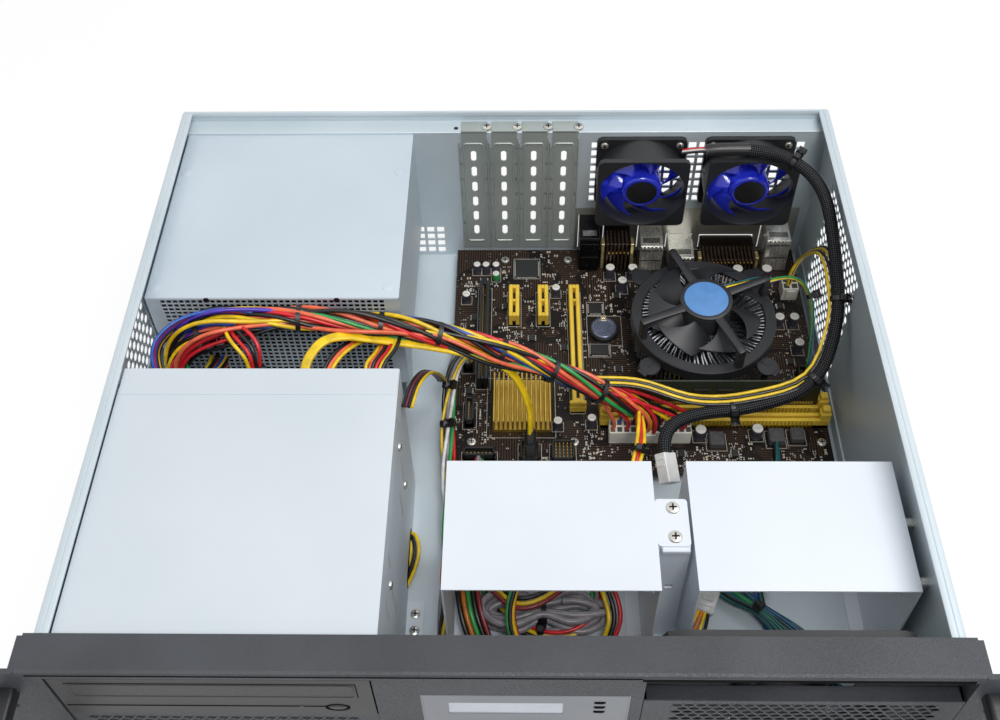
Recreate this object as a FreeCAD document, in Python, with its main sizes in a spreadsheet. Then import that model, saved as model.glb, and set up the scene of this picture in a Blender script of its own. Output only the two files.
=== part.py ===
"""Rack server, three units high and short in depth, standing open with its lid off.

All sizes are millimetres. +X is to the right seen from the front, +Y runs to the rear, +Z is up.
The origin is the middle of the base, on the surface that the server stands on.
"""
import FreeCAD, Part
import math
import os

import Sketcher

Vector = FreeCAD.Vector
doc = FreeCAD.newDocument("RackServer")
sizes = doc.addObject("Spreadsheet::Sheet", "Sizes")
nodes = []


class Dim:
    """A length: its number, and the sheet expression that gives it."""

    def __init__(self, value, text):
        self.value = float(value)
        self.text = text

    def __float__(self):
        return self.value

    def join(self, sign, other, value):
        return Dim(value, f"({self.text} {sign} {text_of(other)})")

    def __add__(self, other):
        return self.join("+", other, self.value + float(other))

    def __sub__(self, other):
        return self.join("-", other, self.value - float(other))

    def __mul__(self, other):
        return self.join("*", other, self.value * float(other))

    def __truediv__(self, other):
        return self.join("/", other, self.value / float(other))

    def __radd__(self, other):
        return as_dim(other) + self

    def __rsub__(self, other):
        return as_dim(other) - self

    def __rmul__(self, other):
        return as_dim(other) * self

    def __neg__(self):
        return Dim(-self.value, f"(-1 * {self.text})")

    def root(self):
        return Dim(math.sqrt(self.value), f"sqrt({self.text})")


def text_of(value):
    return value.text if isinstance(value, Dim) else f"({float(value)!r})"


def as_dim(value):
    return value if isinstance(value, Dim) else Dim(value, text_of(value))


def dim(alias, value):
    """Put one driving dimension in the sheet and return it."""
    dim.row += 1
    sizes.set(f"A{dim.row}", alias)
    sizes.set(f"B{dim.row}", str(value))
    sizes.setAlias(f"B{dim.row}", alias)
    return Dim(value, f"Sizes.{alias}")


dim.row = 0


# Driving dimensions: sheet-metal body
BODY_W = dim("body_width", 430)
BODY_H = dim("body_height", 131)
BODY_D = dim("chassis_depth", 382)
GAUGE = dim("gauge", 1)
WALL_FLANGE = dim("wall_flange", 7)
FLOOR_FLANGE = dim("floor_flange", 12)
RIM_D = dim("rim_depth", 13.2)
RIM_H = dim("rim_height", 8)
VENT_CELL = dim("vent_cell", 8)
VENT_PITCH = dim("vent_pitch", 11.1)
FAN_VENT_CELL = dim("fan_vent_cell", 11)
FAN_VENT_PITCH = dim("fan_vent_pitch", 14.4)
VENT_MARGIN = dim("vent_margin", 3.4)
HEX_R = dim("hex_vent_radius", 7.6)
HEX_PITCH = dim("hex_vent_pitch", 19.6)
HEX_FRONT = dim("hex_vent_front", 112)
SIDE_VENT_FRONT = dim("side_vent_front", 40)
SIDE_VENT_RISE = dim("side_vent_rise", 48)

# Driving dimensions: front bezel, ears and handles
BEZEL_SIDE = dim("bezel_overhang", 4)
BEZEL_RISE = dim("bezel_lip_gauge", 1.5)
BEZEL_D = dim("bezel_body_depth", 11)
LIP_D = dim("bezel_lip_depth", 19.2)
LIP_T = dim("bezel_lip_side", 2)
LIP_ROUND = dim("bezel_lip_round", 2)
FACE_T = dim("bezel_face", 2.5)
EAR_T = dim("ear_gauge", 2.5)
EAR_D = dim("ear_flange_depth", 18)
EAR_W = dim("ear_width", 19.8)
RACK_INSET = dim("rack_slot_inset", 8.75)
RACK_PITCH = dim("rack_hole_pitch", 57.15)
RACK_SLOT_R = dim("rack_slot_radius", 3.4)
RACK_SLOT_L = dim("rack_slot_length", 10.3)
GRIP_REACH = dim("handle_reach", 36)
GRIP_T = dim("handle_thickness", 9)
GRIP_H = dim("handle_height", 100)
GRIP_BEND = dim("handle_corner", 14)
GRIP_EDGE = dim("handle_inset", 1)

# Driving dimensions: drive bays, optical drive and status panel
CAGE_W = dim("cage_width", 152.7)
CAGE_L = dim("cage_length", 161.6)
CAGE_STEP = dim("cage_step_length", 13.2)
CAGE_SIDE = dim("cage_side_gap", 5.8)
CAGE_DROP = dim("cage_top_drop", 4)
BAY_H = dim("bay_height", 42)
BAY_GAP = dim("bay_gap", 0.4)
DRIVE_W = dim("drive_width", 146)
DRIVE_L = dim("drive_length", 158)
DRIVE_FACE_W = dim("drive_face_width", 148.4)
DRIVE_FACE_D = dim("drive_face_depth", 5)
FACE_INSET = dim("drive_face_inset", 0.5)
TRAY_PROUD = dim("tray_front_proud", 0.3)
TRAY_DROP = dim("tray_drop", 5)
TRAY_W = dim("tray_width", 134)
TRAY_WELL_R = dim("tray_well_radius", 60)
TRAY_WELL_D = dim("tray_well_depth", 2)
EJECT_SIDE = dim("eject_side_gap", 18)
EJECT_RISE = dim("eject_rise", 9)
LEDGE_W = dim("drive_ledge_width", 3)
LEDGE_L = dim("drive_ledge_length", 24)
LEDGE_FRONT = dim("drive_ledge_front", 20)
LEDGE_STEP = dim("drive_ledge_step", 90)
CAGE_FOOT_W = dim("cage_foot_width", 10)
CAGE_FOOT_Y = dim("cage_foot_front", 60)
STEP_SHARE = 0.7
TRAY_H = dim("tray_front_height", 15.5)
TRAY_L = dim("tray_length", 132)
TRAY_T = dim("tray_thickness", 5)
TRAY_GAP = dim("tray_gap", 0.4)
EJECT_W = dim("eject_width", 11)
EJECT_H = dim("eject_height", 4)
COVER_INSET = dim("bay_cover_inset", 1)
CLIP_D = dim("bay_cover_clip", 13)
BAY_CELL_W = dim("bay_cell_width", 20)
BAY_CELL_H = dim("bay_cell_height", 9)
BAY_CELL_EDGE = dim("bay_cell_edge", 12)
BAY_CELL_RISE = dim("bay_cell_rise", 7)
BAY_CELL_PITCH = dim("bay_cell_pitch", 26)
LCD_W = dim("status_panel_width", 97.6)
LCD_H = dim("status_panel_height", 46)
LCD_T = dim("status_panel_gauge", 1.2)
LCD_SIDE = dim("status_panel_side_gap", 20)
LCD_DROP = dim("status_panel_drop", 17)
PLATE_EDGE = dim("status_opening_edge", 3)
WINDOW_SIDE = dim("display_side_gap", 12.6)
WINDOW_DROP = dim("display_drop", 9.2)
KEY_SIDE = dim("key_side_gap", 83.6)
KEY_DROP = dim("key_drop", 8.4)
KEY_PITCH = dim("key_pitch", 5.6)
BUTTON_RISE = dim("button_rise", 26)
BUTTON_ROOM = dim("button_room", 12)
WINDOW_W = dim("display_width", 54)
WINDOW_H = dim("display_height", 13.4)
KEY_W = dim("key_width", 5)
KEY_H = dim("key_height", 2.6)
KEY_GAP = dim("key_gap", 0.3)
KEY_STROKE = dim("key_stroke", 1)
POWER_R = dim("power_button_radius", 7)
RESET_R = dim("reset_button_radius", 3)

# Driving dimensions: fan door
DOOR_W = dim("door_width", 149)
DOOR_DROP = dim("door_top_drop", 26)
DOOR_RAIL = dim("door_rail", 8)
DOOR_T = dim("door_depth", 7.5)
DOOR_WALL = dim("door_wall", 1.6)
DOOR_GAP = dim("door_gap", 0.4)
HINGE_R = dim("hinge_pin_radius", 1.6)
RUN_FIT = dim("running_fit", 0.05)
DOOR_BORDER = dim("door_border", 14)
DOOR_CELL = dim("door_cell", 19)
DOOR_CELL_PITCH = dim("door_cell_pitch", 25.3)

# Driving dimensions: fans
FAN60 = dim("rear_fan_side", 60)
FAN60_D = dim("rear_fan_depth", 25)
FAN60_PITCH = dim("rear_fan_pitch", 71.9)
FAN60_SIDE = dim("rear_fan_side_gap", 20.1)
FAN60_TOP = dim("rear_fan_top_gap", 12)
FAN80_D = dim("psu_fan_depth", 25)
FAN120 = dim("front_fan_side", 120)
FAN120_D = dim("front_fan_depth", 15)
FAN120_SIDE = dim("front_fan_side_gap", 16)
FAN_WALL = dim("fan_ring_wall", 1.5)
FAN_PLATE = dim("fan_flange", 3.5)
FAN_GAP = dim("fan_tip_gap", 1)
BLADE_T = dim("blade_thickness", 1.2)
SEAT_GAP = dim("rotor_seat_gap", 0.4)
FAN_SEAT_T = dim("motor_seat", 2)
BLADE_ROOT = dim("blade_root_overlap", 0.8)

# Driving dimensions: hard-drive cages
HDD_W = dim("hdd_cage_width", 109.4)
HDD_D = dim("hdd_cage_depth", 73.7)
HDD_H = dim("hdd_cage_height", 106)
HDD_FOOT = dim("hdd_cage_foot", 9)
HDD_SIDE = dim("hdd_cage_side_gap", 5.3)
HDD_PITCH = dim("hdd_cage_pitch", 127.8)
HDD_FRONT = dim("hdd_cage_front", 53.4)
HDD_SLOT_FRONT = dim("hdd_slot_front", 12)
HDD_SLOT_DROP = dim("hdd_slot_drop", 30)
HDD_SLOT_L = dim("hdd_slot_length", 10)
HDD_SLOT_H = dim("hdd_slot_height", 3.6)
HDD_SLOT_PITCH = dim("hdd_slot_pitch", 40)
TAB_FRONT = dim("cage_tab_front", 24)
TAB_L = dim("cage_tab_length", 27)
POST_GAP = dim("cage_post_gap", 1.5)
SPACER_R = dim("spacer_radius", 3)
SPACER_DROP = dim("spacer_drop", 6)
SPACER_Y = (7.5, 40.5)

# Driving dimensions: power supply
PSU_W = dim("psu_width", 150)
PSU_L = dim("psu_length", 140)
PSU_H = dim("psu_height", 86)
PSU_SIDE = dim("psu_side_gap", 3.6)
PSU_LIFT = dim("psu_lift", 34)
PSU_SEAT = dim("psu_seat_border", 4)
PSU_FAN_MARGIN = dim("psu_fan_margin", 3)
PSU_FAN_SIDE = dim("psu_fan_side_gap", 6)
PSU_CELL = dim("psu_vent_cell", 18)
PSU_CELL_PITCH = dim("psu_vent_pitch", 26)
INLET_SIDE = dim("inlet_side_gap", 12)
INLET_RIM = dim("inlet_rim", 3)
INLET_STEP = dim("inlet_to_rocker_gap", 5)
INLET_W = dim("inlet_width", 28)
INLET_H = dim("inlet_height", 24)
ROCKER_W = dim("rocker_width", 13)
ROCKER_H = dim("rocker_height", 18)
ROCKER_GAP = dim("rocker_gap", 0.5)
PIVOT_R = dim("rocker_pivot_radius", 1.5)
INLET_D = dim("inlet_depth", 15)
INLET_PROUD = dim("inlet_proud", 0.8)
SOCKET_D = dim("inlet_socket_depth", 14)
PIN_WALL = dim("inlet_wall", 2)
ROCKER_BACK = dim("rocker_back", 3)
ROCKER_TOE = dim("rocker_toe", 0.8)
ROCKER_DIP = dim("rocker_dip", 2.4)
BRACKET_L = dim("bracket_length", 30)
BRACKET_TOE = dim("bracket_toe", 12)
BRACKET_FRONT = dim("bracket_front", 4)
BRACKET_SIDE = dim("bracket_side_gap", 2)

# Driving dimensions: motherboard and what it carries
BOARD_W = dim("board_width", 244)
BOARD_L = dim("board_length", 188)
BOARD_T = dim("board_thickness", 1.6)
BOARD_LIFT = dim("standoff_height", 6.4)
BOARD_SIDE = dim("board_side_gap", 5.4)
BOARD_REAR = dim("board_rear_gap", 2.8)
BOARD_HOLE = dim("board_hole_radius", 1.9)
IO_W = dim("io_opening_width", 158.8)
IO_H = dim("io_opening_height", 44.4)
IO_SIDE = dim("io_opening_side_gap", 5.7)
IO_DROP = dim("io_opening_drop", 3)
PORT_OUT = dim("port_reach", 1.4)
PORT_GAP = dim("port_gap", 0.3)
PORT_D = dim("port_depth", 20)
CARD_SLOT_W = dim("card_slot_width", 7.4)
CARD_SLOT_H = dim("card_slot_height", 11)
CARD_SLIT = dim("card_slot_slit", 2)
CARD_SLIT_END = dim("card_slit_end", 3)
CARD_SLIT_FLOOR = dim("card_slit_floor", 5)
DIMM_W = dim("memory_slot_width", 6.6)
DIMM_H = dim("memory_slot_height", 9)
DIMM_END = dim("memory_slot_end", 7)
DIMM_END_H = dim("memory_slot_end_height", 19)
DIMM_SLIT = dim("memory_slit", 1.6)
DIMM_FLOOR = dim("memory_slit_floor", 4)
MODULE_T = dim("memory_module_gauge", 1.2)
MODULE_TOP = dim("memory_module_top", 34)
MODULE_GAP = dim("memory_module_gap", 0.2)
CHIP_PITCH = dim("memory_chip_pitch", 15.4)
CHIP_W = dim("memory_chip_width", 10)
CHIP_LOW = dim("memory_chip_low", 14)
CHIP_HIGH = dim("memory_chip_high", 26)
CHIP_START = dim("memory_chip_start", 13)
CELL_R = dim("battery_radius", 10)
CELL_H = dim("battery_height", 5)
PLUG_H = dim("power_plug_height", 13)
SINK_W = dim("chipset_sink_width", 37.5)
SINK_L = dim("chipset_sink_length", 39)
SINK_BASE = dim("chipset_sink_base", 4)
SINK_FIN_H = dim("chipset_fin_height", 9)
SINK_FINS = 11
STANDOFF_R = dim("standoff_radius", 3)
SLOT_PITCH = dim("slot_pitch", 20.32)
SLOT_COVER_W = dim("slot_cover_width", 18.4)
SLOT_OPEN_W = dim("slot_opening_width", 12.4)
SLOT_SILL = dim("slot_sill", 5)
SLOT_HEAD = dim("slot_head", 12)
COVER_T = dim("slot_cover_gauge", 0.8)
COVER_CUT_W = dim("cover_cut_width", 4)
COVER_CUT_H = dim("cover_cut_height", 8.4)
COVER_CUT_PITCH = dim("cover_cut_pitch", 14.6)
COVER_CUT_RISE = dim("cover_cut_rise", 16)
COOLER_R = dim("cooler_radius", 45)
CORE_R = dim("cooler_core_radius", 17)
FIN_T = dim("cooler_fin", 1)
FIN_H = dim("cooler_fin_height", 28)
SOCKET_H = dim("socket_height", 6.5)
SOCKET_W = dim("socket_width", 40)
SOCKET_AT_X = dim("socket_from_left", 166.6)
SOCKET_AT_Y = dim("socket_from_front", 98)
FIN_FOOT = dim("cooler_fin_foot", 3)
PIN_PITCH = dim("cooler_pin_pitch", 75)
COOLER_FAN_R = dim("cooler_fan_radius", 37)
COOLER_FAN_H = dim("cooler_fan_height", 16)
ROTOR_LIFT = dim("cooler_rotor_lift", 0.6)
HOOP_T = dim("cooler_hoop_gauge", 2)
HOOP_GAP = dim("cooler_hoop_gap", 0.4)
HOOP_INSET = dim("cooler_hoop_inset", 3)
ARM_W = dim("cooler_arm_width", 5)
PIN_TOP = dim("push_pin_level", 21)
PIN_R = dim("push_pin_radius", 4.5)
CHIP_FIN_T = dim("chipset_fin", 1.2)

# Planes that the pieces share
REAR = (BODY_D + GRIP_REACH) / 2
FRONT = (GRIP_REACH - BODY_D) / 2
STEEL = FRONT + BEZEL_D
WALL_X = BODY_W / 2 - GAUGE
BEZEL_W = BODY_W + 2 * BEZEL_SIDE
PANEL_W = BEZEL_W + 2 * (EAR_T + EAR_W)
PANEL_H = BODY_H + BEZEL_RISE
REAR_IN = REAR - RIM_D
FLOOR = GAUGE
CAGE_X = CAGE_SIDE - WALL_X
CAGE_MID = CAGE_X + CAGE_W / 2
CAGE_TOP = BODY_H - CAGE_DROP
BAY_W = CAGE_W - 2 * GAUGE - BAY_GAP
PSU_X = PSU_SIDE - WALL_X
PSU_Y = REAR_IN - PSU_L
PSU_Z = FLOOR + PSU_LIFT
BOARD_X = WALL_X - BOARD_SIDE - BOARD_W
BOARD_Y = REAR_IN - BOARD_REAR - BOARD_L
BOARD_Z = FLOOR + BOARD_LIFT + BOARD_T
LEDGE_Z = BODY_H - RIM_H
FAN80 = PSU_H - 2 * PSU_FAN_MARGIN
HDD_X = WALL_X - HDD_SIDE - HDD_W
HDD_Y = FRONT + HDD_FRONT

# Heights and places on the board, from its left rear corner
HOLE_ROW = 10.16
HOLE_SPAN_Y = 154.94
HOLE_C = 80.6
HOLE_B_STEP = 45.72
HOLE_S_STEP = 66.04
HOLE_J_STEP = 157.48
SLOT_START = 76.2
HOLE_X = BOARD_X + HOLE_C
HOLE_Y = BOARD_Y + BOARD_L - HOLE_ROW
HOLES = [
    (HOLE_X, HOLE_Y),
    (HOLE_X - HOLE_B_STEP, HOLE_Y),
    (HOLE_X - HOLE_S_STEP, HOLE_Y - HOLE_SPAN_Y),
    (HOLE_X, HOLE_Y - HOLE_SPAN_Y),
    (HOLE_X + HOLE_J_STEP, HOLE_Y - HOLE_SPAN_Y),
]


def bind(obj, prop, value):
    obj.setExpression(prop, as_dim(value).text)


def place(obj, x, y, z):
    for axis, value in zip("xyz", (x, y, z)):
        bind(obj, f"Placement.Base.{axis}", value)


def node(label, obj):
    """Make an object a sub-part with its own file."""
    obj.Label = label
    nodes.append(obj)
    return obj


# Primitives and booleans

def box(x, y, z):
    """A block between pairs of coordinates."""
    obj = doc.addObject("Part::Box", "Block")
    for prop, (low, high) in zip(("Length", "Width", "Height"), (x, y, z)):
        bind(obj, prop, as_dim(high) - low)
    place(obj, x[0], y[0], z[0])
    return obj


TURNS = {
    "X": FreeCAD.Rotation(Vector(0, 1, 0), 90),
    "Y": FreeCAD.Rotation(Vector(1, 0, 0), -90),
    "Z": FreeCAD.Rotation(),
}


def rod(radius, length, x, y, z, axis="Z"):
    """A round bar that runs along an axis from a point."""
    obj = doc.addObject("Part::Cylinder", "Rod")
    obj.Placement = FreeCAD.Placement(Vector(), TURNS[axis])
    bind(obj, "Radius", radius)
    bind(obj, "Height", length)
    place(obj, x, y, z)
    return obj


def prism(sides, radius, height, x, y, z):
    """An upright bar with flat sides."""
    obj = doc.addObject("Part::Prism", "Prism")
    obj.Polygon = sides
    bind(obj, "Circumradius", radius)
    bind(obj, "Height", height)
    place(obj, x, y, z)
    return obj


def fuse(*pieces):
    obj = doc.addObject("Part::MultiFuse", "Joined")
    obj.Shapes = list(pieces)
    obj.Refine = True
    return obj


def group(*pieces):
    obj = doc.addObject("Part::Compound", "Group")
    obj.Links = list(pieces)
    return obj


def cut(base, *tools):
    obj = doc.addObject("Part::Cut", "Trimmed")
    obj.Base = base
    obj.Tool = tools[0] if len(tools) == 1 else group(*tools)
    return obj


# Bodies made of sketches

AXIS_SIGN = {"XY_Plane": 1, "XZ_Plane": -1, "YZ_Plane": 1}


def new_body(label):
    return node(label, doc.addObject("PartDesign::Body", label))


def sketch_on(body, role, at):
    """A sketch on the body's own plane, moved along the plane's axis to a coordinate."""
    sketch = body.newObject("Sketcher::SketchObject", "Outline")
    plane = next(item for item in body.Origin.OriginFeatures if item.Role == role)
    sketch.AttachmentSupport = [(plane, "")]
    sketch.MapMode = "FlatFace"
    bind(sketch, "AttachmentOffset.Base.z", as_dim(at) * AXIS_SIGN[role])
    return sketch


def fix_point(sketch, geometry, end, point):
    for kind, value in zip(("DistanceX", "DistanceY"), point):
        index = sketch.addConstraint(
            Sketcher.Constraint(kind, -1, 1, geometry, end, float(value)))
        bind(sketch, f"Constraints[{index}]", value)


def draw(sketch, loop):
    """Draw a polygon, given as a list of points, or a circle, given as (x, y, radius)."""
    first = sketch.GeometryCount
    if isinstance(loop, tuple):
        x, y, radius = loop
        sketch.addGeometry(Part.Circle(Vector(float(x), float(y), 0), Vector(0, 0, 1), float(radius)))
        fix_point(sketch, first, 3, (x, y))
        index = sketch.addConstraint(Sketcher.Constraint("Radius", first, float(radius)))
        bind(sketch, f"Constraints[{index}]", radius)
        return
    count = len(loop)
    corners = [Vector(float(x), float(y), 0) for x, y in loop]
    for i in range(count):
        sketch.addGeometry(Part.LineSegment(corners[i], corners[(i + 1) % count]))
    for i in range(count):
        sketch.addConstraint(Sketcher.Constraint("Coincident", first + i, 2, first + (i + 1) % count, 1))
    for i, point in enumerate(loop):
        fix_point(sketch, first + i, 1, point)


def rect(x, y):
    return [(x[0], y[0]), (x[1], y[0]), (x[1], y[1]), (x[0], y[1])]


def hexagon(x, y, radius):
    """A regular hexagon with a corner at its top."""
    angles = [math.radians(30 + 60 * i) for i in range(6)]
    return [(x + radius * math.cos(a), y + radius * math.sin(a)) for a in angles]


def pad(body, role, at, length, *loops):
    """Pad loops from a coordinate towards the plane's + axis."""
    sketch = sketch_on(body, role, at)
    for loop in loops:
        draw(sketch, loop)
    feature = body.newObject("PartDesign::Pad", "Pad")
    feature.Profile = sketch
    bind(feature, "Length", length)
    feature.Reversed = AXIS_SIGN[role] < 0
    return feature


def pocket(body, role, at, depth, *loops):
    """Cut loops from a coordinate towards the plane's + axis."""
    sketch = sketch_on(body, role, at)
    for loop in loops:
        draw(sketch, loop)
    feature = body.newObject("PartDesign::Pocket", "Pocket")
    feature.Profile = sketch
    bind(feature, "Length", depth)
    feature.Reversed = AXIS_SIGN[role] > 0
    return feature


def repeat(body, feature, across, across_pitch, up=1, up_pitch=0):
    """Repeat a feature in rows along its sketch's two axes."""
    pattern = body.newObject("PartDesign::LinearPattern", "Rows")
    pattern.Originals = [feature]
    sketch = feature.Profile[0]
    pattern.Direction = (sketch, ["H_Axis"])
    pattern.Occurrences = across
    bind(pattern, "Length", as_dim(across_pitch) * max(across - 1, 1))
    if up > 1:
        pattern.Direction2 = (sketch, ["V_Axis"])
        pattern.Occurrences2 = up
        bind(pattern, "Length2", as_dim(up_pitch) * (up - 1))
    body.Tip = pattern
    return pattern


def turn_copies(body, feature, count):
    """Repeat a feature round the body's own Z axis."""
    pattern = body.newObject("PartDesign::PolarPattern", "Ring")
    pattern.Originals = [feature]
    axis = next(item for item in body.Origin.OriginFeatures if item.Role == "Z_Axis")
    pattern.Axis = (axis, [""])
    pattern.Angle = 360
    pattern.Occurrences = count
    body.Tip = pattern
    return pattern


# Sheet-metal body

def make_floor():
    pan = new_body("floor_pan")
    rear_edge = REAR_IN + GAUGE
    pad(pan, "XY_Plane", 0, GAUGE, rect((-WALL_X, WALL_X), (STEEL, rear_edge)))
    run = (STEEL + 4 * GAUGE, REAR_IN - 2 * GAUGE)
    inner = WALL_X - GAUGE
    pad(pan, "XY_Plane", GAUGE, FLOOR_FLANGE - GAUGE,
        rect((-WALL_X, -inner), run), rect((inner, WALL_X), run))


def make_wall(label, side):
    """A side wall: an upright sheet with a hemmed flange turned inwards along its top."""
    wall = new_body(label)
    outer = BODY_W / 2 * side
    inner = WALL_X * side
    edge = (BODY_W / 2 - WALL_FLANGE) * side
    low, high = sorted((outer, inner), key=float)
    pad(wall, "XZ_Plane", STEEL, REAR - STEEL, rect((low, high), (0, BODY_H)))
    low, high = sorted((inner, edge), key=float)
    pad(wall, "XZ_Plane", STEEL, REAR - STEEL - 2 * GAUGE, rect((low, high), (BODY_H - 2 * GAUGE, BODY_H)))
    return wall


def make_walls():
    right = make_wall("side_wall_right", 1)
    rows, columns = 2, 4
    row_pitch = HEX_PITCH * math.sqrt(3)
    vent_y = REAR_IN - HEX_FRONT
    vent_z = FLOOR_FLANGE + HEX_R + GAUGE
    for shift in (0, 0.5):
        cell = hexagon(vent_y + HEX_PITCH * shift, vent_z + row_pitch * shift, HEX_R)
        hole = pocket(right, "YZ_Plane", WALL_X - GAUGE, 3 * GAUGE, cell)
        repeat(right, hole, columns, HEX_PITCH, rows, row_pitch)
    left = make_wall("side_wall_left", -1)
    corner = (PSU_Y - SIDE_VENT_FRONT, PSU_Z + SIDE_VENT_RISE)
    cell = rect((corner[0], corner[0] + VENT_CELL), (corner[1], corner[1] + VENT_CELL))
    hole = pocket(left, "YZ_Plane", -BODY_W / 2 - GAUGE, 3 * GAUGE, cell)
    repeat(left, hole, 4, VENT_PITCH, 4, VENT_PITCH)


def slot_left(index):
    """The left edge of a card slot's place on the rear panel."""
    return HOLE_X - SLOT_START + SLOT_PITCH * index


def make_rear_panel():
    """The rear wall, with the ledge that the slot covers are screwed to and the hemmed rim."""
    panel = new_body("rear_panel")
    out = REAR_IN + GAUGE
    below = LEDGE_Z - GAUGE
    hem = BODY_H - 3 * GAUGE
    pad(panel, "YZ_Plane", -WALL_X, 2 * WALL_X, [
        (REAR_IN, GAUGE), (out, GAUGE), (out, below), (REAR, below), (REAR, BODY_H),
        (REAR - 2 * GAUGE, BODY_H), (REAR - 2 * GAUGE, hem), (REAR - GAUGE, hem),
        (REAR - GAUGE, LEDGE_Z), (REAR_IN, LEDGE_Z)])
    start, depth = REAR_IN - GAUGE, 3 * GAUGE
    pocket(panel, "XZ_Plane", start, depth,
           rect((PSU_X + PSU_SEAT, PSU_X + PSU_W - PSU_SEAT), (PSU_Z + PSU_SEAT, PSU_Z + PSU_H - PSU_SEAT)),
           rect((IO_X, IO_X + IO_W), (IO_Z, IO_Z + IO_H)))
    middle = slot_left(0) + SLOT_PITCH / 2
    opening = rect((middle - SLOT_OPEN_W / 2, middle + SLOT_OPEN_W / 2),
                   (BOARD_Z + SLOT_SILL, LEDGE_Z - SLOT_HEAD))
    slot = pocket(panel, "XZ_Plane", start, depth, opening)
    repeat(panel, slot, 4, SLOT_PITCH)
    fan_field = REAR_FAN_X[0] - FAN60 / 2 - VENT_MARGIN
    fan_low = FAN_Z - FAN60 / 2 - GAUGE
    cell = rect((fan_field, fan_field + FAN_VENT_CELL), (fan_low, fan_low + FAN_VENT_CELL))
    repeat(panel, pocket(panel, "XZ_Plane", start, depth, cell), 10, FAN_VENT_PITCH, 4, FAN_VENT_PITCH)
    vent_x = PSU_X + PSU_W + VENT_MARGIN
    vent_z = FLOOR + VENT_MARGIN
    cell = rect((vent_x, vent_x + VENT_CELL), (vent_z, vent_z + VENT_CELL))
    repeat(panel, pocket(panel, "XZ_Plane", start, depth, cell), 2, VENT_PITCH, 3, VENT_PITCH)


IO_X = WALL_X - IO_SIDE - IO_W
IO_Z = BOARD_Z - IO_DROP
FAN_Z = BODY_H - FAN60_TOP - FAN60 / 2
REAR_FAN_RIGHT = WALL_X - FAN60_SIDE - FAN60 / 2
REAR_FAN_X = (REAR_FAN_RIGHT - FAN60_PITCH, REAR_FAN_RIGHT)
FAN120_X = WALL_X - FAN120_SIDE - FAN120 / 2
FAN120_Z = FLOOR + GAUGE + FAN120 / 2
FAN120_HOLE = FAN120 / 2 - FAN_WALL * 2
LCD_X = CAGE_X + CAGE_W + LCD_SIDE
LCD_Z = CAGE_TOP - LCD_DROP - LCD_H
POWER_X = LCD_X + LCD_W / 3
RESET_X = LCD_X + LCD_W * 2 / 3
BUTTON_Z = FLOOR + BUTTON_RISE


def make_front_plate():
    """The steel front of the body, behind the bezel."""
    plate = new_body("front_plate")
    pad(plate, "XZ_Plane", STEEL, GAUGE, rect((-WALL_X, WALL_X), (GAUGE, BODY_H - 2 * GAUGE)))
    half = BAY_W / 2
    pocket(plate, "XZ_Plane", STEEL - GAUGE, 3 * GAUGE,
           rect((CAGE_MID - half, CAGE_MID + half), (FLOOR + GAUGE, CAGE_TOP - GAUGE)),
           rect((LCD_X + PLATE_EDGE, LCD_X + LCD_W - PLATE_EDGE),
                (BUTTON_Z - BUTTON_ROOM, LCD_Z + LCD_H - PLATE_EDGE)),
           (FAN120_X, FAN120_Z, FAN120_HOLE))


# Bezel, ears and handles

DOOR_RIGHT = BEZEL_W / 2 - LIP_T
DOOR_LEFT = DOOR_RIGHT - DOOR_W
DOOR_TOP = BODY_H - DOOR_DROP
HINGE_Y = FRONT + DOOR_T / 2
HINGE_Z = DOOR_RAIL + DOOR_GAP + DOOR_T / 2
WINDOW_X = LCD_X + WINDOW_SIDE
WINDOW_Z = LCD_Z + LCD_H - WINDOW_DROP - WINDOW_H
KEY_X = LCD_X + KEY_SIDE
KEY_Z = LCD_Z + LCD_H - KEY_DROP
KEY_NAMES = ("top", "middle", "bottom")


def key_span(index, gap):
    """The outline of one small panel key, widened by a gap."""
    mid = KEY_Z - KEY_PITCH * index
    return rect((KEY_X - KEY_W / 2 - gap, KEY_X + KEY_W / 2 + gap),
                (mid - KEY_H / 2 - gap, mid + KEY_H / 2 + gap))


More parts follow.
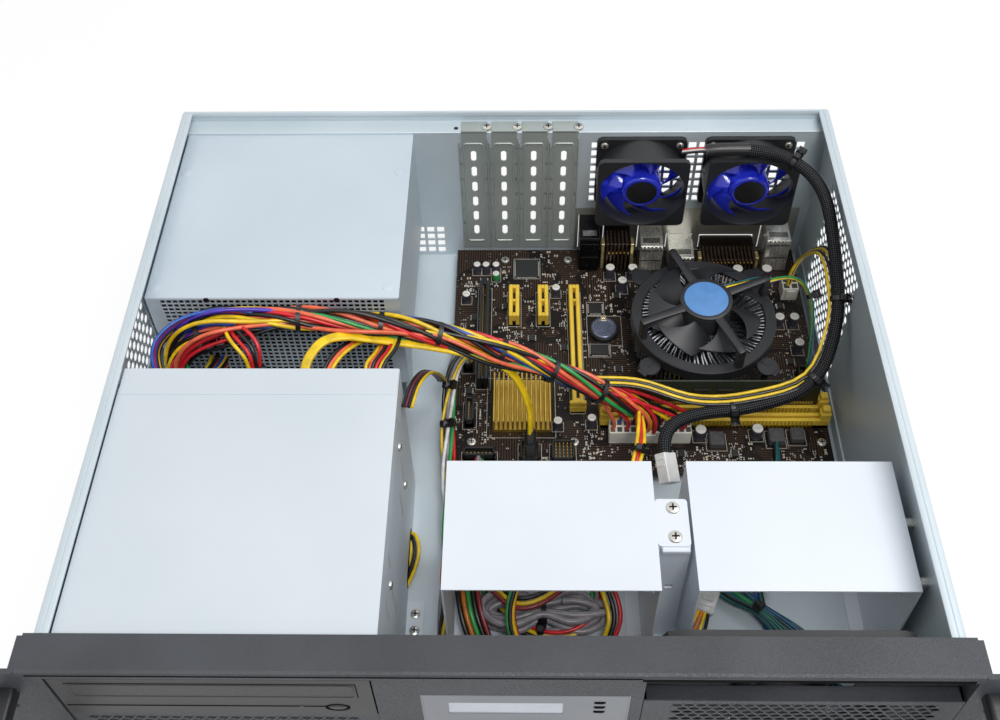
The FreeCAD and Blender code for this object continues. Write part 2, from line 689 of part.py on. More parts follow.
def make_bezel():
    """The moulded front: a rounded top lip, three bays, a status panel seat and a door recess."""
    bezel = new_body("bezel_frame")
    half = BEZEL_W / 2
    back = FRONT + LIP_D
    nose = LIP_ROUND * (1 - math.sqrt(0.5))
    pad(bezel, "YZ_Plane", -half, BEZEL_W, [
        (FRONT, 0), (FRONT, PANEL_H - LIP_ROUND), (FRONT + nose, PANEL_H - nose),
        (FRONT + LIP_ROUND, PANEL_H), (back, PANEL_H), (back, BODY_H), (STEEL, BODY_H), (STEEL, 0)])
    pad(bezel, "XZ_Plane", STEEL, LIP_D - BEZEL_D,
        rect((-half, LIP_T - half), (0, BODY_H)), rect((half - LIP_T, half), (0, BODY_H)))
    bay = BAY_W / 2
    pocket(bezel, "XZ_Plane", FRONT, BEZEL_D,
           rect((CAGE_MID - bay, CAGE_MID + bay), (FLOOR + GAUGE, CAGE_TOP)))
    pocket(bezel, "XZ_Plane", FRONT, DOOR_T + DOOR_GAP,
           rect((DOOR_LEFT, DOOR_RIGHT), (DOOR_RAIL, CAGE_TOP)))
    pocket(bezel, "XZ_Plane", FRONT, BEZEL_D, (FAN120_X, FAN120_Z, FAN120_HOLE - BEZEL_SIDE))
    edge = LIP_T
    pocket(bezel, "XZ_Plane", FRONT + FACE_T, BEZEL_D - FACE_T,
           rect((LCD_X + edge, LCD_X + LCD_W - edge), (BUTTON_Z - BUTTON_ROOM - edge, LCD_Z + LCD_H - edge)))
    pocket(bezel, "XZ_Plane", FRONT, LCD_T, rect((LCD_X, LCD_X + LCD_W), (LCD_Z, LCD_Z + LCD_H)))
    pocket(bezel, "XZ_Plane", FRONT, FACE_T,
           rect((WINDOW_X, WINDOW_X + WINDOW_W), (WINDOW_Z, WINDOW_Z + WINDOW_H)),
           *[key_span(i, KEY_GAP) for i in range(3)],
           (POWER_X, BUTTON_Z, POWER_R + KEY_GAP), (RESET_X, BUTTON_Z, RESET_R + KEY_GAP))
    hole = HINGE_R + RUN_FIT
    pocket(bezel, "YZ_Plane", DOOR_LEFT - BEZEL_SIDE, BEZEL_W / 2 - DOOR_LEFT + BEZEL_SIDE + GAUGE,
           (HINGE_Y, HINGE_Z, hole))


def make_ears():
    """Rack ears: a flange on each side of the bezel and a plate with two round-ended slots."""
    ears = []
    seat = BEZEL_W / 2
    flat = RACK_SLOT_L / 2 - RACK_SLOT_R
    through = (FRONT - GAUGE, FRONT + EAR_T + GAUGE)
    for side in (-1, 1):
        low, high = sorted((seat * side, (seat + EAR_T) * side), key=float)
        flange = box((low, high), (FRONT, FRONT + EAR_D), (0, PANEL_H))
        low, high = sorted(((seat + EAR_T) * side, PANEL_W / 2 * side), key=float)
        plate = box((low, high), (FRONT, FRONT + EAR_T), (0, PANEL_H))
        slots = []
        x = (PANEL_W / 2 - RACK_INSET) * side
        for row in (-0.5, 0.5):
            z = PANEL_H / 2 + RACK_PITCH * row
            ends = [rod(RACK_SLOT_R, EAR_T + 2 * GAUGE, x + flat * end, through[0], z, "Y")
                    for end in (-1, 1)]
            middle = box((x - flat, x + flat), through, (z - RACK_SLOT_R, z + RACK_SLOT_R))
            slots.append(fuse(*ends, middle))
        ears.append(cut(fuse(flange, plate), *slots))
    node("rack_ears", group(*ears))


def make_handle(label, side):
    """A bow handle of flat bar with bevelled corners, standing on a rack ear."""
    handle = new_body(label)
    inner_x = BEZEL_W / 2 + EAR_T + GRIP_EDGE
    left = inner_x if side > 0 else -inner_x - GRIP_T
    top = PANEL_H / 2 + GRIP_H / 2
    foot = PANEL_H / 2 - GRIP_H / 2
    tip = FRONT - GRIP_REACH
    inner = tip + GRIP_T
    bevel = GRIP_BEND - GRIP_T / 2
    pad(handle, "YZ_Plane", left, GRIP_T, [
        (FRONT, foot), (FRONT, foot + GRIP_T), (inner + bevel, foot + GRIP_T), (inner, foot + GRIP_T + bevel),
        (inner, top - GRIP_T - bevel), (inner + bevel, top - GRIP_T), (FRONT, top - GRIP_T), (FRONT, top),
        (tip + GRIP_BEND, top), (tip, top - GRIP_BEND), (tip, foot + GRIP_BEND), (tip + GRIP_BEND, foot)])


# Drive bays, optical drive and status panel

FACE_X = CAGE_MID - DRIVE_FACE_W / 2
DRIVE_Z = CAGE_TOP - GAUGE - FACE_INSET - BAY_H + BAY_GAP
DRIVE_TOP = DRIVE_Z + BAY_H - BAY_GAP
FACE_BACK = FRONT + FACE_INSET + DRIVE_FACE_D
TRAY_Z = DRIVE_TOP - TRAY_DROP - TRAY_H
EJECT_X = FACE_X + DRIVE_FACE_W - EJECT_SIDE
EJECT_Z = DRIVE_Z + EJECT_RISE


def make_drive_cage():
    """The cage for three wide drives: an inverted channel with a lowered rear strip and drive ledges."""
    cage = new_body("drive_cage")
    right = CAGE_X + CAGE_W
    start = STEEL + GAUGE
    main = CAGE_L - CAGE_STEP

    def channel(top):
        under = top - GAUGE
        return [(CAGE_X, FLOOR), (CAGE_X + GAUGE, FLOOR), (CAGE_X + GAUGE, under), (right - GAUGE, under),
                (right - GAUGE, FLOOR), (right, FLOOR), (right, top), (CAGE_X, top)]

    pad(cage, "XZ_Plane", start, main, channel(CAGE_TOP))
    pad(cage, "XZ_Plane", start + main, CAGE_STEP, channel(CAGE_TOP - GAUGE * STEP_SHARE))
    ledges = []
    reach = (CAGE_W - DRIVE_W) / 2 + LEDGE_W
    for y in (LEDGE_FRONT, LEDGE_FRONT + LEDGE_STEP):
        span = (start + y, start + y + LEDGE_L)
        ledges.append(rect((CAGE_X + GAUGE, CAGE_X + reach), span))
        ledges.append(rect((right - reach, right - GAUGE), span))
    pad(cage, "XY_Plane", DRIVE_Z - GAUGE, GAUGE, *ledges)
    foot = (start + CAGE_FOOT_Y, start + CAGE_FOOT_Y + LEDGE_L)
    pad(cage, "XY_Plane", FLOOR, GAUGE, rect((right, right + CAGE_FOOT_W), foot))


def make_optical_drive():
    """The tray drive: a hollow body, a front bezel with a tray mouth, the tray and the eject button."""
    left = CAGE_MID - DRIVE_W / 2
    right = CAGE_MID + DRIVE_W / 2
    shell = box((left, right), (FACE_BACK, FACE_BACK + DRIVE_L), (DRIVE_Z, DRIVE_TOP - FACE_INSET))
    half = TRAY_W / 2 + TRAY_GAP
    tray_back = FACE_BACK + TRAY_L + TRAY_GAP
    hollow = box((CAGE_MID - half, CAGE_MID + half), (FACE_BACK, tray_back),
                 (TRAY_Z - TRAY_GAP, TRAY_Z + TRAY_H + TRAY_GAP))
    eject_room = box((EJECT_X - EJECT_W / 2 - KEY_GAP, EJECT_X + EJECT_W / 2 + KEY_GAP),
                     (FACE_BACK, FACE_BACK + EJECT_H), (EJECT_Z - EJECT_H, EJECT_Z + EJECT_H))
    node("optical_drive", cut(shell, hollow, eject_room))

    face = new_body("optical_drive_bezel")
    front = FRONT + FACE_INSET
    pad(face, "XZ_Plane", front, DRIVE_FACE_D,
        rect((FACE_X, FACE_X + DRIVE_FACE_W), (DRIVE_Z, DRIVE_TOP)),
        rect((CAGE_MID - half, CAGE_MID + half), (TRAY_Z - TRAY_GAP, TRAY_Z + TRAY_H + TRAY_GAP)),
        rect((EJECT_X - EJECT_W / 2 - KEY_GAP, EJECT_X + EJECT_W / 2 + KEY_GAP),
             (EJECT_Z - EJECT_H / 2 - KEY_GAP, EJECT_Z + EJECT_H / 2 + KEY_GAP)))

    tray = new_body("optical_drive_tray")
    wide = TRAY_W / 2
    deck = wide - TRAY_WELL_D
    pad(tray, "XZ_Plane", front - TRAY_PROUD, DRIVE_FACE_D,
        rect((CAGE_MID - wide, CAGE_MID + wide), (TRAY_Z, TRAY_Z + TRAY_H)))
    deck_start = front - TRAY_PROUD + DRIVE_FACE_D
    pad(tray, "XZ_Plane", deck_start, FACE_BACK + TRAY_L - deck_start,
        rect((CAGE_MID - deck, CAGE_MID + deck), (TRAY_Z, TRAY_Z + TRAY_T)))
    well = (CAGE_MID, deck_start + TRAY_WELL_R + TRAY_WELL_D, TRAY_WELL_R)
    pocket(tray, "XY_Plane", TRAY_Z + TRAY_T - TRAY_WELL_D, TRAY_WELL_D, well)

    button = box((EJECT_X - EJECT_W / 2, EJECT_X + EJECT_W / 2), (front - TRAY_PROUD, FACE_BACK + GAUGE),
                 (EJECT_Z - EJECT_H / 2, EJECT_Z + EJECT_H / 2))
    node("eject_button", button)


def make_bay_covers():
    """Two perforated covers, with side clips, for the empty bays below the optical drive."""
    covers = []
    left, right = CAGE_MID - BAY_W / 2 + BAY_GAP, CAGE_MID + BAY_W / 2 - BAY_GAP
    middle = DRIVE_Z - BAY_H
    face = FRONT + COVER_INSET
    clip = LIP_T
    for low, high in ((middle, DRIVE_Z - BAY_GAP), (FLOOR + GAUGE + BAY_GAP, middle - BAY_GAP)):
        cover = doc.addObject("PartDesign::Body", "BayCover")
        pad(cover, "XZ_Plane", face, LIP_T, rect((left, right), (low, high)))
        pad(cover, "XZ_Plane", face + LIP_T, CLIP_D,
            rect((left, left + clip), (low + clip, high - clip)),
            rect((right - clip, right), (low + clip, high - clip)))
        cell = rect((left + BAY_CELL_EDGE, left + BAY_CELL_EDGE + BAY_CELL_W),
                    (low + BAY_CELL_RISE, low + BAY_CELL_RISE + BAY_CELL_H))
        hole = pocket(cover, "XZ_Plane", FRONT, COVER_INSET + LIP_T + GAUGE, cell)
        repeat(cover, hole, 5, BAY_CELL_PITCH, 2, BAY_CELL_RISE + BAY_CELL_H)
        covers.append(cover)
    node("bay_covers", group(*covers))


def make_status_panel():
    plate = new_body("status_panel")
    pad(plate, "XZ_Plane", FRONT, LCD_T,
        rect((LCD_X, LCD_X + LCD_W), (LCD_Z, LCD_Z + LCD_H)),
        rect((WINDOW_X, WINDOW_X + WINDOW_W), (WINDOW_Z, WINDOW_Z + WINDOW_H)),
        *[key_span(i, KEY_GAP) for i in range(3)])
    glass = box((WINDOW_X, WINDOW_X + WINDOW_W), (FRONT + BAY_GAP, FRONT + FACE_T),
                (WINDOW_Z, WINDOW_Z + WINDOW_H))
    node("display_window", glass)
    keyboard_y = FRONT + FACE_T + PLATE_EDGE
    edge = LIP_T
    board = box((LCD_X + 2 * edge, LCD_X + LCD_W - 2 * edge), (keyboard_y, keyboard_y + BOARD_T),
                (LCD_Z + edge, LCD_Z + LCD_H - 2 * edge))
    screen = box((WINDOW_X - edge, WINDOW_X + WINDOW_W + edge), (FRONT + FACE_T, keyboard_y),
                 (WINDOW_Z - edge, WINDOW_Z + WINDOW_H + edge))
    node("display_module", fuse(board, screen))
    for i, name in enumerate(KEY_NAMES):
        key = new_body(f"panel_key_{name}")
        start = FRONT - TRAY_PROUD
        pad(key, "XZ_Plane", start, keyboard_y - KEY_STROKE - start, key_span(i, 0))
    for label, x, radius in (("power_button", POWER_X, POWER_R), ("reset_button", RESET_X, RESET_R)):
        stem = rod(radius, BEZEL_D - PLATE_EDGE, x, FRONT - FACE_INSET, BUTTON_Z, "Y")
        node(label, stem)


# Fans

def make_fan_frame(label, side, depth, x, y, z, flanged):
    """A fan frame: a round duct between two flanges or in a square block, with a motor seat on arms."""
    frame = new_body(label)
    half = side / 2
    duct = half - FAN_WALL
    square = rect((-half, half), (-half, half))
    bore = (0, 0, duct)
    if flanged:
        pad(frame, "XY_Plane", 0, depth, (0, 0, half), bore)
        for at in (0, depth - FAN_PLATE):
            pad(frame, "XY_Plane", at, FAN_PLATE, square, (0, 0, duct + FAN_WALL / 2))
    else:
        pad(frame, "XY_Plane", 0, depth, square, bore)
    hub = half * HUB_SHARE
    pad(frame, "XY_Plane", 0, FAN_SEAT_T, (0, 0, hub))
    arm = rect((-FAN_WALL, FAN_WALL), (hub - FAN_WALL, duct + FAN_WALL / 2))
    turn_copies(frame, pad(frame, "XY_Plane", 0, FAN_SEAT_T, arm), 3)
    frame.Placement = FreeCAD.Placement(Vector(), FreeCAD.Rotation(Vector(1, 0, 0), 90))
    place(frame, x, y, z)


# Shares of a fan's sizes: hub and blade width to half side, blade rise to depth, and root width to tip width
BLADES = 7
HUB_SHARE = 0.42
CHORD_SHARE = 0.62
RISE_SHARE = 0.36
ROOT_SHARE = 0.75
TWIST_SHARES = (0.8, 0.6)


def blade_section(width, height, rise):
    """The slanting section of a blade, in the middle of the rotor's height."""
    low = (height - rise) / 2
    return [(-width / 2, low), (width / 2, low + rise - BLADE_T),
            (width / 2, low + rise), (-width / 2, low + BLADE_T)]


def make_rotor(label, tip, hub, height, chord, rises, x, y, z, turn):
    """A rotor: a capped hub and its blades, straight with one rise, or lofted from a root to a tip rise."""
    rotor = new_body(label)
    pad(rotor, "XY_Plane", 0, height, (0, 0, hub))
    root = as_dim(hub) - BLADE_ROOT
    reach = (as_dim(tip) * tip - as_dim(chord) * chord / 4).root()
    if len(rises) == 1:
        section = blade_section(chord * ROOT_SHARE, height, rises[0])
        blade = pad(rotor, "XZ_Plane", root, reach - root, section)
    else:
        sections = []
        for radius, rise, width in zip((root, reach), rises, (chord * ROOT_SHARE, chord)):
            sections.append(sketch_on(rotor, "XZ_Plane", radius))
            draw(sections[-1], blade_section(width, height, rise))
        blade = rotor.newObject("PartDesign::AdditiveLoft", "Blade")
        blade.Profile = sections[0]
        blade.Sections = [sections[1]]
        blade.Ruled = True
    turn_copies(rotor, blade, BLADES)
    rotor.Placement = FreeCAD.Placement(Vector(), turn)
    place(rotor, x, y, z)


FACE_FRONT = FreeCAD.Rotation(Vector(1, 0, 0), 90)


def make_case_fan(label, side, depth, back, x, z, flanged):
    """A fan whose motor seat is at its rear face, with its flat-bladed rotor ahead of the seat."""
    make_fan_frame(f"{label}_frame", side, depth, x, back, z, flanged)
    half = side / 2
    make_rotor(f"{label}_rotor", half - FAN_WALL - FAN_GAP, half * HUB_SHARE, depth - 2 * FAN_SEAT_T,
               half * CHORD_SHARE, [depth * RISE_SHARE], x, back - FAN_SEAT_T - SEAT_GAP, z, FACE_FRONT)


def make_fans():
    for name, x in zip(("left", "right"), REAR_FAN_X):
        make_case_fan(f"rear_fan_{name}", FAN60, FAN60_D, REAR_IN, x, FAN_Z, True)
    make_case_fan("front_fan", FAN120, FAN120_D, STEEL + GAUGE + FAN120_D, FAN120_X, FAN120_Z, False)
    make_case_fan("psu_fan", FAN80, FAN80_D, REAR_IN - GAUGE, PSU_FAN_X, PSU_FAN_Z, False)


def make_fan_door():
    """The perforated door: a shallow tray with a rounded foot and a trunnion at each end of it."""
    door = new_body("fan_door")
    left = DOOR_LEFT + DOOR_GAP
    right = DOOR_RIGHT - DOOR_GAP
    pad(door, "YZ_Plane", left, right - left,
        rect((FRONT, FRONT + DOOR_T), (HINGE_Z, DOOR_TOP)))
    pad(door, "YZ_Plane", left, right - left, (HINGE_Y, HINGE_Z, DOOR_T / 2))
    pocket(door, "XZ_Plane", FRONT + DOOR_WALL, DOOR_T,
           rect((left + DOOR_WALL, right - DOOR_WALL), (HINGE_Z + DOOR_T, DOOR_TOP - DOOR_WALL)))
    stub = LIP_T + DOOR_GAP - 2 * RUN_FIT
    pad(door, "YZ_Plane", left - stub, right - left + 2 * stub, (HINGE_Y, HINGE_Z, HINGE_R))
    corner = (left + DOOR_BORDER, HINGE_Z + DOOR_BORDER)
    cell = rect((corner[0], corner[0] + DOOR_CELL), (corner[1], corner[1] + DOOR_CELL))
    hole = pocket(door, "XZ_Plane", FRONT - GAUGE, DOOR_WALL + 2 * GAUGE, cell)
    repeat(door, hole, 5, DOOR_CELL_PITCH, 3, DOOR_CELL_PITCH)


# Hard-drive cages

def make_hdd_cage(label, x):
    """An open drive cage: an inverted channel on two turned-in feet, with screw slots in its sides."""
    cage = new_body(label)
    right = x + HDD_W
    top = FLOOR + HDD_H
    foot = FLOOR + GAUGE
    pad(cage, "XZ_Plane", HDD_Y, HDD_D, [
        (x, FLOOR), (x + HDD_FOOT, FLOOR), (x + HDD_FOOT, foot), (x + GAUGE, foot),
        (x + GAUGE, top - GAUGE), (right - GAUGE, top - GAUGE), (right - GAUGE, foot),
        (right - HDD_FOOT, foot), (right - HDD_FOOT, FLOOR), (right, FLOOR), (right, top), (x, top)])
    corner = (HDD_Y + HDD_SLOT_FRONT, top - HDD_SLOT_DROP)
    cell = rect((corner[0], corner[0] + HDD_SLOT_L), (corner[1], corner[1] + HDD_SLOT_H))
    slot = pocket(cage, "YZ_Plane", x - GAUGE, HDD_W + 2 * GAUGE, cell)
    repeat(cage, slot, 2, HDD_SLOT_PITCH)


def make_hdd_cages():
    left = HDD_X - HDD_PITCH
    make_hdd_cage("hdd_cage_left", left)
    make_hdd_cage("hdd_cage_right", HDD_X)
    gap = (left + HDD_W, HDD_X)
    top = FLOOR + HDD_H
    post = new_body("cage_post")
    front = HDD_Y + TAB_FRONT
    pad(post, "XY_Plane", top - GAUGE, GAUGE, rect(gap, (front, front + TAB_L)))
    pad(post, "XZ_Plane", front, GAUGE, rect((gap[0] + POST_GAP, gap[1] - POST_GAP), (FLOOR, top)))


# Power supply

PSU_FAN_X = PSU_X + PSU_W - PSU_FAN_SIDE - FAN80 / 2
PSU_FAN_Z = PSU_Z + PSU_H / 2
MODULE_H = INLET_RIM + ROCKER_H + INLET_STEP + INLET_H
MODULE_Z = PSU_Z + (PSU_H - MODULE_H) / 2
INLET_X = PSU_X + INLET_SIDE
INLET_Z = MODULE_Z + MODULE_H - INLET_H
ROCKER_X = INLET_X + INLET_W / 2
ROCKER_Z = MODULE_Z + INLET_RIM + ROCKER_H / 2
ROCKER_TILT = 9
PIVOT_Y = REAR_IN - INLET_RIM


def make_psu():
    """The supply: a tray with front and rear walls, a cover, the inlet and the rocker switch."""
    base = new_body("psu_base")
    right = PSU_X + PSU_W
    top = PSU_Z + PSU_H
    inner = (PSU_X + GAUGE, right - GAUGE)
    pad(base, "XY_Plane", PSU_Z, GAUGE, rect((PSU_X, right), (PSU_Y, REAR_IN)))
    pad(base, "XZ_Plane", PSU_Y, GAUGE, rect(inner, (PSU_Z, top - GAUGE)))
    pad(base, "XZ_Plane", REAR_IN - GAUGE, GAUGE, rect(inner, (PSU_Z, top - GAUGE)))
    corner = (PSU_X + INLET_SIDE, PSU_Z + 2 * PSU_SEAT)
    cell = rect((corner[0], corner[0] + PSU_CELL), (corner[1], corner[1] + PSU_CELL))
    vents = pocket(base, "XZ_Plane", PSU_Y - GAUGE, 3 * GAUGE, cell)
    repeat(base, vents, 5, PSU_CELL_PITCH, 3, PSU_CELL_PITCH)
    pocket(base, "XZ_Plane", REAR_IN - 2 * GAUGE, 3 * GAUGE,
           (PSU_FAN_X, PSU_FAN_Z, FAN80 / 2 - FAN_SEAT_T),
           rect((INLET_X, INLET_X + INLET_W), (MODULE_Z, INLET_Z + INLET_H)))

    cover = new_body("psu_cover")
    pad(cover, "XZ_Plane", PSU_Y, PSU_L, [
        (PSU_X, PSU_Z + GAUGE), (PSU_X + GAUGE, PSU_Z + GAUGE), (PSU_X + GAUGE, top - GAUGE),
        (right - GAUGE, top - GAUGE), (right - GAUGE, PSU_Z + GAUGE), (right, PSU_Z + GAUGE),
        (right, top), (PSU_X, top)])

    module = box((INLET_X, INLET_X + INLET_W), (REAR_IN - INLET_D, REAR_IN + INLET_PROUD),
                 (MODULE_Z, INLET_Z + INLET_H))
    past = REAR_IN + 2 * GAUGE
    socket = box((INLET_X + PIN_WALL, INLET_X + INLET_W - PIN_WALL), (past - SOCKET_D, past),
                 (INLET_Z + INLET_RIM, INLET_Z + INLET_H - INLET_RIM))
    half_w, half_h = ROCKER_W / 2, ROCKER_H / 2
    room_w, room_h = half_w + ROCKER_GAP, half_h + ROCKER_GAP
    well = box((ROCKER_X - room_w, ROCKER_X + room_w), (PIVOT_Y - half_h + GAUGE, past),
               (ROCKER_Z - room_h, ROCKER_Z + room_h))
    stub = INLET_RIM
    pin_start = ROCKER_X - half_w - stub - ROCKER_GAP
    pivot = rod(PIVOT_R + RUN_FIT, ROCKER_W + 2 * (stub + ROCKER_GAP), pin_start, PIVOT_Y, ROCKER_Z, "X")
    node("psu_inlet", cut(module, socket, fuse(well, pivot)))

    rocker = new_body("psu_switch")
    pad(rocker, "YZ_Plane", -half_w, ROCKER_W, [
        (-ROCKER_BACK, -ROCKER_BACK), (-ROCKER_BACK, ROCKER_BACK), (half_h / 2, half_h - ROCKER_TOE),
        (ROCKER_DIP, 0), (half_h / 2, ROCKER_TOE - half_h)])
    pad(rocker, "YZ_Plane", -half_w - stub, ROCKER_W + 2 * stub, (0, 0, PIVOT_R))
    tilt = FreeCAD.Rotation(Vector(1, 0, 0), ROCKER_TILT)
    rocker.Placement = FreeCAD.Placement(Vector(), tilt)
    place(rocker, ROCKER_X, PIVOT_Y, ROCKER_Z)

    bracket = new_body("psu_bracket")
    under = PSU_Z - GAUGE
    foot = FLOOR + GAUGE
    toe = BRACKET_TOE
    left_leg, right_leg = PSU_X + BRACKET_SIDE, right - BRACKET_SIDE
    pad(bracket, "XZ_Plane", PSU_Y + BRACKET_FRONT, BRACKET_L, [
        (left_leg, FLOOR), (left_leg + toe, FLOOR), (left_leg + toe, foot), (left_leg + GAUGE, foot),
        (left_leg + GAUGE, under), (right_leg - GAUGE, under), (right_leg - GAUGE, foot),
        (right_leg - toe, foot), (right_leg - toe, FLOOR), (right_leg, FLOOR),
        (right_leg, PSU_Z), (left_leg, PSU_Z)])


# Slot covers and fasteners

def make_slot_covers():
    covers = []
    for index in range(4):
        cover = doc.addObject("PartDesign::Body", "SlotCover")
        middle = slot_left(index) + SLOT_PITCH / 2
        span = (middle - SLOT_COVER_W / 2, middle + SLOT_COVER_W / 2)
        face = REAR_IN - COVER_T
        pad(cover, "XZ_Plane", face, COVER_T, rect(span, (BOARD_Z + GAUGE, LEDGE_Z + COVER_T)))
        pad(cover, "XZ_Plane", REAR_IN, RIM_D - 3 * GAUGE, rect(span, (LEDGE_Z, LEDGE_Z + COVER_T)))
        low = BOARD_Z + COVER_CUT_RISE
        cell = rect((middle - COVER_CUT_W / 2, middle + COVER_CUT_W / 2), (low, low + COVER_CUT_H))
        cuts = pocket(cover, "XZ_Plane", face - GAUGE, COVER_T + 2 * GAUGE, cell)
        repeat(cover, cuts, 1, 0, 6, COVER_CUT_PITCH)
        covers.append(cover)
    node("slot_covers", group(*covers))


def make_fasteners():
    """Hexagonal standoffs under the board, and the two spacers between a drive cage and the right wall."""
    pieces = [prism(6, STANDOFF_R, BOARD_LIFT, x, y, FLOOR) for x, y in HOLES]
    for y in SPACER_Y:
        pieces.append(rod(SPACER_R, HDD_SIDE, WALL_X - HDD_SIDE, HDD_Y + y, FLOOR + HDD_H - SPACER_DROP, "X"))
    node("standoffs_and_spacers", group(*pieces))


# Motherboard

CPU_X = BOARD_X + SOCKET_AT_X
CPU_Y = BOARD_Y + SOCKET_AT_Y
CORE_Z = BOARD_Z + SOCKET_H
FIN_TOP = CORE_Z + FIN_H
COOLER_FINS = 36
ARM_TURN = 23.5
PIN_TURN = 45 - ARM_TURN


def make_board():
    board = new_body("motherboard")
    pad(board, "XY_Plane", BOARD_Z - BOARD_T, BOARD_T,
        rect((BOARD_X, BOARD_X + BOARD_W), (BOARD_Y, BOARD_Y + BOARD_L)),
        *[(x, y, BOARD_HOLE) for x, y in HOLES])


def on_board(x, y, z, low=0):
    """A block on the board, from the board's front left corner."""
    return box((BOARD_X + x[0], BOARD_X + x[1]), (BOARD_Y + y[0], BOARD_Y + y[1]),
               (BOARD_Z + low, BOARD_Z + z))


def make_rear_ports():
    """The stacked rear connectors, and the stamped shield that they look out of."""
    port_front, port_rear = BOARD_L - PORT_D, BOARD_L + BOARD_REAR + PORT_OUT
    shield = new_body("io_shield")
    windows = []
    ports = []
    for left, right, top in PORT_STACKS:
        ports.append(on_board((left, right), (port_front, port_rear), top))
        windows.append(rect((BOARD_X + left - PORT_GAP, BOARD_X + right + PORT_GAP),
                            (BOARD_Z - PORT_GAP, BOARD_Z + top + PORT_GAP)))
    pad(shield, "XZ_Plane", REAR_IN + GAUGE / 4, GAUGE / 2, rect((IO_X, IO_X + IO_W), (IO_Z, IO_Z + IO_H)),
        *windows)
    node("io_ports", group(*ports))


def make_slots():
    """Card slots with a slit each, memory slots with raised ends, and one memory module."""
    bars = []
    half = CARD_SLOT_W / 2
    for x, start, stop in CARD_SLOTS:
        bar = on_board((x - half, x + half), (start, stop), CARD_SLOT_H)
        slit = on_board((x - CARD_SLIT / 2, x + CARD_SLIT / 2), (start + CARD_SLIT_END, stop - CARD_SLIT_END),
                        CARD_SLOT_H + GAUGE, CARD_SLIT_FLOOR)
        bars.append(cut(bar, slit))
    left, right = MEMORY_SPAN
    half = DIMM_W / 2
    for y in MEMORY_ROWS:
        bar = on_board((left, right), (y - half, y + half), DIMM_H)
        ends = [on_board((x, x + DIMM_END), (y - half, y + half), DIMM_END_H, DIMM_H)
                for x in (left, right - DIMM_END)]
        gap = on_board((left + DIMM_END, right - DIMM_END), (y - DIMM_SLIT / 2, y + DIMM_SLIT / 2),
                       DIMM_H + GAUGE, DIMM_FLOOR)
        bars.append(cut(fuse(bar, *ends), gap))
    node("board_slots", group(*bars))
    row = MEMORY_ROWS[1]
    back = row - MODULE_T / 2
    card = on_board((left + DIMM_END + MODULE_GAP, right - DIMM_END - MODULE_GAP), (back, back + MODULE_T),
                    MODULE_TOP, DIMM_FLOOR)
    chips = []
    for i in range(8):
        chip = left + CHIP_START + CHIP_PITCH * i
        chips.append(on_board((chip, chip + CHIP_W), (back - GAUGE, back), CHIP_HIGH, CHIP_LOW))
    node("memory_module", fuse(card, *chips))


# Left and right edges and height of each rear connector stack, from the board's left edge
PORT_STACKS = [(88, 102, 34), (106, 124, 30), (131, 147, 26), (152, 170, 14), (176, 214, 13), (219, 236, 32)]
# Middle, front end and rear end of each card slot
CARD_SLOTS = [(21, 65, 150), (41.6, 118, 146), (61.8, 118, 146), (83.5, 46, 146)]
MEMORY_SPAN = (97, 244)
MEMORY_ROWS = (37, 47)
# The battery's middle, the spans of the two power connectors and the chipset heatsink's corner
CELL_AT = (103.5, 112.5)
POWER_PLUGS = [((102.4, 154.4), (22, 32)), ((229, 240), (140, 151))]
SINK_AT = (28.4, 30)


def make_board_parts():
    """The socket, the battery, capacitors, chips, data ports and the two power connectors."""
    half = SOCKET_W / 2
    parts = [box((CPU_X - half, CPU_X + half), (CPU_Y - half, CPU_Y + half), (BOARD_Z, CORE_Z))]
    parts.append(rod(CELL_R, CELL_H, BOARD_X + CELL_AT[0], BOARD_Y + CELL_AT[1], BOARD_Z))
    for x, y, radius, tall in CAPACITORS:
        parts.append(prism(8, radius, tall, BOARD_X + x, BOARD_Y + y, BOARD_Z))
    for x, y in POWER_PLUGS:
        parts.append(on_board(x, y, PLUG_H))
    for x, y, w, d, tall in CHIPS:
        parts.append(on_board((x, x + w), (y, y + d), tall))
    node("board_parts", group(*parts))


# Place, radius and height of each can capacitor, from the board's front left corner
CAPACITORS = [
    (14.9, 166.6, 2.8, 9), (21.3, 166.6, 2.8, 9), (28.5, 166.6, 2.8, 9), (28.5, 160.5, 2.8, 6),
    (71.1, 145.8, 3.2, 8), (70.2, 34.5, 3.2, 8), (160.9, 27.2, 4, 9), (197, 28, 4, 9), (200.4, 160.7, 4, 11),
    (220.9, 160.7, 4, 11), (110, 162, 3.6, 11), (118, 150, 3.6, 11), (126, 162, 3.6, 11), (224, 118, 3.6, 10),
    (234, 118, 3.6, 10), (234, 96, 3.6, 10), (8, 140, 3.2, 8), (92, 36, 3.2, 9),
]
# Place, width, length and height of each chip, choke and port
CHIPS = [
    (42.7, 161.6, 16, 16, 1.4), (94, 128, 9, 9, 1.4), (166, 18, 10, 10, 6), (204, 20, 10, 10, 7),
    (218, 22, 9, 9, 6),
    (46, 6, 12, 14, 8), (66, 6, 14, 14, 8), (10, 34, 6, 18, 9), (10, 8, 20, 6, 9), (94, 92, 12, 8, 2),
    (8, 78, 6, 24, 9), (230, 60, 8, 18, 8),
]


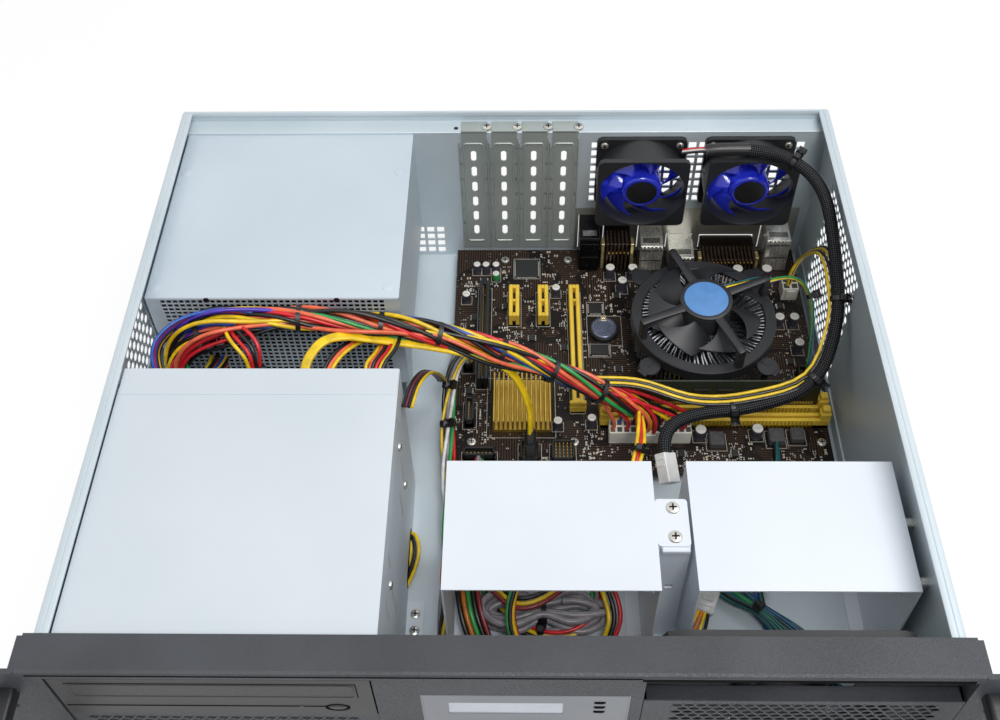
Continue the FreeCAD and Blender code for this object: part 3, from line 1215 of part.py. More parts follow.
def make_cooler():
    """The processor cooler: a core with thin radial fins, the rotor, and a hooped frame with arms over it."""
    sink = new_body("cooler_heatsink")
    pad(sink, "XY_Plane", 0, FIN_H, (0, 0, CORE_R))
    fin = pad(sink, "XY_Plane", FIN_FOOT, FIN_H - FIN_FOOT,
              rect((-FIN_T / 2, FIN_T / 2), (CORE_R - FIN_T, COOLER_R)))
    turn_copies(sink, fin, COOLER_FINS)
    place(sink, CPU_X, CPU_Y, CORE_Z)

    frame = new_body("cooler_fan_frame")
    hoop = COOLER_R + HOOP_T + HOOP_GAP
    pad(frame, "XY_Plane", FIN_H, HOOP_T, (0, 0, hoop), (0, 0, COOLER_FAN_R + HOOP_INSET))
    pad(frame, "XY_Plane", PIN_TOP, FIN_H - PIN_TOP, (0, 0, hoop), (0, 0, COOLER_R + HOOP_GAP))
    hub_level = FIN_H + ROTOR_LIFT + COOLER_FAN_H + SEAT_GAP
    pad(frame, "XY_Plane", hub_level, HOOP_T, (0, 0, CORE_R))
    half = ARM_W / 2
    arm = pad(frame, "XY_Plane", hub_level, HOOP_T, rect((-half, half), (CORE_R - HOOP_T, hoop - HOOP_GAP)))
    turn_copies(frame, arm, 4)
    leg = pad(frame, "XY_Plane", FIN_H, hub_level - FIN_H + HOOP_T,
              rect((-half, half), (COOLER_R - ARM_W, hoop - HOOP_GAP)))
    turn_copies(frame, leg, 4)
    pin = PIN_PITCH / math.sqrt(2)
    lead = math.radians(PIN_TURN)
    ahead, aside = math.cos(lead), math.sin(lead)
    tab = [(x * ahead - y * aside, x * aside + y * ahead)
           for x, y in rect((COOLER_R + HOOP_GAP, pin), (-half, half))]
    turn_copies(frame, pad(frame, "XY_Plane", PIN_TOP, HOOP_T, tab), 4)
    post = pad(frame, "XY_Plane", -SOCKET_H, SOCKET_H + PIN_TOP + 2 * HOOP_T,
               hexagon(pin * ahead, pin * aside, PIN_R))
    turn_copies(frame, post, 4)
    frame.Placement = FreeCAD.Placement(Vector(), FreeCAD.Rotation(Vector(0, 0, 1), ARM_TURN))
    place(frame, CPU_X, CPU_Y, CORE_Z)

    rises = [COOLER_FAN_H * share for share in TWIST_SHARES]
    make_rotor("cooler_rotor", COOLER_FAN_R, CORE_R, COOLER_FAN_H, COOLER_FAN_R * CHORD_SHARE, rises,
               CPU_X, CPU_Y, FIN_TOP + ROTOR_LIFT, FreeCAD.Rotation())

    chipset = new_body("chipset_heatsink")
    left, low = BOARD_X + SINK_AT[0], BOARD_Y + SINK_AT[1]
    run = (low, low + SINK_L)
    pad(chipset, "XY_Plane", BOARD_Z, SINK_BASE, rect((left, left + SINK_W), run))
    fin = pad(chipset, "XY_Plane", BOARD_Z + SINK_BASE, SINK_FIN_H, rect((left, left + CHIP_FIN_T), run))
    repeat(chipset, fin, SINK_FINS, (SINK_W - CHIP_FIN_T) / (SINK_FINS - 1))


# Cords: the radius, and points chosen along the real route

CORDS = {
    "main_power_bundle": (6, [
        (-178, 55.8, 60), (-178, 36, 60), (-197, 26, 84), (-182, 38, 113), (-135, 46, 116), (-78, 46.5, 110),
        (-22, 46, 94), (32, 40, 71.5), (74, 32, 50), (93, 32, 34), (93, 32, 22)]),
    "data_cable": (3, [
        (-111, -9.5, 106), (-111, 4, 106), (-109, 18, 112), (-84, 32, 109), (-42, 34, 98), (0, 30, 80),
        (17, 27, 52), (17, 18, 30), (17, 18, 17)]),
    "fan_lead": (4, [
        (144, 178.5, 123.4), (164, 178, 123.6), (184, 170, 124.5), (203, 148, 111), (207, 112, 88),
        (205, 72, 68), (188, 38, 51), (150, 28, 46), (114, 23, 47), (95, 7, 43), (90, -8, 38)]),
    "drive_lead": (3, [(84.3, 25.5, 44), (84.5, 9, 47), (79, -12, 43), (71, -34, 31), (66, -52, 19)]),
    "panel_lead": (3, [
        (-24.4, 88, 18), (-24.4, 88, 29), (-33, 66, 32), (-41, 26, 14), (-41, -20, 4.6), (-42, -72, 4.6),
        (-36, -122, 13), (-15, -150, 45), (-3, -151, 74), (-3, -165.9, 74)]),
    "cooler_lead": (1.8, [
        (174.7, 121.9, 58), (184, 126, 58), (199, 131, 50), (207, 120, 40), (206, 104, 32), (203, 90, 29),
        (198.6, 74, 28), (198.6, 74, 17)]),
    "front_fan_lead": (3, [
        (173.6, 25, 12.5), (173.6, 11, 12.5), (166, -10, 11), (152, -42, 4.8), (148, -84, 4.6),
        (166, -118, 6), (192, -130, 10), (192, -146, 10)]),
    "cage_lead": (3.5, [
        (-15, 13, 13.5), (-15, -1, 13.5), (-18, -24, 6.4), (-16, -58, 5.4), (2, -92, 5.6), (36, -103, 8),
        (60, -82, 13), (42, -56, 18), (12, -62, 20), (2, -94, 22), (14, -128, 36), (21, -150, 60),
        (21, -151, 80), (21, -165.9, 80)]),
}
CORD_SIDES = 6


def rounded_route(points):
    """Straight runs joined by tangent arcs, each as large as its two runs allow."""
    share = 0.45
    corners = [Vector(*point) for point in points]
    edges, radii = [], []
    last = corners[0]
    for before, corner, after in zip(corners, corners[1:], corners[2:]):
        back = before - corner
        ahead = after - corner
        setback = share * min(back.Length, ahead.Length)
        back.normalize()
        ahead.normalize()
        half_turn = (math.pi - back.getAngle(ahead)) / 2
        radius = setback / math.tan(half_turn)
        inward = back + ahead
        inward.normalize()
        start, stop = corner + back * setback, corner + ahead * setback
        middle = corner + inward * (radius / math.cos(half_turn) - radius)
        edges.append(Part.LineSegment(last, start).toShape())
        edges.append(Part.Arc(start, middle, stop).toShape())
        radii.append(radius)
        last = stop
    edges.append(Part.LineSegment(last, corners[-1]).toShape())
    return Part.Wire(edges), radii


def make_cords():
    """Each cord is a plain tube along its route, measured against its section times its length."""
    for label, (radius, points) in CORDS.items():
        route, radii = rounded_route(points)
        start = Vector(*points[0])
        facing = FreeCAD.Rotation(Vector(0, 0, 1), Vector(*points[1]) - start)
        angles = [math.tau * i / CORD_SIDES for i in range(CORD_SIDES + 1)]
        ring = [Vector(radius * math.cos(a), radius * math.sin(a), 0) for a in angles]
        section = Part.makePolygon([start + facing.multVec(point) for point in ring])
        tube = route.makePipeShell([section], True, False)
        expected = Part.Face(section).Area * route.Length
        print(label, "length", round(route.Length), "volume ratio", round(tube.Volume / expected, 4),
              "radii", [round(value) for value in radii])
        feature = doc.addObject("Part::Feature", label)
        feature.Shape = tube
        feature.Placement = FreeCAD.Placement()
        node(label, feature)


def build():
    make_floor()
    make_walls()
    make_rear_panel()
    make_front_plate()
    make_bezel()
    make_ears()
    for side, name in ((-1, "left"), (1, "right")):
        make_handle(f"handle_{name}", side)
    make_drive_cage()
    make_optical_drive()
    make_bay_covers()
    make_status_panel()
    make_fan_door()
    make_fans()
    make_hdd_cages()
    make_psu()
    make_slot_covers()
    make_fasteners()
    make_board()
    make_rear_ports()
    make_slots()
    make_board_parts()
    make_cooler()
    make_cords()
    doc.recompute()


def check():
    """Stop if any object failed, or a cut removed nothing."""
    for obj in doc.Objects:
        bad = [word for word in obj.State if word in ("Invalid", "Error")]
        if bad:
            raise RuntimeError(f"{obj.Name} ({obj.Label}) failed: {obj.getStatusString()}")
        if obj.TypeId == "PartDesign::Pocket":
            if obj.Shape.Volume >= obj.BaseFeature.Shape.Volume:
                raise RuntimeError(f"{obj.Name} cuts nothing")
    for obj in nodes:
        if obj.Shape.isNull() or not obj.Shape.isValid():
            raise RuntimeError(f"{obj.Label} has no valid shape")


def write():
    os.makedirs("parts", exist_ok=True)
    for obj in nodes:
        obj.Shape.exportStep(f"parts/{obj.Label}.step")


build()
check()
write()
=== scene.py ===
"""Looks of an open rack server, three units high: sheet metal, moulded front, fans, board and wiring.

Sizes are millimetres in the server's own frame: +X right seen from the front, +Y to the rear, +Z up.
"""
import logging
import math
from dataclasses import dataclass, field
from enum import Enum

import bmesh
import bpy
import numpy as np
from mathutils import Matrix, Vector


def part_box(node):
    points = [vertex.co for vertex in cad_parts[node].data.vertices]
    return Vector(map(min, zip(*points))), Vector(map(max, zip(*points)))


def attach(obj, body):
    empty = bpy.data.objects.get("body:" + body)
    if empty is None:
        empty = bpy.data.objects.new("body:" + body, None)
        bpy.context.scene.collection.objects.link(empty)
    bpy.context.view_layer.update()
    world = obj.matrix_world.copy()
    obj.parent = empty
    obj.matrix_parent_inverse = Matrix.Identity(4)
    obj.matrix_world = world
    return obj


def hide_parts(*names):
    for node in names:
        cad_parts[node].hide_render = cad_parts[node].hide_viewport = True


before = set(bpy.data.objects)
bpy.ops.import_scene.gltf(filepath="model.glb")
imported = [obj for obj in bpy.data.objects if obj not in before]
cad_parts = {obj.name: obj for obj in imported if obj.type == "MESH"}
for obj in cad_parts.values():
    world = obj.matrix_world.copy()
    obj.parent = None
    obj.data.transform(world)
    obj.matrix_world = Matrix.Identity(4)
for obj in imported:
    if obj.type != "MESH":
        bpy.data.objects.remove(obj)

Array = np.ndarray
Pair = tuple[float, float]
Point = tuple[float, float, float]
Box = tuple[float, float, float, float]
Tree = bpy.types.NodeTree
Socket = bpy.types.NodeSocket
Object = bpy.types.Object
MM = 0.001
ORIGIN = (0.0, 0.0, 0.0)
QUARTER = math.pi / 2
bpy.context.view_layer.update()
log = logging.getLogger("rack_server")


# Surfaces

@dataclass
class Surface:
    """A mesh in the making: points in millimetres, arrays of faces, and two values for every point.

    tint is a linear colour, and weave holds lengths in millimetres along and round a cord.
    """

    points: Array
    faces: list[Array]
    tint: Array | None = None
    weave: Array | None = None

    def painted(self, colour: str) -> "Surface":
        """Give every point one sRGB colour."""
        self.tint = np.tile(np.array(srgb(colour)), (len(self.points), 1))
        return self

    def moved(self, offset: Array) -> "Surface":
        """Return the surface shifted by an offset."""
        return Surface(self.points + np.asarray(offset, float), self.faces, self.tint, self.weave)

    def turned(self, axis: str, angle: float) -> "Surface":
        """Return the surface turned about an axis through the origin, by an angle in radians."""
        spin = np.array(Matrix.Rotation(angle, 3, axis))
        return Surface(self.points @ spin.T, self.faces, self.tint, self.weave)

    def spread(self, count: int, start: float) -> "Surface":
        """Repeat the surface evenly round the Z axis, from a starting angle."""
        return join(*[self.turned("Z", start + math.tau / count * i) for i in range(count)])


def srgb(code: str) -> tuple[float, float, float, float]:
    """Turn an sRGB hex colour into linear values by the standard's two-part curve.

    Args:
        code: the colour, such as #FFFFFF.

    Returns:
        The linear red, green and blue, and an alpha of one.
    """
    channel = np.array([int(code[i:i + 2], 16) for i in (1, 3, 5)]) / 255
    linear = np.where(channel <= 0.04045, channel / 12.92, ((channel + 0.055) / 1.055) ** 2.4)
    return (*linear.tolist(), 1.0)


def xyz(x: Array | float, y: Array | float, z: Array | float) -> Array:
    """Put three coordinates together, each an array or one number for all points."""
    return np.stack(np.broadcast_arrays(x, y, z), axis=-1).astype(float)


def rays(count: int, start: float = 0.0) -> Array:
    """Directions spaced evenly round a circle: (cos a, sin a)."""
    angle = np.linspace(0, math.tau, count, endpoint=False) + start
    return np.stack([np.cos(angle), np.sin(angle)], axis=-1)


def join(*parts: Surface) -> Surface:
    """Put surfaces into one, with each part's face numbers moved past the points before it.

    Args:
        parts: the surfaces.

    Returns:
        One surface.
    """
    starts = np.cumsum([0] + [len(part.points) for part in parts[:-1]])
    faces = [rows + start for part, start in zip(parts, starts) for rows in part.faces]

    def gathered(name: str, width: int) -> Array | None:
        """Stack one value of every part, with zeros where a part has none.

        Args:
            name: which value.
            width: how many numbers it has for one point.

        Returns:
            The stacked values, or None where no part has any.
        """
        values = [getattr(part, name) for part in parts]
        if all(value is None for value in values):
            return None
        return np.concatenate([np.zeros((len(part.points), width)) if value is None else value
                               for part, value in zip(parts, values)])

    points = np.concatenate([part.points for part in parts])
    return Surface(points, faces, gathered("tint", 4), gathered("weave", 3))


def loft(rings: Array, cap: bool = True, ring: bool = False) -> Surface:
    """Skin rows of closed sections.

    The surface is P(i, j): station i along the path and corner j round the section, where j wraps.

    Args:
        rings: points shaped (skins, stations, corners, 3), or without the first axis for one skin.
        cap: whether the end sections are closed with a face.
        ring: whether the last station joins the first.

    Returns:
        The skins as one surface.
    """
    steps, corners_round = rings.shape[-3:-1]
    points = rings.reshape(-1, 3)
    index = np.arange(len(points)).reshape(-1, steps, corners_round)
    here = index if ring else index[:, :-1]
    ahead = np.roll(index, -1, axis=1) if ring else index[:, 1:]
    side = np.stack([here, np.roll(here, -1, axis=2), np.roll(ahead, -1, axis=2), ahead], axis=-1)
    faces = [side.reshape(-1, 4)]
    if cap and not ring:
        faces += [index[:, 0, ::-1], index[:, -1]]
    return Surface(points, faces)


def tiers(axis: int, *rows: tuple[Array, float]) -> Array:
    """Set flat outlines at levels on an axis, one above the other, as stations for a loft."""
    return np.stack([np.insert(outline, axis, level, axis=1) for outline, level in rows])


def lathe(profile: list[Pair], centre: Point = ORIGIN, axis: str = "Z", sides: int = 32) -> Surface:
    """Turn a profile of (radius, height) about an axis: P(i, a) = (r cos a, r sin a, h) of row i.

    Args:
        profile: rows of radius and height.
        centre: where the profile's origin lies.
        axis: the axis that it is turned about.
        sides: how many facets it has.

    Returns:
        The turned surface, with flat ends.
    """
    radius, height = np.array(profile, float).T[:, :, None, None]
    rings = np.concatenate([radius * rays(sides), np.broadcast_to(height, (len(profile), sides, 1))], axis=-1)
    order = {"X": [2, 0, 1], "Y": [1, 2, 0], "Z": [0, 1, 2]}[axis]
    return loft(rings[..., order] + np.asarray(centre, float))


def slab_template() -> tuple[Array, Array, list[Array]]:
    """Work out the corners of a block with its edges cut off.

    Each corner of a cube has three points, one on each of its faces. The bits of a corner's number tell
    on which side of the middle it lies.

    Returns:
        The corner signs, a mask of the axes that are drawn in by the cut, and the faces.
    """
    bits = np.array([[number >> shift & 1 for shift in (2, 1, 0)] for number in range(8)])
    sides, edges = [], []
    for axis in range(3):
        first, second = (axis + 1) % 3, (axis + 2) % 3
        step, u, v = (4 >> direction for direction in (axis, first, second))
        for far in (0, 1):
            loop = [(far * step + corner) * 3 + axis for corner in (0, u, u + v, v)]
            sides.append(loop if far else loop[::-1])
            for other in (0, 1):
                a = (far * u + other * v) * 3
                b = a + step * 3
                loop = [a + first, a + second, b + second, b + first]
                edges.append(loop if far == other else loop[::-1])
    tips = [[3 * c, 3 * c + 1, 3 * c + 2][::1 if c.bit_count() % 2 else -1] for c in range(8)]
    drawn = 1 - np.tile(np.eye(3, dtype=int), (8, 1))
    return np.repeat(bits * 2 - 1, 3, axis=0), drawn, [np.array(loops) for loops in (sides, edges, tips)]


SLAB = slab_template()


def slabs(low: Array, high: Array, chamfer: float = 0.3) -> Surface:
    """Make blocks with cut edges, from rows of low and high corners.

    A point is the middle plus its sign times the half size, less the chamfer on the axes it doesn't face.

    Args:
        low: each block's low corner.
        high: each block's high corner.
        chamfer: how much is cut off the edges.

    Returns:
        The blocks.
    """
    low, high = np.atleast_2d(np.asarray(low, float)), np.atleast_2d(np.asarray(high, float))
    signs, drawn, faces = SLAB
    half = (high - low) / 2
    trim = np.minimum(chamfer, half.min(axis=1) * 0.6)[:, None, None]
    points = ((low + high) / 2)[:, None] + signs * (half[:, None] - drawn * trim)
    shift = np.arange(len(low))[:, None, None] * len(signs)
    return Surface(points.reshape(-1, 3), [(rows + shift).reshape(-1, rows.shape[1]) for rows in faces])


def bricks(low: Array, size: Point, chamfer: float, colour: str) -> Surface:
    """Make blocks of one size and colour, from their low corners."""
    return slabs(low, np.asarray(low) + size, chamfer).painted(colour)


def oriented(flat: Array, depth: Array, plane: str) -> Array:
    """Place flat points and a depth in space: plane names the two axes that the flat points use."""
    order = {"XZ": [0, 2, 1], "YZ": [2, 0, 1], "XY": [0, 1, 2]}[plane]
    return np.concatenate([flat, depth[..., None]], axis=-1)[..., order]


def sheet(span: Pair, height: Pair, holes: list[Box], depth: Pair, plane: str) -> Surface:
    """Cut rectangular holes in a flat sheet.

    The holes' edges cut the sheet into cells. A kept cell has a face on each side, and a wall stands wherever
    a kept cell meets one that isn't kept.

    Args:
        span: the sheet's ends along the plane's first axis.
        height: its ends along the second axis.
        holes: each hole's low and high edge on the first axis, then on the second.
        depth: where the two sides lie on the third axis.
        plane: the two axes of the sheet, such as "XZ".

    Returns:
        A closed sheet, whose faces are turned outwards when it is sealed.
    """
    edges = np.array(holes, float)
    across = np.unique(np.round(np.concatenate([span, edges[:, :2].ravel()]), 4))
    along = np.unique(np.round(np.concatenate([height, edges[:, 2:].ravel()]), 4))
    u, v = ((lines[1:] + lines[:-1])[None] / 2 for lines in (across, along))
    inside = ((u > edges[:, :1]) & (u < edges[:, 1:2]))[:, :, None]
    inside = inside & ((v > edges[:, 2:3]) & (v < edges[:, 3:]))[:, None]
    keep = ~inside.any(axis=0)
    index = np.arange(2 * len(across) * len(along)).reshape(2, len(across), len(along))
    flat = np.stack(np.meshgrid(across, along, indexing="ij"), axis=-1).reshape(-1, 2)
    points = np.concatenate([oriented(flat, np.full(len(flat), float(d)), plane) for d in depth])
    below, above = index
    cells = [np.stack([side[:-1, :-1], side[1:, :-1], side[1:, 1:], side[:-1, 1:]], axis=-1)[keep]
             for side in index]
    padded = np.pad(keep, 1)
    cross = padded[1:, 1:-1] != padded[:-1, 1:-1]
    rise = padded[1:-1, 1:] != padded[1:-1, :-1]
    walls = [np.stack([below[:, :-1], below[:, 1:], above[:, 1:], above[:, :-1]], axis=-1)[cross],
             np.stack([below[:-1], below[1:], above[1:], above[:-1]], axis=-1)[rise]]
    faces = np.concatenate([cells[0][:, ::-1], cells[1], *walls])
    used, compact = np.unique(faces, return_inverse=True)
    return Surface(points[used], [compact.reshape(-1, 4)])


def hole_grid(start: Pair, cell: float, pitch: float, columns: int, rows: int) -> list[Box]:
    """List the edges of a grid of square holes."""
    u, v = (grid.ravel() for grid in np.meshgrid(start[0] + pitch * np.arange(columns),
                                                 start[1] + pitch * np.arange(rows)))
    return list(zip(u, u + cell, v, v + cell))


def punched(centres: Array, pitch: Pair, outline: Array, depth: Pair, plane: str) -> Surface:
    """Tile cells that have one round or oval hole each.

    Corner j of the cell's edge lies where the ray at the hole's own angle j meets the cell's rectangle.

    Args:
        centres: the middle of each cell, shaped (cells, 2).
        pitch: the width and height of a cell.
        outline: the hole's edge, evenly spaced in angle, a multiple of eight points.
        depth: where the two sides lie on the third axis.
        plane: the two axes of the sheet.

    Returns:
        The cells, open along their outer edges, where they meet each other or a frame.
    """
    ray = rays(len(outline))
    reach = np.min(np.asarray(pitch) / 2 / np.maximum(np.abs(ray), 1e-9), axis=-1)
    edge = ray * reach[:, None]
    flat = np.asarray(centres)[:, None, None] + np.stack([edge, outline, outline, edge])[None]
    level = np.array([depth[1], depth[1], depth[0], depth[0]], float)[None, :, None]
    surface = loft(oriented(flat, np.broadcast_to(level, flat.shape[:-1]), plane), cap=False)
    surface.faces = [rows[:, ::-1] for rows in surface.faces]
    return surface


def staggered(area: Box, pitch: Pair, outline: Array, depth: Pair, plane: str) -> Surface:
    """Fill an area with holes in staggered rows, and close the half cells at the ends of the rows.

    Args:
        area: the low and high edge on the plane's first axis, then on the second.
        pitch: the distance between holes in a row and between rows, fitted to the area.
        outline: the edge of one hole.
        depth: where the two sides of the sheet lie.
        plane: the two axes of the sheet.

    Returns:
        The perforated area.
    """
    left, right, bottom, top = area
    columns, rows = int((right - left) / pitch[0] - 0.5), int((top - bottom) / pitch[1])
    width, tall = (right - left) / (columns + 0.5), (top - bottom) / rows
    row, column = (grid.ravel() for grid in np.meshgrid(np.arange(rows), np.arange(columns), indexing="ij"))
    shift = (row % 2) * 0.5
    centres = np.stack([left + width * (column + 0.5 + shift), bottom + tall * (row + 0.5)], axis=-1)
    level = np.arange(rows)
    start = np.where(level % 2 == 0, right - width / 2, left)
    low, high = (
        oriented(np.stack([start + out, bottom + tall * (level + up)], axis=-1), np.full(rows, side), plane)
        for out, up, side in ((0, 0, depth[0]), (width / 2, 1, depth[1])))
    return join(punched(centres, (width, tall), outline, depth, plane), slabs(low, high, 0.0))


def oval(width: float, height: float, count: int = 16) -> Array:
    """An ellipse by angle: (w/2 cos a, h/2 sin a)."""
    return rays(count) * (width / 2, height / 2)


def obround(width: float, height: float, count: int = 32) -> Array:
    """A slot with round ends: a small circle pushed apart along the longer axis.

    Args:
        width: its width.
        height: its height.
        count: how many points it has.

    Returns:
        The outline.
    """
    ray = rays(count, 1e-6)
    radius = min(width, height) / 2
    return ray * radius + np.sign(ray) * (np.array([width, height]) / 2 - radius)


def rounded_rectangle(width: float, height: float, corner: float, count: int = 48) -> Array:
    """Move the four quarters of a circle apart to the corners of a rectangle."""
    ray = rays(count, math.pi / count)
    return corner * ray + np.sign(ray) * (np.array([width, height]) / 2 - corner)


def rounded_square(half: float, corner: float, count: int = 96) -> Array:
    """A square with round corners by angle: the ray's length is the least that stays in the outline.

    Args:
        half: half of its side.
        corner: the radius of its corners.
        count: how many points it has.

    Returns:
        The outline.
    """
    ray = rays(count)
    flat = half / np.max(np.abs(ray), axis=-1)
    inner = half - corner
    mix = np.abs(ray).sum(axis=-1) * inner
    arc = mix + np.sqrt(np.maximum(mix ** 2 - 2 * inner ** 2 + corner ** 2, 0))
    in_corner = (np.abs(ray) * flat[:, None] > inner).all(axis=-1)
    return ray * np.where(in_corner, arc, flat)[:, None]


def edge_ring(outline: Array, width: float, height: float, level: float, plane: str) -> Surface:
    """Raise a rib along a closed outline: base, crest and base across it, at each point of the outline.

    Args:
        outline: the line that the rib follows.
        width: its width.
        height: its height, below zero for a groove.
        level: where its foot lies.
        plane: the two axes of the outline.

    Returns:
        The rib.
    """
    along = np.roll(outline, -1, axis=0) - np.roll(outline, 1, axis=0)
    out = np.stack([along[:, 1], -along[:, 0]], axis=-1) / np.linalg.norm(along, axis=1, keepdims=True)
    share = np.array([0.5, 0.25, -0.25, -0.5]) * width
    rise = np.array([0.0, 1.0, 1.0, 0.0]) * height + level
    flat = outline[:, None] + out[:, None] * share[None, :, None]
    return loft(oriented(flat, np.broadcast_to(rise, flat.shape[:-1]), plane), ring=True)


def stations(line: Array) -> tuple[Array, Array, Array]:
    """Carry a frame along a line without twist, each normal being the last one laid into the next plane.

    Args:
        line: points along the line.

    Returns:
        The tangent, normal and side direction at every point.
    """
    ahead = np.gradient(line, axis=0)
    tangent = ahead / np.linalg.norm(ahead, axis=1, keepdims=True)
    normals = []
    seed = np.array([0.0, 0.0, 1.0]) if abs(tangent[0, 2]) < 0.9 else np.array([0.0, 1.0, 0.0])
    for direction in tangent:
        seed = seed - direction * (seed @ direction)
        seed = seed / np.linalg.norm(seed)
        normals.append(seed)
    normal = np.array(normals)
    return tangent, normal, np.cross(tangent, normal)


def fitted(block: Surface, line: Array, at: int = -1) -> Surface:
    """Turn a block from its own axes to the tangent, normal and side of a line, and move it to that point."""
    basis = np.stack([rows[at] for rows in stations(line)])
    return Surface(block.points @ basis + line[at], block.faces, block.tint)


def travelled(line: Array) -> Array:
    """The length of a line up to each of its points."""
    return np.concatenate([[0], np.cumsum(np.linalg.norm(np.diff(line, axis=0), axis=1))])


def part_of(line: Array, shares: Array) -> Array:
    """The points that lie at shares of a line's length."""
    along = travelled(line)
    return np.stack([np.interp(shares * along[-1], along, line[:, axis]) for axis in range(3)], axis=-1)


def swept(line: Array, section: Array, offset: Array | None = None) -> Surface:
    """Carry a section along a line: P(i, j) = line i + a N + b B, with (a, b) the section's corner j.

    Args:
        line: points along the line, which the frame follows.
        section: the section's corners.
        offset: how far the section's middle lies from the line at each of its points.

    Returns:
        The surface, with the length along and round it in its weave.
    """
    _, normal, side = stations(line)
    local = section[None] + (0.0 if offset is None else offset[:, None])
    local = np.broadcast_to(local, (len(line), *section.shape))
    surface = loft(line[:, None] + local[..., :1] * normal[:, None] + local[..., 1:] * side[:, None])
    girth = np.linalg.norm(section - np.roll(section, 1, axis=0), axis=1)
    surface.weave = xyz(travelled(line)[:, None], np.cumsum(girth), 0.0).reshape(-1, 3)
    return surface


def strand(line: Array, colour: str, radius: float, offset: Array | None = None) -> Surface:
    """Make one round strand along a line, or beside it."""
    return swept(line, oval(2 * radius, 2 * radius, 8), offset).painted(colour)


def smooth_line(points: Array, count: int) -> Array:
    """Pass a smooth line through points: between two, the cubic whose slopes follow their neighbours.

    Args:
        points: the points that it passes.
        count: how many points it gets.

    Returns:
        The line.
    """
    points = np.asarray(points, float)
    slope = np.gradient(points, axis=0)
    place = np.linspace(0, len(points) - 1, count)
    index = np.minimum(place.astype(int), len(points) - 2)
    t = (place - index)[:, None]
    return ((2 * t ** 3 - 3 * t ** 2 + 1) * points[index] + (t ** 3 - 2 * t ** 2 + t) * slope[index]
            + (3 * t ** 2 - 2 * t ** 3) * points[index + 1] + (t ** 3 - t ** 2) * slope[index + 1])


# Materials

def add_node(tree: Tree, kind: str, settings: dict | None = None) -> bpy.types.Node:
    """Add a shader node.

    Args:
        tree: the material's node tree.
        kind: the node's type, without the word for shader nodes.
        settings: properties and inputs by name, inputs also by number. A socket is linked, a value is set.

    Returns:
        The new node.
    """
    node = tree.nodes.new("ShaderNode" + kind)
    for key, value in (settings or {}).items():
        if isinstance(value, Socket):
            tree.links.new(value, node.inputs[key])
        elif isinstance(key, int) or key in node.inputs:
            node.inputs[key].default_value = value
        else:
            setattr(node, key, value)
    return node


def compute(tree: Tree, operation: str, *terms: Socket | float) -> Socket:
    """Add one step of arithmetic on sockets and numbers."""
    return add_node(tree, "Math", {"operation": operation, **dict(enumerate(terms))}).outputs["Value"]


def remap(tree: Tree, value: Socket, old: Pair = (0.0, 1.0), new: Pair = (0.0, 1.0)) -> Socket:
    """Stretch a range of values to a new one."""
    ends = {"From Min": old[0], "From Max": old[1], "To Min": new[0], "To Max": new[1]}
    return add_node(tree, "MapRange", {"Value": value, **ends}).outputs["Result"]


def blend(tree: Tree, share: Socket | float, first: Socket | tuple, second: Socket | tuple,
          kind: str = "MIX") -> Socket:
    """Mix two colours, each a socket or a value."""
    settings = {"data_type": "RGBA", "blend_type": kind, 0: share, 6: first, 7: second}
    return add_node(tree, "Mix", settings).outputs[2]


def noise(tree: Tree, place: Socket, size: float, detail: float) -> Socket:
    """Draw noise whose spots have a size in millimetres."""
    settings = {"Scale": 1 / (size * MM), "Detail": detail, "Vector": place}
    return add_node(tree, "TexNoise", settings).outputs["Fac"]


class Relief(Enum):
    """How the grain of a surface is drawn."""

    GRIT = "grit"
    ROLLED = "rolled"
    BRAID = "braid"
    TRACES = "traces"


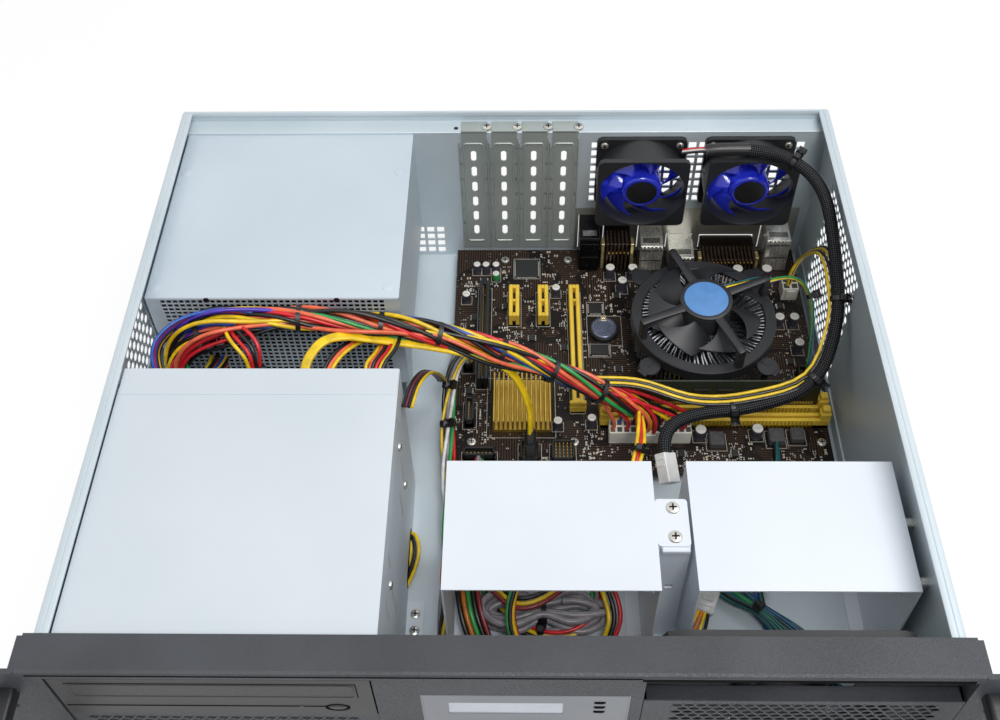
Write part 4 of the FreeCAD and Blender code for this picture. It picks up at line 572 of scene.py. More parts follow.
@dataclass(frozen=True)
class Finish:
    """A material: its colours, its gloss and the grain of its surface, in millimetres."""

    name: str
    colour: str
    shade: str
    roughness: float
    metallic: float = 0.0
    drift: float = 60.0
    grain: float = 0.6
    depth: float = 0.01
    gloss_spread: float = 0.06
    relief: Relief = Relief.GRIT
    tinted: bool = False
    sockets: tuple[tuple[str, float], ...] = ()

    def material(self) -> bpy.types.Material:
        """Build the material once and return it.

        Returns:
            The material.
        """
        known = bpy.data.materials.get(self.name)
        if known:
            return known
        material = bpy.data.materials.new(self.name)
        material.use_nodes = True
        tree = material.node_tree
        place = add_node(tree, "TexCoord").outputs["Object"]
        amount = remap(tree, noise(tree, place, self.drift, 4.0), (0.35, 0.65))
        colour = blend(tree, amount, srgb(self.colour), srgb(self.shade))
        if self.tinted:
            tint = add_node(tree, "Attribute", {"attribute_name": "tint"}).outputs["Color"]
            colour = blend(tree, 1.0, tint, colour, "MULTIPLY")
        height, colour = self.surface(tree, place, colour)
        gloss = (self.roughness - self.gloss_spread, self.roughness + self.gloss_spread)
        bump = add_node(tree, "Bump", {"Distance": self.depth * MM, "Strength": 1.0, "Height": height})
        inputs = tree.nodes["Principled BSDF"].inputs
        for socket, source in (("Base Color", colour), ("Roughness", remap(tree, height, (0.3, 0.7), gloss)),
                               ("Normal", bump.outputs["Normal"])):
            tree.links.new(source, inputs[socket])
        for socket, value in (("Metallic", self.metallic), *self.sockets):
            inputs[socket].default_value = value
        return material

    def surface(self, tree: Tree, place: Socket, colour: Socket) -> tuple[Socket, Socket]:
        """Draw the grain.

        Args:
            tree: the material's node tree.
            place: the coordinates that the grain follows.
            colour: the colour so far.

        Returns:
            The height of the grain, and the colour with what the grain adds to it.
        """
        if self.relief is Relief.BRAID:
            return self.braid(tree, colour)
        if self.relief is Relief.TRACES:
            colour = self.traces(tree, place, colour)
        if self.relief is Relief.ROLLED:
            place = add_node(tree, "Mapping", {"Scale": (1.0, 0.04, 1.0), "Vector": place}).outputs["Vector"]
        return noise(tree, place, self.grain, 2.0), colour

    def braid(self, tree: Tree, colour: Socket) -> tuple[Socket, Socket]:
        """Cross two sets of slanting strands: the product of two sines of along plus and minus around.

        Args:
            tree: the material's node tree.
            colour: the colour so far.

        Returns:
            The height of the weave, and the colour with a painted highlight on its crossings.
        """
        weave = add_node(tree, "Attribute", {"attribute_name": "weave"}).outputs["Vector"]
        axes = add_node(tree, "SeparateXYZ", {"Vector": weave}).outputs
        waves = []
        for operation in ("ADD", "SUBTRACT"):
            slant = compute(tree, operation, axes["X"], axes["Y"])
            waves.append(compute(tree, "SINE", compute(tree, "MULTIPLY", slant, math.tau / self.grain)))
        cross = compute(tree, "MULTIPLY", *waves)
        # The crossings are blended towards grey: a painted highlight where the strands cross.
        lit = blend(tree, remap(tree, cross, (0.25, 0.8)), colour, srgb("#54565A"))
        return remap(tree, cross, (-1.0, 1.0)), lit

    def traces(self, tree: Tree, place: Socket, colour: Socket) -> Socket:
        """Lay copper lines under the lacquer, in patches that run along or across, and scatter pale pads.

        Args:
            tree: the material's node tree.
            place: the coordinates that the lines follow.
            colour: the colour so far.

        Returns:
            The colour with the lines and pads.
        """
        zones = noise(tree, place, 30, 1.0)
        pitch = 1.7
        for direction, operation, level in (("X", "GREATER_THAN", 0.54), ("Y", "LESS_THAN", 0.46)):
            bands = add_node(tree, "TexWave", {
                "wave_type": "BANDS", "bands_direction": direction, "Scale": math.tau / (20 * pitch * MM),
                "Distortion": 0.6, "Detail": 0.0, "Detail Scale": 0.02, "Vector": place})
            line = compute(tree, "GREATER_THAN", bands.outputs["Fac"], 0.78)
            shown = compute(tree, "MULTIPLY", line, compute(tree, operation, zones, level))
            colour = blend(tree, shown, colour, srgb("#4A372A"))
        spots = add_node(tree, "TexVoronoi", {"Scale": 1 / (3.0 * MM), "Vector": place}).outputs["Distance"]
        return blend(tree, compute(tree, "LESS_THAN", spots, 0.13), colour, srgb("#9A958A"))


# Zinc-plated sheet, rolled: pale blue-grey, satin, with a faint streak along the rolling
STEEL = Finish("zinc_plated_sheet_rolled", "#C9D4DA", "#BFCBD2", 0.42, 0.2, 90, 0.9, 0.006, 0.05,
               Relief.ROLLED)
# Zinc-plated sheet, dulled by handling: a warmer grey than the body round it
DULL = Finish("zinc_plated_sheet_dulled", "#AEB5B2", "#A2AAA7", 0.46, 0.35, 60, 0.9, 0.006, 0.05,
              Relief.ROLLED)
# Bright plated sheet, lacquered: nearly white, smooth, with soft reflections
BRIGHT = Finish("bright_plated_sheet_lacquered", "#DDE3EA", "#D6DDE5", 0.38, 0.15, 120, 0.8, 0.005, 0.04)
# The wide drive cage: plated sheet with a satin face, painted a little greyer than the small cages as shade
# for the weaker light on it
SHADED_SHEET = Finish("plated_sheet_painted_shade", "#D0D8DE", "#C9D2D9", 0.42, 0.2, 110, 0.8, 0.005, 0.04)
# The supply's case: the same sheet, left a shade bluer
CASE = Finish("plated_sheet_smooth", "#CAD5DE", "#C2CED8", 0.4, 0.25, 100, 0.8, 0.005, 0.04, Relief.ROLLED)
# ABS moulded in an etched tool: dark grey with fine grit that breaks up the highlights
BEZEL = Finish("abs_moulded_etched", "#3D4045", "#34363B", 0.58, 0.0, 40, 0.9, 0.14, 0.12)
# ABS moulded smooth: mid grey, a soft even sheen
PANEL = Finish("abs_moulded_satin", "#7C8086", "#757980", 0.4, 0.0, 50, 0.5, 0.008, 0.05)
# Glass-filled nylon, moulded: near black, slightly dusty, with broad highlights
BLACK = Finish("nylon_moulded_black", "#232427", "#1B1C1F", 0.45, 0.0, 30, 0.5, 0.012, 0.08)
# Steel under black powder coat: deep black with a fine orange peel
HANDLE = Finish("powder_coated_steel", "#1E1F22", "#17181B", 0.36, 0.0, 30, 1.4, 0.03, 0.05)
# Polycarbonate, dyed and moulded clear: deep blue where it is thick, bright where light passes
BLUE = Finish("polycarbonate_moulded_blue", "#3A4DFF", "#2A3AEA", 0.16, 0.0, 20, 2.0, 0.004, 0.04,
              sockets=(("Transmission Weight", 0.55), ("IOR", 1.58)))
# Acrylic window, polished: pale grey over the display
WINDOW = Finish("acrylic_polished", "#C3C8D2", "#B8BEC9", 0.14, 0.0, 20, 2.0, 0.002, 0.03)
# Tin-plated sheet, stamped: an even, dull grey with soft reflections
TINNED = Finish("tin_plated_sheet_stamped", "#B2B1A9", "#AAA9A1", 0.44, 0.6, 50, 1.0, 0.006, 0.03)
# Glass-fibre laminate under dark lacquer: brown, semi-gloss, with copper lines showing through
LAMINATE = Finish("glass_laminate_lacquered", "#17110E", "#120D0B", 0.48, 0.0, 18, 0.6, 0.02, 0.08,
                  Relief.TRACES, sockets=(("Specular IOR Level", 0.2),))
# Connector and component plastics, moulded, coloured piece by piece
MOULDED = Finish("pbt_moulded_coloured", "#FFFFFF", "#EFEFEF", 0.42, 0.0, 8, 0.4, 0.01, 0.08, tinted=True)
# Nickel-plated brass and steel: bright shells with small scratches
NICKEL = Finish("nickel_plated_shell", "#D6D4CC", "#BEBCB4", 0.28, 1.0, 12, 0.5, 0.008, 0.1)
# Tin-plated parts of the board, coloured piece by piece
PLATED = Finish("tin_plated_parts", "#FFFFFF", "#DCDCDC", 0.24, 0.8, 6, 0.4, 0.006, 0.1, tinted=True)
# Aluminium, extruded: bright edges with fine drawing lines
ALUMINIUM = Finish("aluminium_extruded", "#D5D8DB", "#BFC3C7", 0.32, 1.0, 10, 0.4, 0.01, 0.08, Relief.ROLLED)
# Aluminium, anodised: warm gold, satin
GOLD = Finish("aluminium_anodised_gold", "#D3B45A", "#BE9E45", 0.36, 0.85, 10, 0.4, 0.008, 0.06)
# PVC insulation, extruded: clear colours with a soft waxy gloss
JACKET = Finish("pvc_extruded_jacket", "#FFFFFF", "#DADADA", 0.34, 0.0, 6, 0.8, 0.01, 0.06, tinted=True)
# Polyester braid, woven: black, with a painted highlight on the crossings, drawn coarser than real so that it
# shows
SLEEVE = Finish("polyester_braided_sleeve", "#0C0C0E", "#08080A", 0.6, 0.0, 10, 2.8, 0.25, 0.1, Relief.BRAID,
                sockets=(("Specular IOR Level", 0.15),))
# Chloroprene seal, moulded: dead black that takes up the light in joints and recesses; the line under the
# bezel's lip and the patch on the drive cage's outlet are painted shade in it
SEAL = Finish("chloroprene_moulded_seal", "#0C0C0D", "#080809", 0.9, 0.0, 6, 0.5, 0.03, 0.1,
              sockets=(("Specular IOR Level", 0.08),))
# Nylon ties, moulded: plain black with a soft sheen; the discs in the rear ledge's hole and in the supply
# lip's holes are painted shade in it
TIE = Finish("nylon_moulded_tie", "#1A1A1C", "#131315", 0.38, 0.0, 6, 0.4, 0.01, 0.06)


# Pieces

def corners(node: str) -> tuple[Array, Array]:
    """The low and high corner of a CAD node, in millimetres."""
    low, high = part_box(node)
    return np.array(low) / MM, np.array(high) / MM


def seal(mesh: bpy.types.Mesh) -> None:
    """Merge doubled points and turn every face outwards.

    Args:
        mesh: the mesh, which is changed.
    """
    work = bmesh.new()
    work.from_mesh(mesh)
    bmesh.ops.remove_doubles(work, verts=work.verts, dist=1e-6)
    bmesh.ops.recalc_face_normals(work, faces=work.faces)
    work.to_mesh(mesh)
    work.free()


def add_piece(name: str, surface: Surface, finish: Finish, body: str = "chassis",
              replaces: tuple[str, ...] = (), smooth: float | None = 35, closed: bool = False) -> Object:
    """Make an object of a surface, dress it and put it on a body.

    Args:
        name: the piece's name.
        surface: its mesh, in millimetres.
        finish: its material.
        body: the body that it moves with.
        replaces: CAD nodes that it stands for.
        smooth: the angle in degrees under which edges are shaded smooth, or None for flat faces.
        closed: whether doubled points are merged and faces turned outwards.

    Returns:
        The object.
    """
    mesh = bpy.data.meshes.new(name)
    loops = np.concatenate([rows.ravel() for rows in surface.faces])
    totals = np.concatenate([np.full(len(rows), rows.shape[1]) for rows in surface.faces])
    mesh.vertices.add(len(surface.points))
    mesh.vertices.foreach_set("co", (surface.points * MM).astype(np.float32).ravel())
    mesh.loops.add(len(loops))
    mesh.loops.foreach_set("vertex_index", loops.astype(np.int32))
    mesh.polygons.add(len(totals))
    mesh.polygons.foreach_set("loop_start", np.concatenate([[0], np.cumsum(totals)[:-1]]).astype(np.int32))
    mesh.update(calc_edges=True)
    for label, values, kind, channel in (("tint", surface.tint, "FLOAT_COLOR", "color"),
                                         ("weave", surface.weave, "FLOAT_VECTOR", "vector")):
        if values is not None:
            mesh.attributes.new(label, kind, "POINT").data.foreach_set(channel, values.ravel())
    if closed:
        seal(mesh)
    if smooth is not None:
        mesh.shade_smooth()
        mesh.set_sharp_from_angle(angle=math.radians(smooth))
    mesh.validate()
    mesh.materials.append(finish.material())
    piece = bpy.data.objects.new(name, mesh)
    bpy.context.scene.collection.objects.link(piece)
    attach(piece, body)
    if replaces:
        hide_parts(*replaces)
    log.info("%s: %d faces on %s", name, len(totals), body)
    return piece


def add_cord_piece(name: str, surface: Surface, finish: Finish = JACKET, smooth: float = 60) -> Object:
    """Make a piece that belongs to a cord."""
    return add_piece(name, surface, finish, smooth=smooth)


def dress(finish: Finish, *nodes: str) -> None:
    """Give CAD nodes a finish."""
    for node in nodes:
        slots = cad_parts[node].data.materials
        slots.clear()
        slots.append(finish.material())


# Wiring

INK, SALMON, RED, AMBER, ORANGE, MAROON = "#141416", "#F2724E", "#D8222E", "#F5CE1E", "#C8721E", "#8A2A2E"
VIOLET, BLUE_WIRE, NAVY, TEAL, GREEN = "#4A31B4", "#1E54B0", "#12507A", "#0E5A5E", "#2E9B4E"
GREY, WHITE = "#8F8B90", "#E8E8E6"


@dataclass
class Lead:
    """A cord: its node, its route's control points, the strands in it and the ties round it.

    Strands are pairs of a colour and a radius. A cord without strands is a braided sleeve.
    """

    node: str
    diameter: float
    length: float
    far_end: str
    route: list[Point]
    strands: list[tuple[str, float]] = field(default_factory=list)
    ties: tuple[float, ...] = ()
    spread: float = 1.0
    twist: float = 160.0
    flat: float = 0.0
    stiffness: str = "medium"
    lay: str = "loose"

    def line(self) -> Array:
        """Read the points of the route's NURBS spline, in millimetres.

        Returns:
            The points.
        """
        curve = bpy.data.curves.new(self.node, "CURVE")
        curve.dimensions = "3D"
        spline = curve.splines.new("NURBS")
        spline.points.add(len(self.route) - 1)
        spline.points.foreach_set("co", np.insert(np.array(self.route) * MM, 3, 1.0, axis=1).ravel())
        spline.order_u = 3
        spline.use_endpoint_u = True
        guide = bpy.data.objects.new(self.node + "_guide", curve)
        mesh = bpy.data.meshes.new_from_object(guide)
        points = np.empty(len(mesh.vertices) * 3)
        mesh.vertices.foreach_get("co", points)
        bpy.data.meshes.remove(mesh)
        bpy.data.objects.remove(guide)
        bpy.data.curves.remove(curve)
        return points.reshape(-1, 3) / MM

    def places(self, line: Array) -> Array:
        """Pack the strands side by side in rings that turn slowly and loosen between the ties.

        Strand k has radius r and angle a + s / twist, where s is the length along the line, and both sway
        a little with sines of s.

        Args:
            line: points along the cord.

        Returns:
            How far each strand lies from the line at each of its points.
        """
        count = len(self.strands)
        ring = np.concatenate([np.full(max(6 * n, 1), n) for n in range(4)])[:count]
        turn = np.concatenate([np.arange(max(6 * n, 1)) / max(6 * n, 1) for n in range(4)])[:count]
        step = 2 * max(radius for _, radius in self.strands) * 0.94
        s = travelled(line)[None]
        seed = np.arange(count)[:, None] * 2.399
        loose = 1 + (self.spread - 1) * np.sin(np.pi * s / s[0, -1]) ** 2
        radius = ring[:, None] * step * loose * (1 + 0.12 * np.sin(s / 23 + seed))
        angle = math.tau * turn[:, None] + s / self.twist * math.tau + 0.35 * np.sin(s / 41 + seed * 3)
        return np.stack([radius * np.cos(angle), radius * np.sin(angle)], axis=-1)

    def tie(self, line: Array, share: float, number: int) -> Object:
        """Wrap a band with a square head and a cut tail round the bundle, at a share of its length.

        Args:
            line: points along the cord.
            share: where the tie sits.
            number: the number in its name.

        Returns:
            The tie.
        """
        s = travelled(line)
        at = int(np.searchsorted(s, share * s[-1]))
        radius = self.diameter / 2 * 1.06
        half, thick = 1.4, 0.9
        section = np.array([(-half, 0.0), (half, 0.0), (half, thick), (-half, thick)])
        ray = np.insert(rays(24), 0, 0.0, axis=1)
        rings = ray[:, None] * (radius + section[None, :, 1:]) + np.eye(3)[0] * section[None, :, :1]
        head = slabs((-2.2, radius - 0.6, -2.2), (2.2, radius + 3.0, 2.2), 0.6)
        tail = slabs((-1.1, radius + 1.0, -2.0), (1.1, radius + 1.9, -7.5), 0.3)
        band = fitted(join(loft(rings, ring=True), head, tail), line, at)
        return add_cord_piece(f"{self.node}_tie_{number}", band, TIE, 35)

    def jacket(self, line: Array) -> Surface:
        """Make the strands, each painted its own colour, or one flat ribbon, or a sleeve.

        Args:
            line: points along the cord.

        Returns:
            The cord's surface.
        """
        if not self.strands:
            return swept(line, oval(self.diameter, self.diameter, 20))
        if self.flat:
            return swept(line, obround(self.flat, self.diameter * 0.8, 24)).painted(self.strands[0][0])
        return join(*[strand(line, *row, place) for row, place in zip(self.strands, self.places(line))])

    def plug(self) -> Object:
        """Make the free end's connector: a housing with a latch and ribs, in line with the cord.

        Returns:
            The connector.
        """
        housing = slabs([(-3, -4, -5.5), (2, -5.2, -1.6), (0, -3.0, -5.9), (4, -3.0, -5.9)],
                        [(15, 4, 5.5), (14, -3.8, 1.6), (1.2, 3.0, 5.9), (5.2, 3.0, 5.9)], 0.5)
        housing = fitted(housing.painted(INK if self.strands else WHITE), self.line())
        return add_cord_piece(self.node + "_connector", housing, MOULDED, 35)

    def lay_out(self, extra: list[Object]) -> None:
        """Args:
            extra: branches and other pieces on the cord.
        """
        line = self.line()
        cord = add_piece(self.node + "_strands", self.jacket(line), JACKET if self.strands else SLEEVE,
                         replaces=(self.node,), smooth=60)
        pieces = [self.tie(line, share, number) for number, share in enumerate(self.ties)] + extra
        if self.far_end == "connector":
            pieces.append(self.plug())


@dataclass
class Branch:
    """A few strands led off a cord along a smooth line.

    housing is the colour of the connector on their end, and fan is how far they spread in the middle.
    """

    name: str
    route: list[Point]
    colours: list[str]
    housing: str | None = None
    radius: float = 1.15
    fan: float = 0.0

    def build(self) -> Object:
        """Lay the strands side by side, with their connector.

        Returns:
            The branch.
        """
        line = smooth_line(self.route, 48)
        share = np.linspace(0, 1, len(line))
        swell = np.sin(np.pi * share)
        middle = (len(self.colours) - 1) / 2
        parts = []
        for number, colour in enumerate(self.colours):
            across = (number - middle) * (1.9 * self.radius + self.fan * swell ** 2)
            lift = self.fan * 0.6 * np.sin(2.1 * number + 4.0 * share) * swell
            parts.append(strand(line, colour, self.radius, np.stack([lift, across], axis=-1)))
        if self.housing:
            half = len(self.colours) * self.radius + 1.4
            inset = half - 1.5
            block = slabs([(-2, -3.6, -half), (1, -4.3, -inset), (4.5, -4.3, -inset)],
                          [(12, 3.6, half), (2.2, 4.3, inset), (5.7, 4.3, inset)], 0.5)
            parts.append(fitted(block.painted(self.housing), line))
        return add_cord_piece(self.name, join(*parts), smooth=50)


@dataclass
class Loose:
    """Strands that bow out of a cord between two shares of its length and come back to it.

    bulge is how far the outermost strand bows, and start is the angle of the first strand round the line, in
    radians from its upper side.
    """

    name: str
    span: Pair
    colours: list[str]
    bulge: float
    start: float
    turn: float = 4.4
    radius: float = 1.3

    def build(self, lead: Lead) -> Object:
        """Bow the strands: 0.36 of the cord's diameter away, plus bulge times the square of a half sine.

        Args:
            lead: the cord that they belong to.

        Returns:
            The strands.
        """
        line = lead.line()
        shares = np.linspace(*self.span, 56)
        s = shares * travelled(line)[-1]
        swell = np.sin(np.pi * np.linspace(0, 1, len(s))) ** 2
        strands = []
        for number, colour in enumerate(self.colours):
            angle = self.start + self.turn * (number + 0.5) / len(self.colours)
            angle = angle + 0.5 * np.sin(s / 31 + 2.4 * number)
            bow = self.bulge * (0.45 + 0.55 * math.sin(1.7 * number + 1) ** 2)
            reach = lead.diameter * 0.36 + bow * swell
            offset = np.stack([reach * np.cos(angle), reach * np.sin(angle)], axis=-1)
            strands.append(strand(part_of(line, shares), colour, self.radius, offset))
        return add_cord_piece(self.name, join(*strands))


def same(colours: list[str], radius: float) -> list[tuple[str, float]]:
    """Give strands of different colours one radius."""
    return [(colour, radius) for colour in colours]


@dataclass
class Wiring:
    """All the cords of the server, with the strands and branches that belong to them."""

    leads: list[Lead] = field(default_factory=lambda: [
        Lead("main_power_bundle", 13, 383, "object", [
            (-178, 55.8, 60), (-178, 36, 60), (-197, 26, 84), (-182, 38, 113), (-135, 46, 116),
            (-78, 46.5, 110), (-22, 46, 94), (32, 40, 71.5), (74, 32, 50), (93, 32, 34), (93, 32, 22)],
            same([RED, SALMON, INK, AMBER, RED, SALMON, VIOLET, INK, AMBER, INK, RED, SALMON, INK, GREEN,
                  SALMON, RED, INK, AMBER, BLUE_WIRE], 1.35),
            (0.21, 0.36, 0.48, 0.58, 0.68, 0.77, 0.86), 1.2),
        Lead("data_cable", 7, 213, "object", [
            (-111, -9.5, 106), (-111, 3, 106), (-112, 16, 113), (-100, 33, 116), (-70, 37, 105),
            (-30, 40, 92), (4, 38, 80), (17, 28, 52), (17, 18, 32), (17, 18, 17)],
            same([AMBER], 1.2), flat=2.4),
        Lead("fan_lead", 8, 315, "connector", [
            (144, 178.5, 123.4), (164, 178, 123.6), (186, 170, 124), (205, 148, 118), (208, 112, 100),
            (208, 72, 82), (193, 38, 56), (152, 28, 47), (114, 23, 49), (95, 8, 51), (97.5, -6, 45)],
            ties=(0.14, 0.45, 0.62, 0.8)),
        Lead("drive_lead", 6, 87, "connector", [
            (84.3, 25.5, 44), (84.5, 9, 47), (79, -12, 43), (71, -34, 31), (66, -52, 19)],
            same([RED, AMBER, RED, INK, SALMON, AMBER], 1.2), (0.3, 0.62)),
        Lead("panel_lead", 6, 315, "object", [
            (-24.4, 88, 18), (-24.4, 88, 29), (-35, 68, 31), (-36.5, 28, 14), (-32.2, -18, 6.2),
            (-32.4, -72, 6.2), (-32.4, -118, 13), (-15, -150, 45), (-3, -151, 74), (-3, -165.9, 74)],
            [(GREY, 1.9), (GREY, 1.5), (RED, 1.2), (GREEN, 1.2), (WHITE, 1.2), (AMBER, 1.0), (INK, 1.2)],
            (0.127, 0.203)),
        Lead("cooler_lead", 3.6, 101, "object", [
            (174.7, 121.9, 58), (184, 126, 58), (199, 131, 50), (207, 120, 40), (206, 104, 32), (203, 90, 29),
            (198.6, 74, 28), (198.6, 74, 17)], same([TEAL, GREEN, AMBER, BLUE_WIRE], 0.7), (0.4,)),
        Lead("front_fan_lead", 6, 193, "object", [
            (173.6, 25, 12.5), (173.6, 11, 12.5), (166, -10, 11), (152, -42, 4.8), (148, -84, 4.6),
            (166, -118, 6), (192, -130, 10), (192, -146, 10)],
            same([TEAL, TEAL, INK, TEAL, BLUE_WIRE], 1.0), (0.5, 0.72)),
        Lead("cage_lead", 7, 361, "object", [
            (-15, 13, 13.5), (-15, -1, 13.5), (-18, -24, 6.4), (-16, -58, 5.4), (2, -92, 5.6), (36, -103, 8),
            (60, -82, 13), (42, -56, 18), (12, -62, 20), (2, -94, 22), (14, -128, 36), (21, -150, 60),
            (21, -151, 80), (21, -165.9, 80)], same([GREY, GREY, RED, AMBER, INK, GREEN], 1.25), (0.36, 0.6)),
    ])
    loose: list[Loose] = field(default_factory=lambda: [
        Loose("loose_strands_left", (0.1, 0.36),
              [INK, AMBER, VIOLET, INK, AMBER, RED, SALMON, RED, INK], 9.0, 0.2),
        Loose("loose_strands_middle", (0.34, 0.58),
              [INK, INK, SALMON, RED, RED, SALMON, AMBER, INK], 7.0, 0.2),
        Loose("loose_strands_right", (0.56, 0.78), [INK, AMBER, SALMON, GREEN, INK, RED, VIOLET], 5.0, -0.4),
    ])
    branches: dict[str, list[Branch]] = field(default_factory=lambda: {
        "main_power_bundle": [
            Branch("drive_power_drop", [
                (-62, 46, 107), (-65, 43, 101), (-67.3, 30, 104.5), (-72, 18, 107), (-74, 10, 100),
                (-74, 7, 92)], [INK, AMBER, RED, INK, SALMON, AMBER], INK, fan=0.8),
            Branch("drive_power_side", [
                (-74, 45.5, 107), (-81, 42, 101), (-88.5, 33, 105.5), (-95, 23, 108), (-99.5, 13, 106),
                (-100.5, 8, 94)], [AMBER, SALMON, INK], fan=0.3),
            Branch("spare_power_drop", [(-160, 42, 115), (-152, 30, 120), (-143, 20, 117), (-141, 14, 106)],
                   [RED, INK, RED, AMBER], INK, fan=1.6),
            Branch("low_loop", [
                (-188, 14, 88), (-195.5, 12, 103), (-198.5, 21, 113), (-194.5, 30, 118), (-183, 39, 120.5),
                (-164, 44.5, 121), (-146, 46, 117)], [BLUE_WIRE, RED, VIOLET, INK, AMBER, INK], fan=0.3)],
        "fan_lead": [
            Branch("processor_power_wires", [
                (56, 38, 62), (84, 39, 58), (118, 31, 52.5), (152, 33.5, 52), (188, 43, 60), (203.5, 70, 80),
                (206, 98, 90), (206, 122, 86), (205, 142, 64), (203, 152, 45), (199.5, 151.5, 33),
                (199.1, 150.5, 21)], [AMBER, INK, AMBER, INK], radius=1.05, fan=0.3),
            Branch("fan_feed_wires", [
                (118, 186, 114), (124, 184, 117), (130, 181, 120.5), (136, 178.5, 122.6)],
                [RED, WHITE, INK], radius=0.9)],
        "cage_lead": [
            Branch("cage_wires_left", [(-21, -58, 26), (-20, -76, 22), (-17, -92, 17), (-11, -107, 9)],
                   [MAROON, INK, GREEN, ORANGE, INK], radius=1.5),
            Branch("cage_wires_right", [(54, -66, 26), (61, -80, 22), (64, -94, 16), (58, -108, 7)],
                   [RED, INK, AMBER], radius=1.4, fan=0.8),
            Branch("cage_wires_over", [(-4, -76, 18), (8, -86, 20), (24, -83, 21), (44, -68, 22)],
                   [INK, AMBER, MAROON], radius=1.3, fan=0.6),
            Branch("cage_wires_front", [(-12, -104, 8), (6, -107, 7), (28, -104, 9), (52, -105, 6)],
                   [INK, RED], radius=1.4, fan=1.0)],
        "front_fan_lead": [
            Branch("front_fan_wires", [
                (126, -60, 6), (137, -75, 9), (147, -84, 11), (160, -96, 9), (174, -112, 7)],
                [TEAL, NAVY, TEAL, INK, TEAL, GREEN, NAVY, TEAL, INK, TEAL], radius=1.1, fan=-1.3),
            Branch("spare_white_plug", [(104, -112, 5), (108, -103, 8), (112.5, -94, 11), (116, -86, 13)],
                   [AMBER, "#E8791E", AMBER, INK], WHITE, 1.0, 0.8)],
        "panel_lead": [
            Branch("panel_ribbon", [
                (-52, -12, 108), (-49, 6, 104), (-45, 26, 88), (-42, 44, 62), (-40.5, 56, 40), (-40, 62, 28)],
                [INK, "#6B2A3A", INK, AMBER], radius=0.9),
            Branch("cage_side_loop", [
                (-58, -37, 8), (-54.4, -40, 9), (-52.6, -48, 8.5), (-54.2, -58, 7), (-58, -69, 6.5)],
                [AMBER, INK, AMBER], radius=1.1, fan=0.4)],
    })

    def coil(self) -> Object:
        """Wind spare length into a tied hank: x = a cos t and y = b sin t, drawn in at the tie.

        The turns' a and b change in slow waves, so that they differ in size and lie over each other.

        Returns:
            The hank.
        """
        t = np.linspace(0.6, 6 * math.tau + 1.2, 330)
        drawn = 1 - 0.7 * np.exp(-(np.cos(t) / 0.4) ** 2)
        long, wide = 33 + 4 * np.sin(0.41 * t + 1), 10.5 + 5 * np.sin(0.77 * t)
        line = xyz(24 + long * np.cos(t), -87 + wide * drawn * np.sin(t),
                   6 + 1.7 * t / math.tau + 1.4 * np.sin(1.3 * t))
        tie = swept(np.array([(22.4, -87.0, 11.5), (25.4, -87.0, 11.5)]), oval(13.0, 17.0, 20)).painted(INK)
        return add_cord_piece("spare_hank", join(swept(line, oval(4.2, 4.2, 10)).painted(GREY), tie))

    def connector_fan(self) -> Object:
        """Spread strands from the end of the main bundle to the cells of the board's power socket.

        Returns:
            The strands.
        """
        start = part_of(self.leads[0].line(), np.array([0.83]))[0]
        above = np.array([0.0, 0.0, 1.0])
        colours = [SALMON, BLUE_WIRE, RED, INK, VIOLET, SALMON, INK, RED, AMBER, INK, RED, RED]
        parts = []
        for number, colour in enumerate(colours):
            end = np.array([67.0 + 52 / len(colours) * (number + 0.5), (29.5, 34.5)[number % 2], 20.5])
            away = 3.2 * np.array([0.0, math.sin(2.4 * number), math.cos(2.4 * number)])
            middle = start * 0.45 + end * 0.55 + 9 * above + away * 0.6
            parts.append(strand(smooth_line([start + away, middle, end + 11 * above, end], 28), colour, 1.2))
        return add_cord_piece("power_plug_strands", join(*parts))

    def build(self, cooler_wires: Object) -> None:
        """Make the pieces that belong to each cord, then lay out the cords.

        Args:
            cooler_wires: the wires between the cooler's motor and its cord.
        """
        extras = {lead.node: [branch.build() for branch in self.branches.get(lead.node, [])]
                  for lead in self.leads}
        extras["main_power_bundle"] += [loose.build(self.leads[0]) for loose in self.loose]
        extras["main_power_bundle"].append(self.connector_fan())
        extras["cooler_lead"].append(cooler_wires)
        extras["cage_lead"].append(self.coil())
        boot = smooth_line([
            (132, 178.6, 121.8), (139, 178.5, 123), (150, 178.3, 123.5), (160, 178, 123.6)], 24)
        extras["fan_lead"].append(add_cord_piece("fan_lead_boot", swept(boot, oval(8.8, 8.8, 20)), TIE))
        wrap = swept(np.array([(145.6, -82.5, 10.8), (149.0, -86.0, 11)]), oval(12.0, 7.0, 20))
        extras["front_fan_lead"].append(add_cord_piece("front_fan_wires_tie", wrap, TIE))
        plug = slabs([(13.6, 11.5, 16.6), (14.4, 12.5, 29)], [(20.4, 24.5, 30), (19.6, 23.5, 34)], 0.7)
        extras["data_cable"].append(add_cord_piece("data_cable_plug", plug.painted(INK), MOULDED, 35))
        for lead in self.leads:
            lead.lay_out(extras[lead.node])


# Sheet-metal body

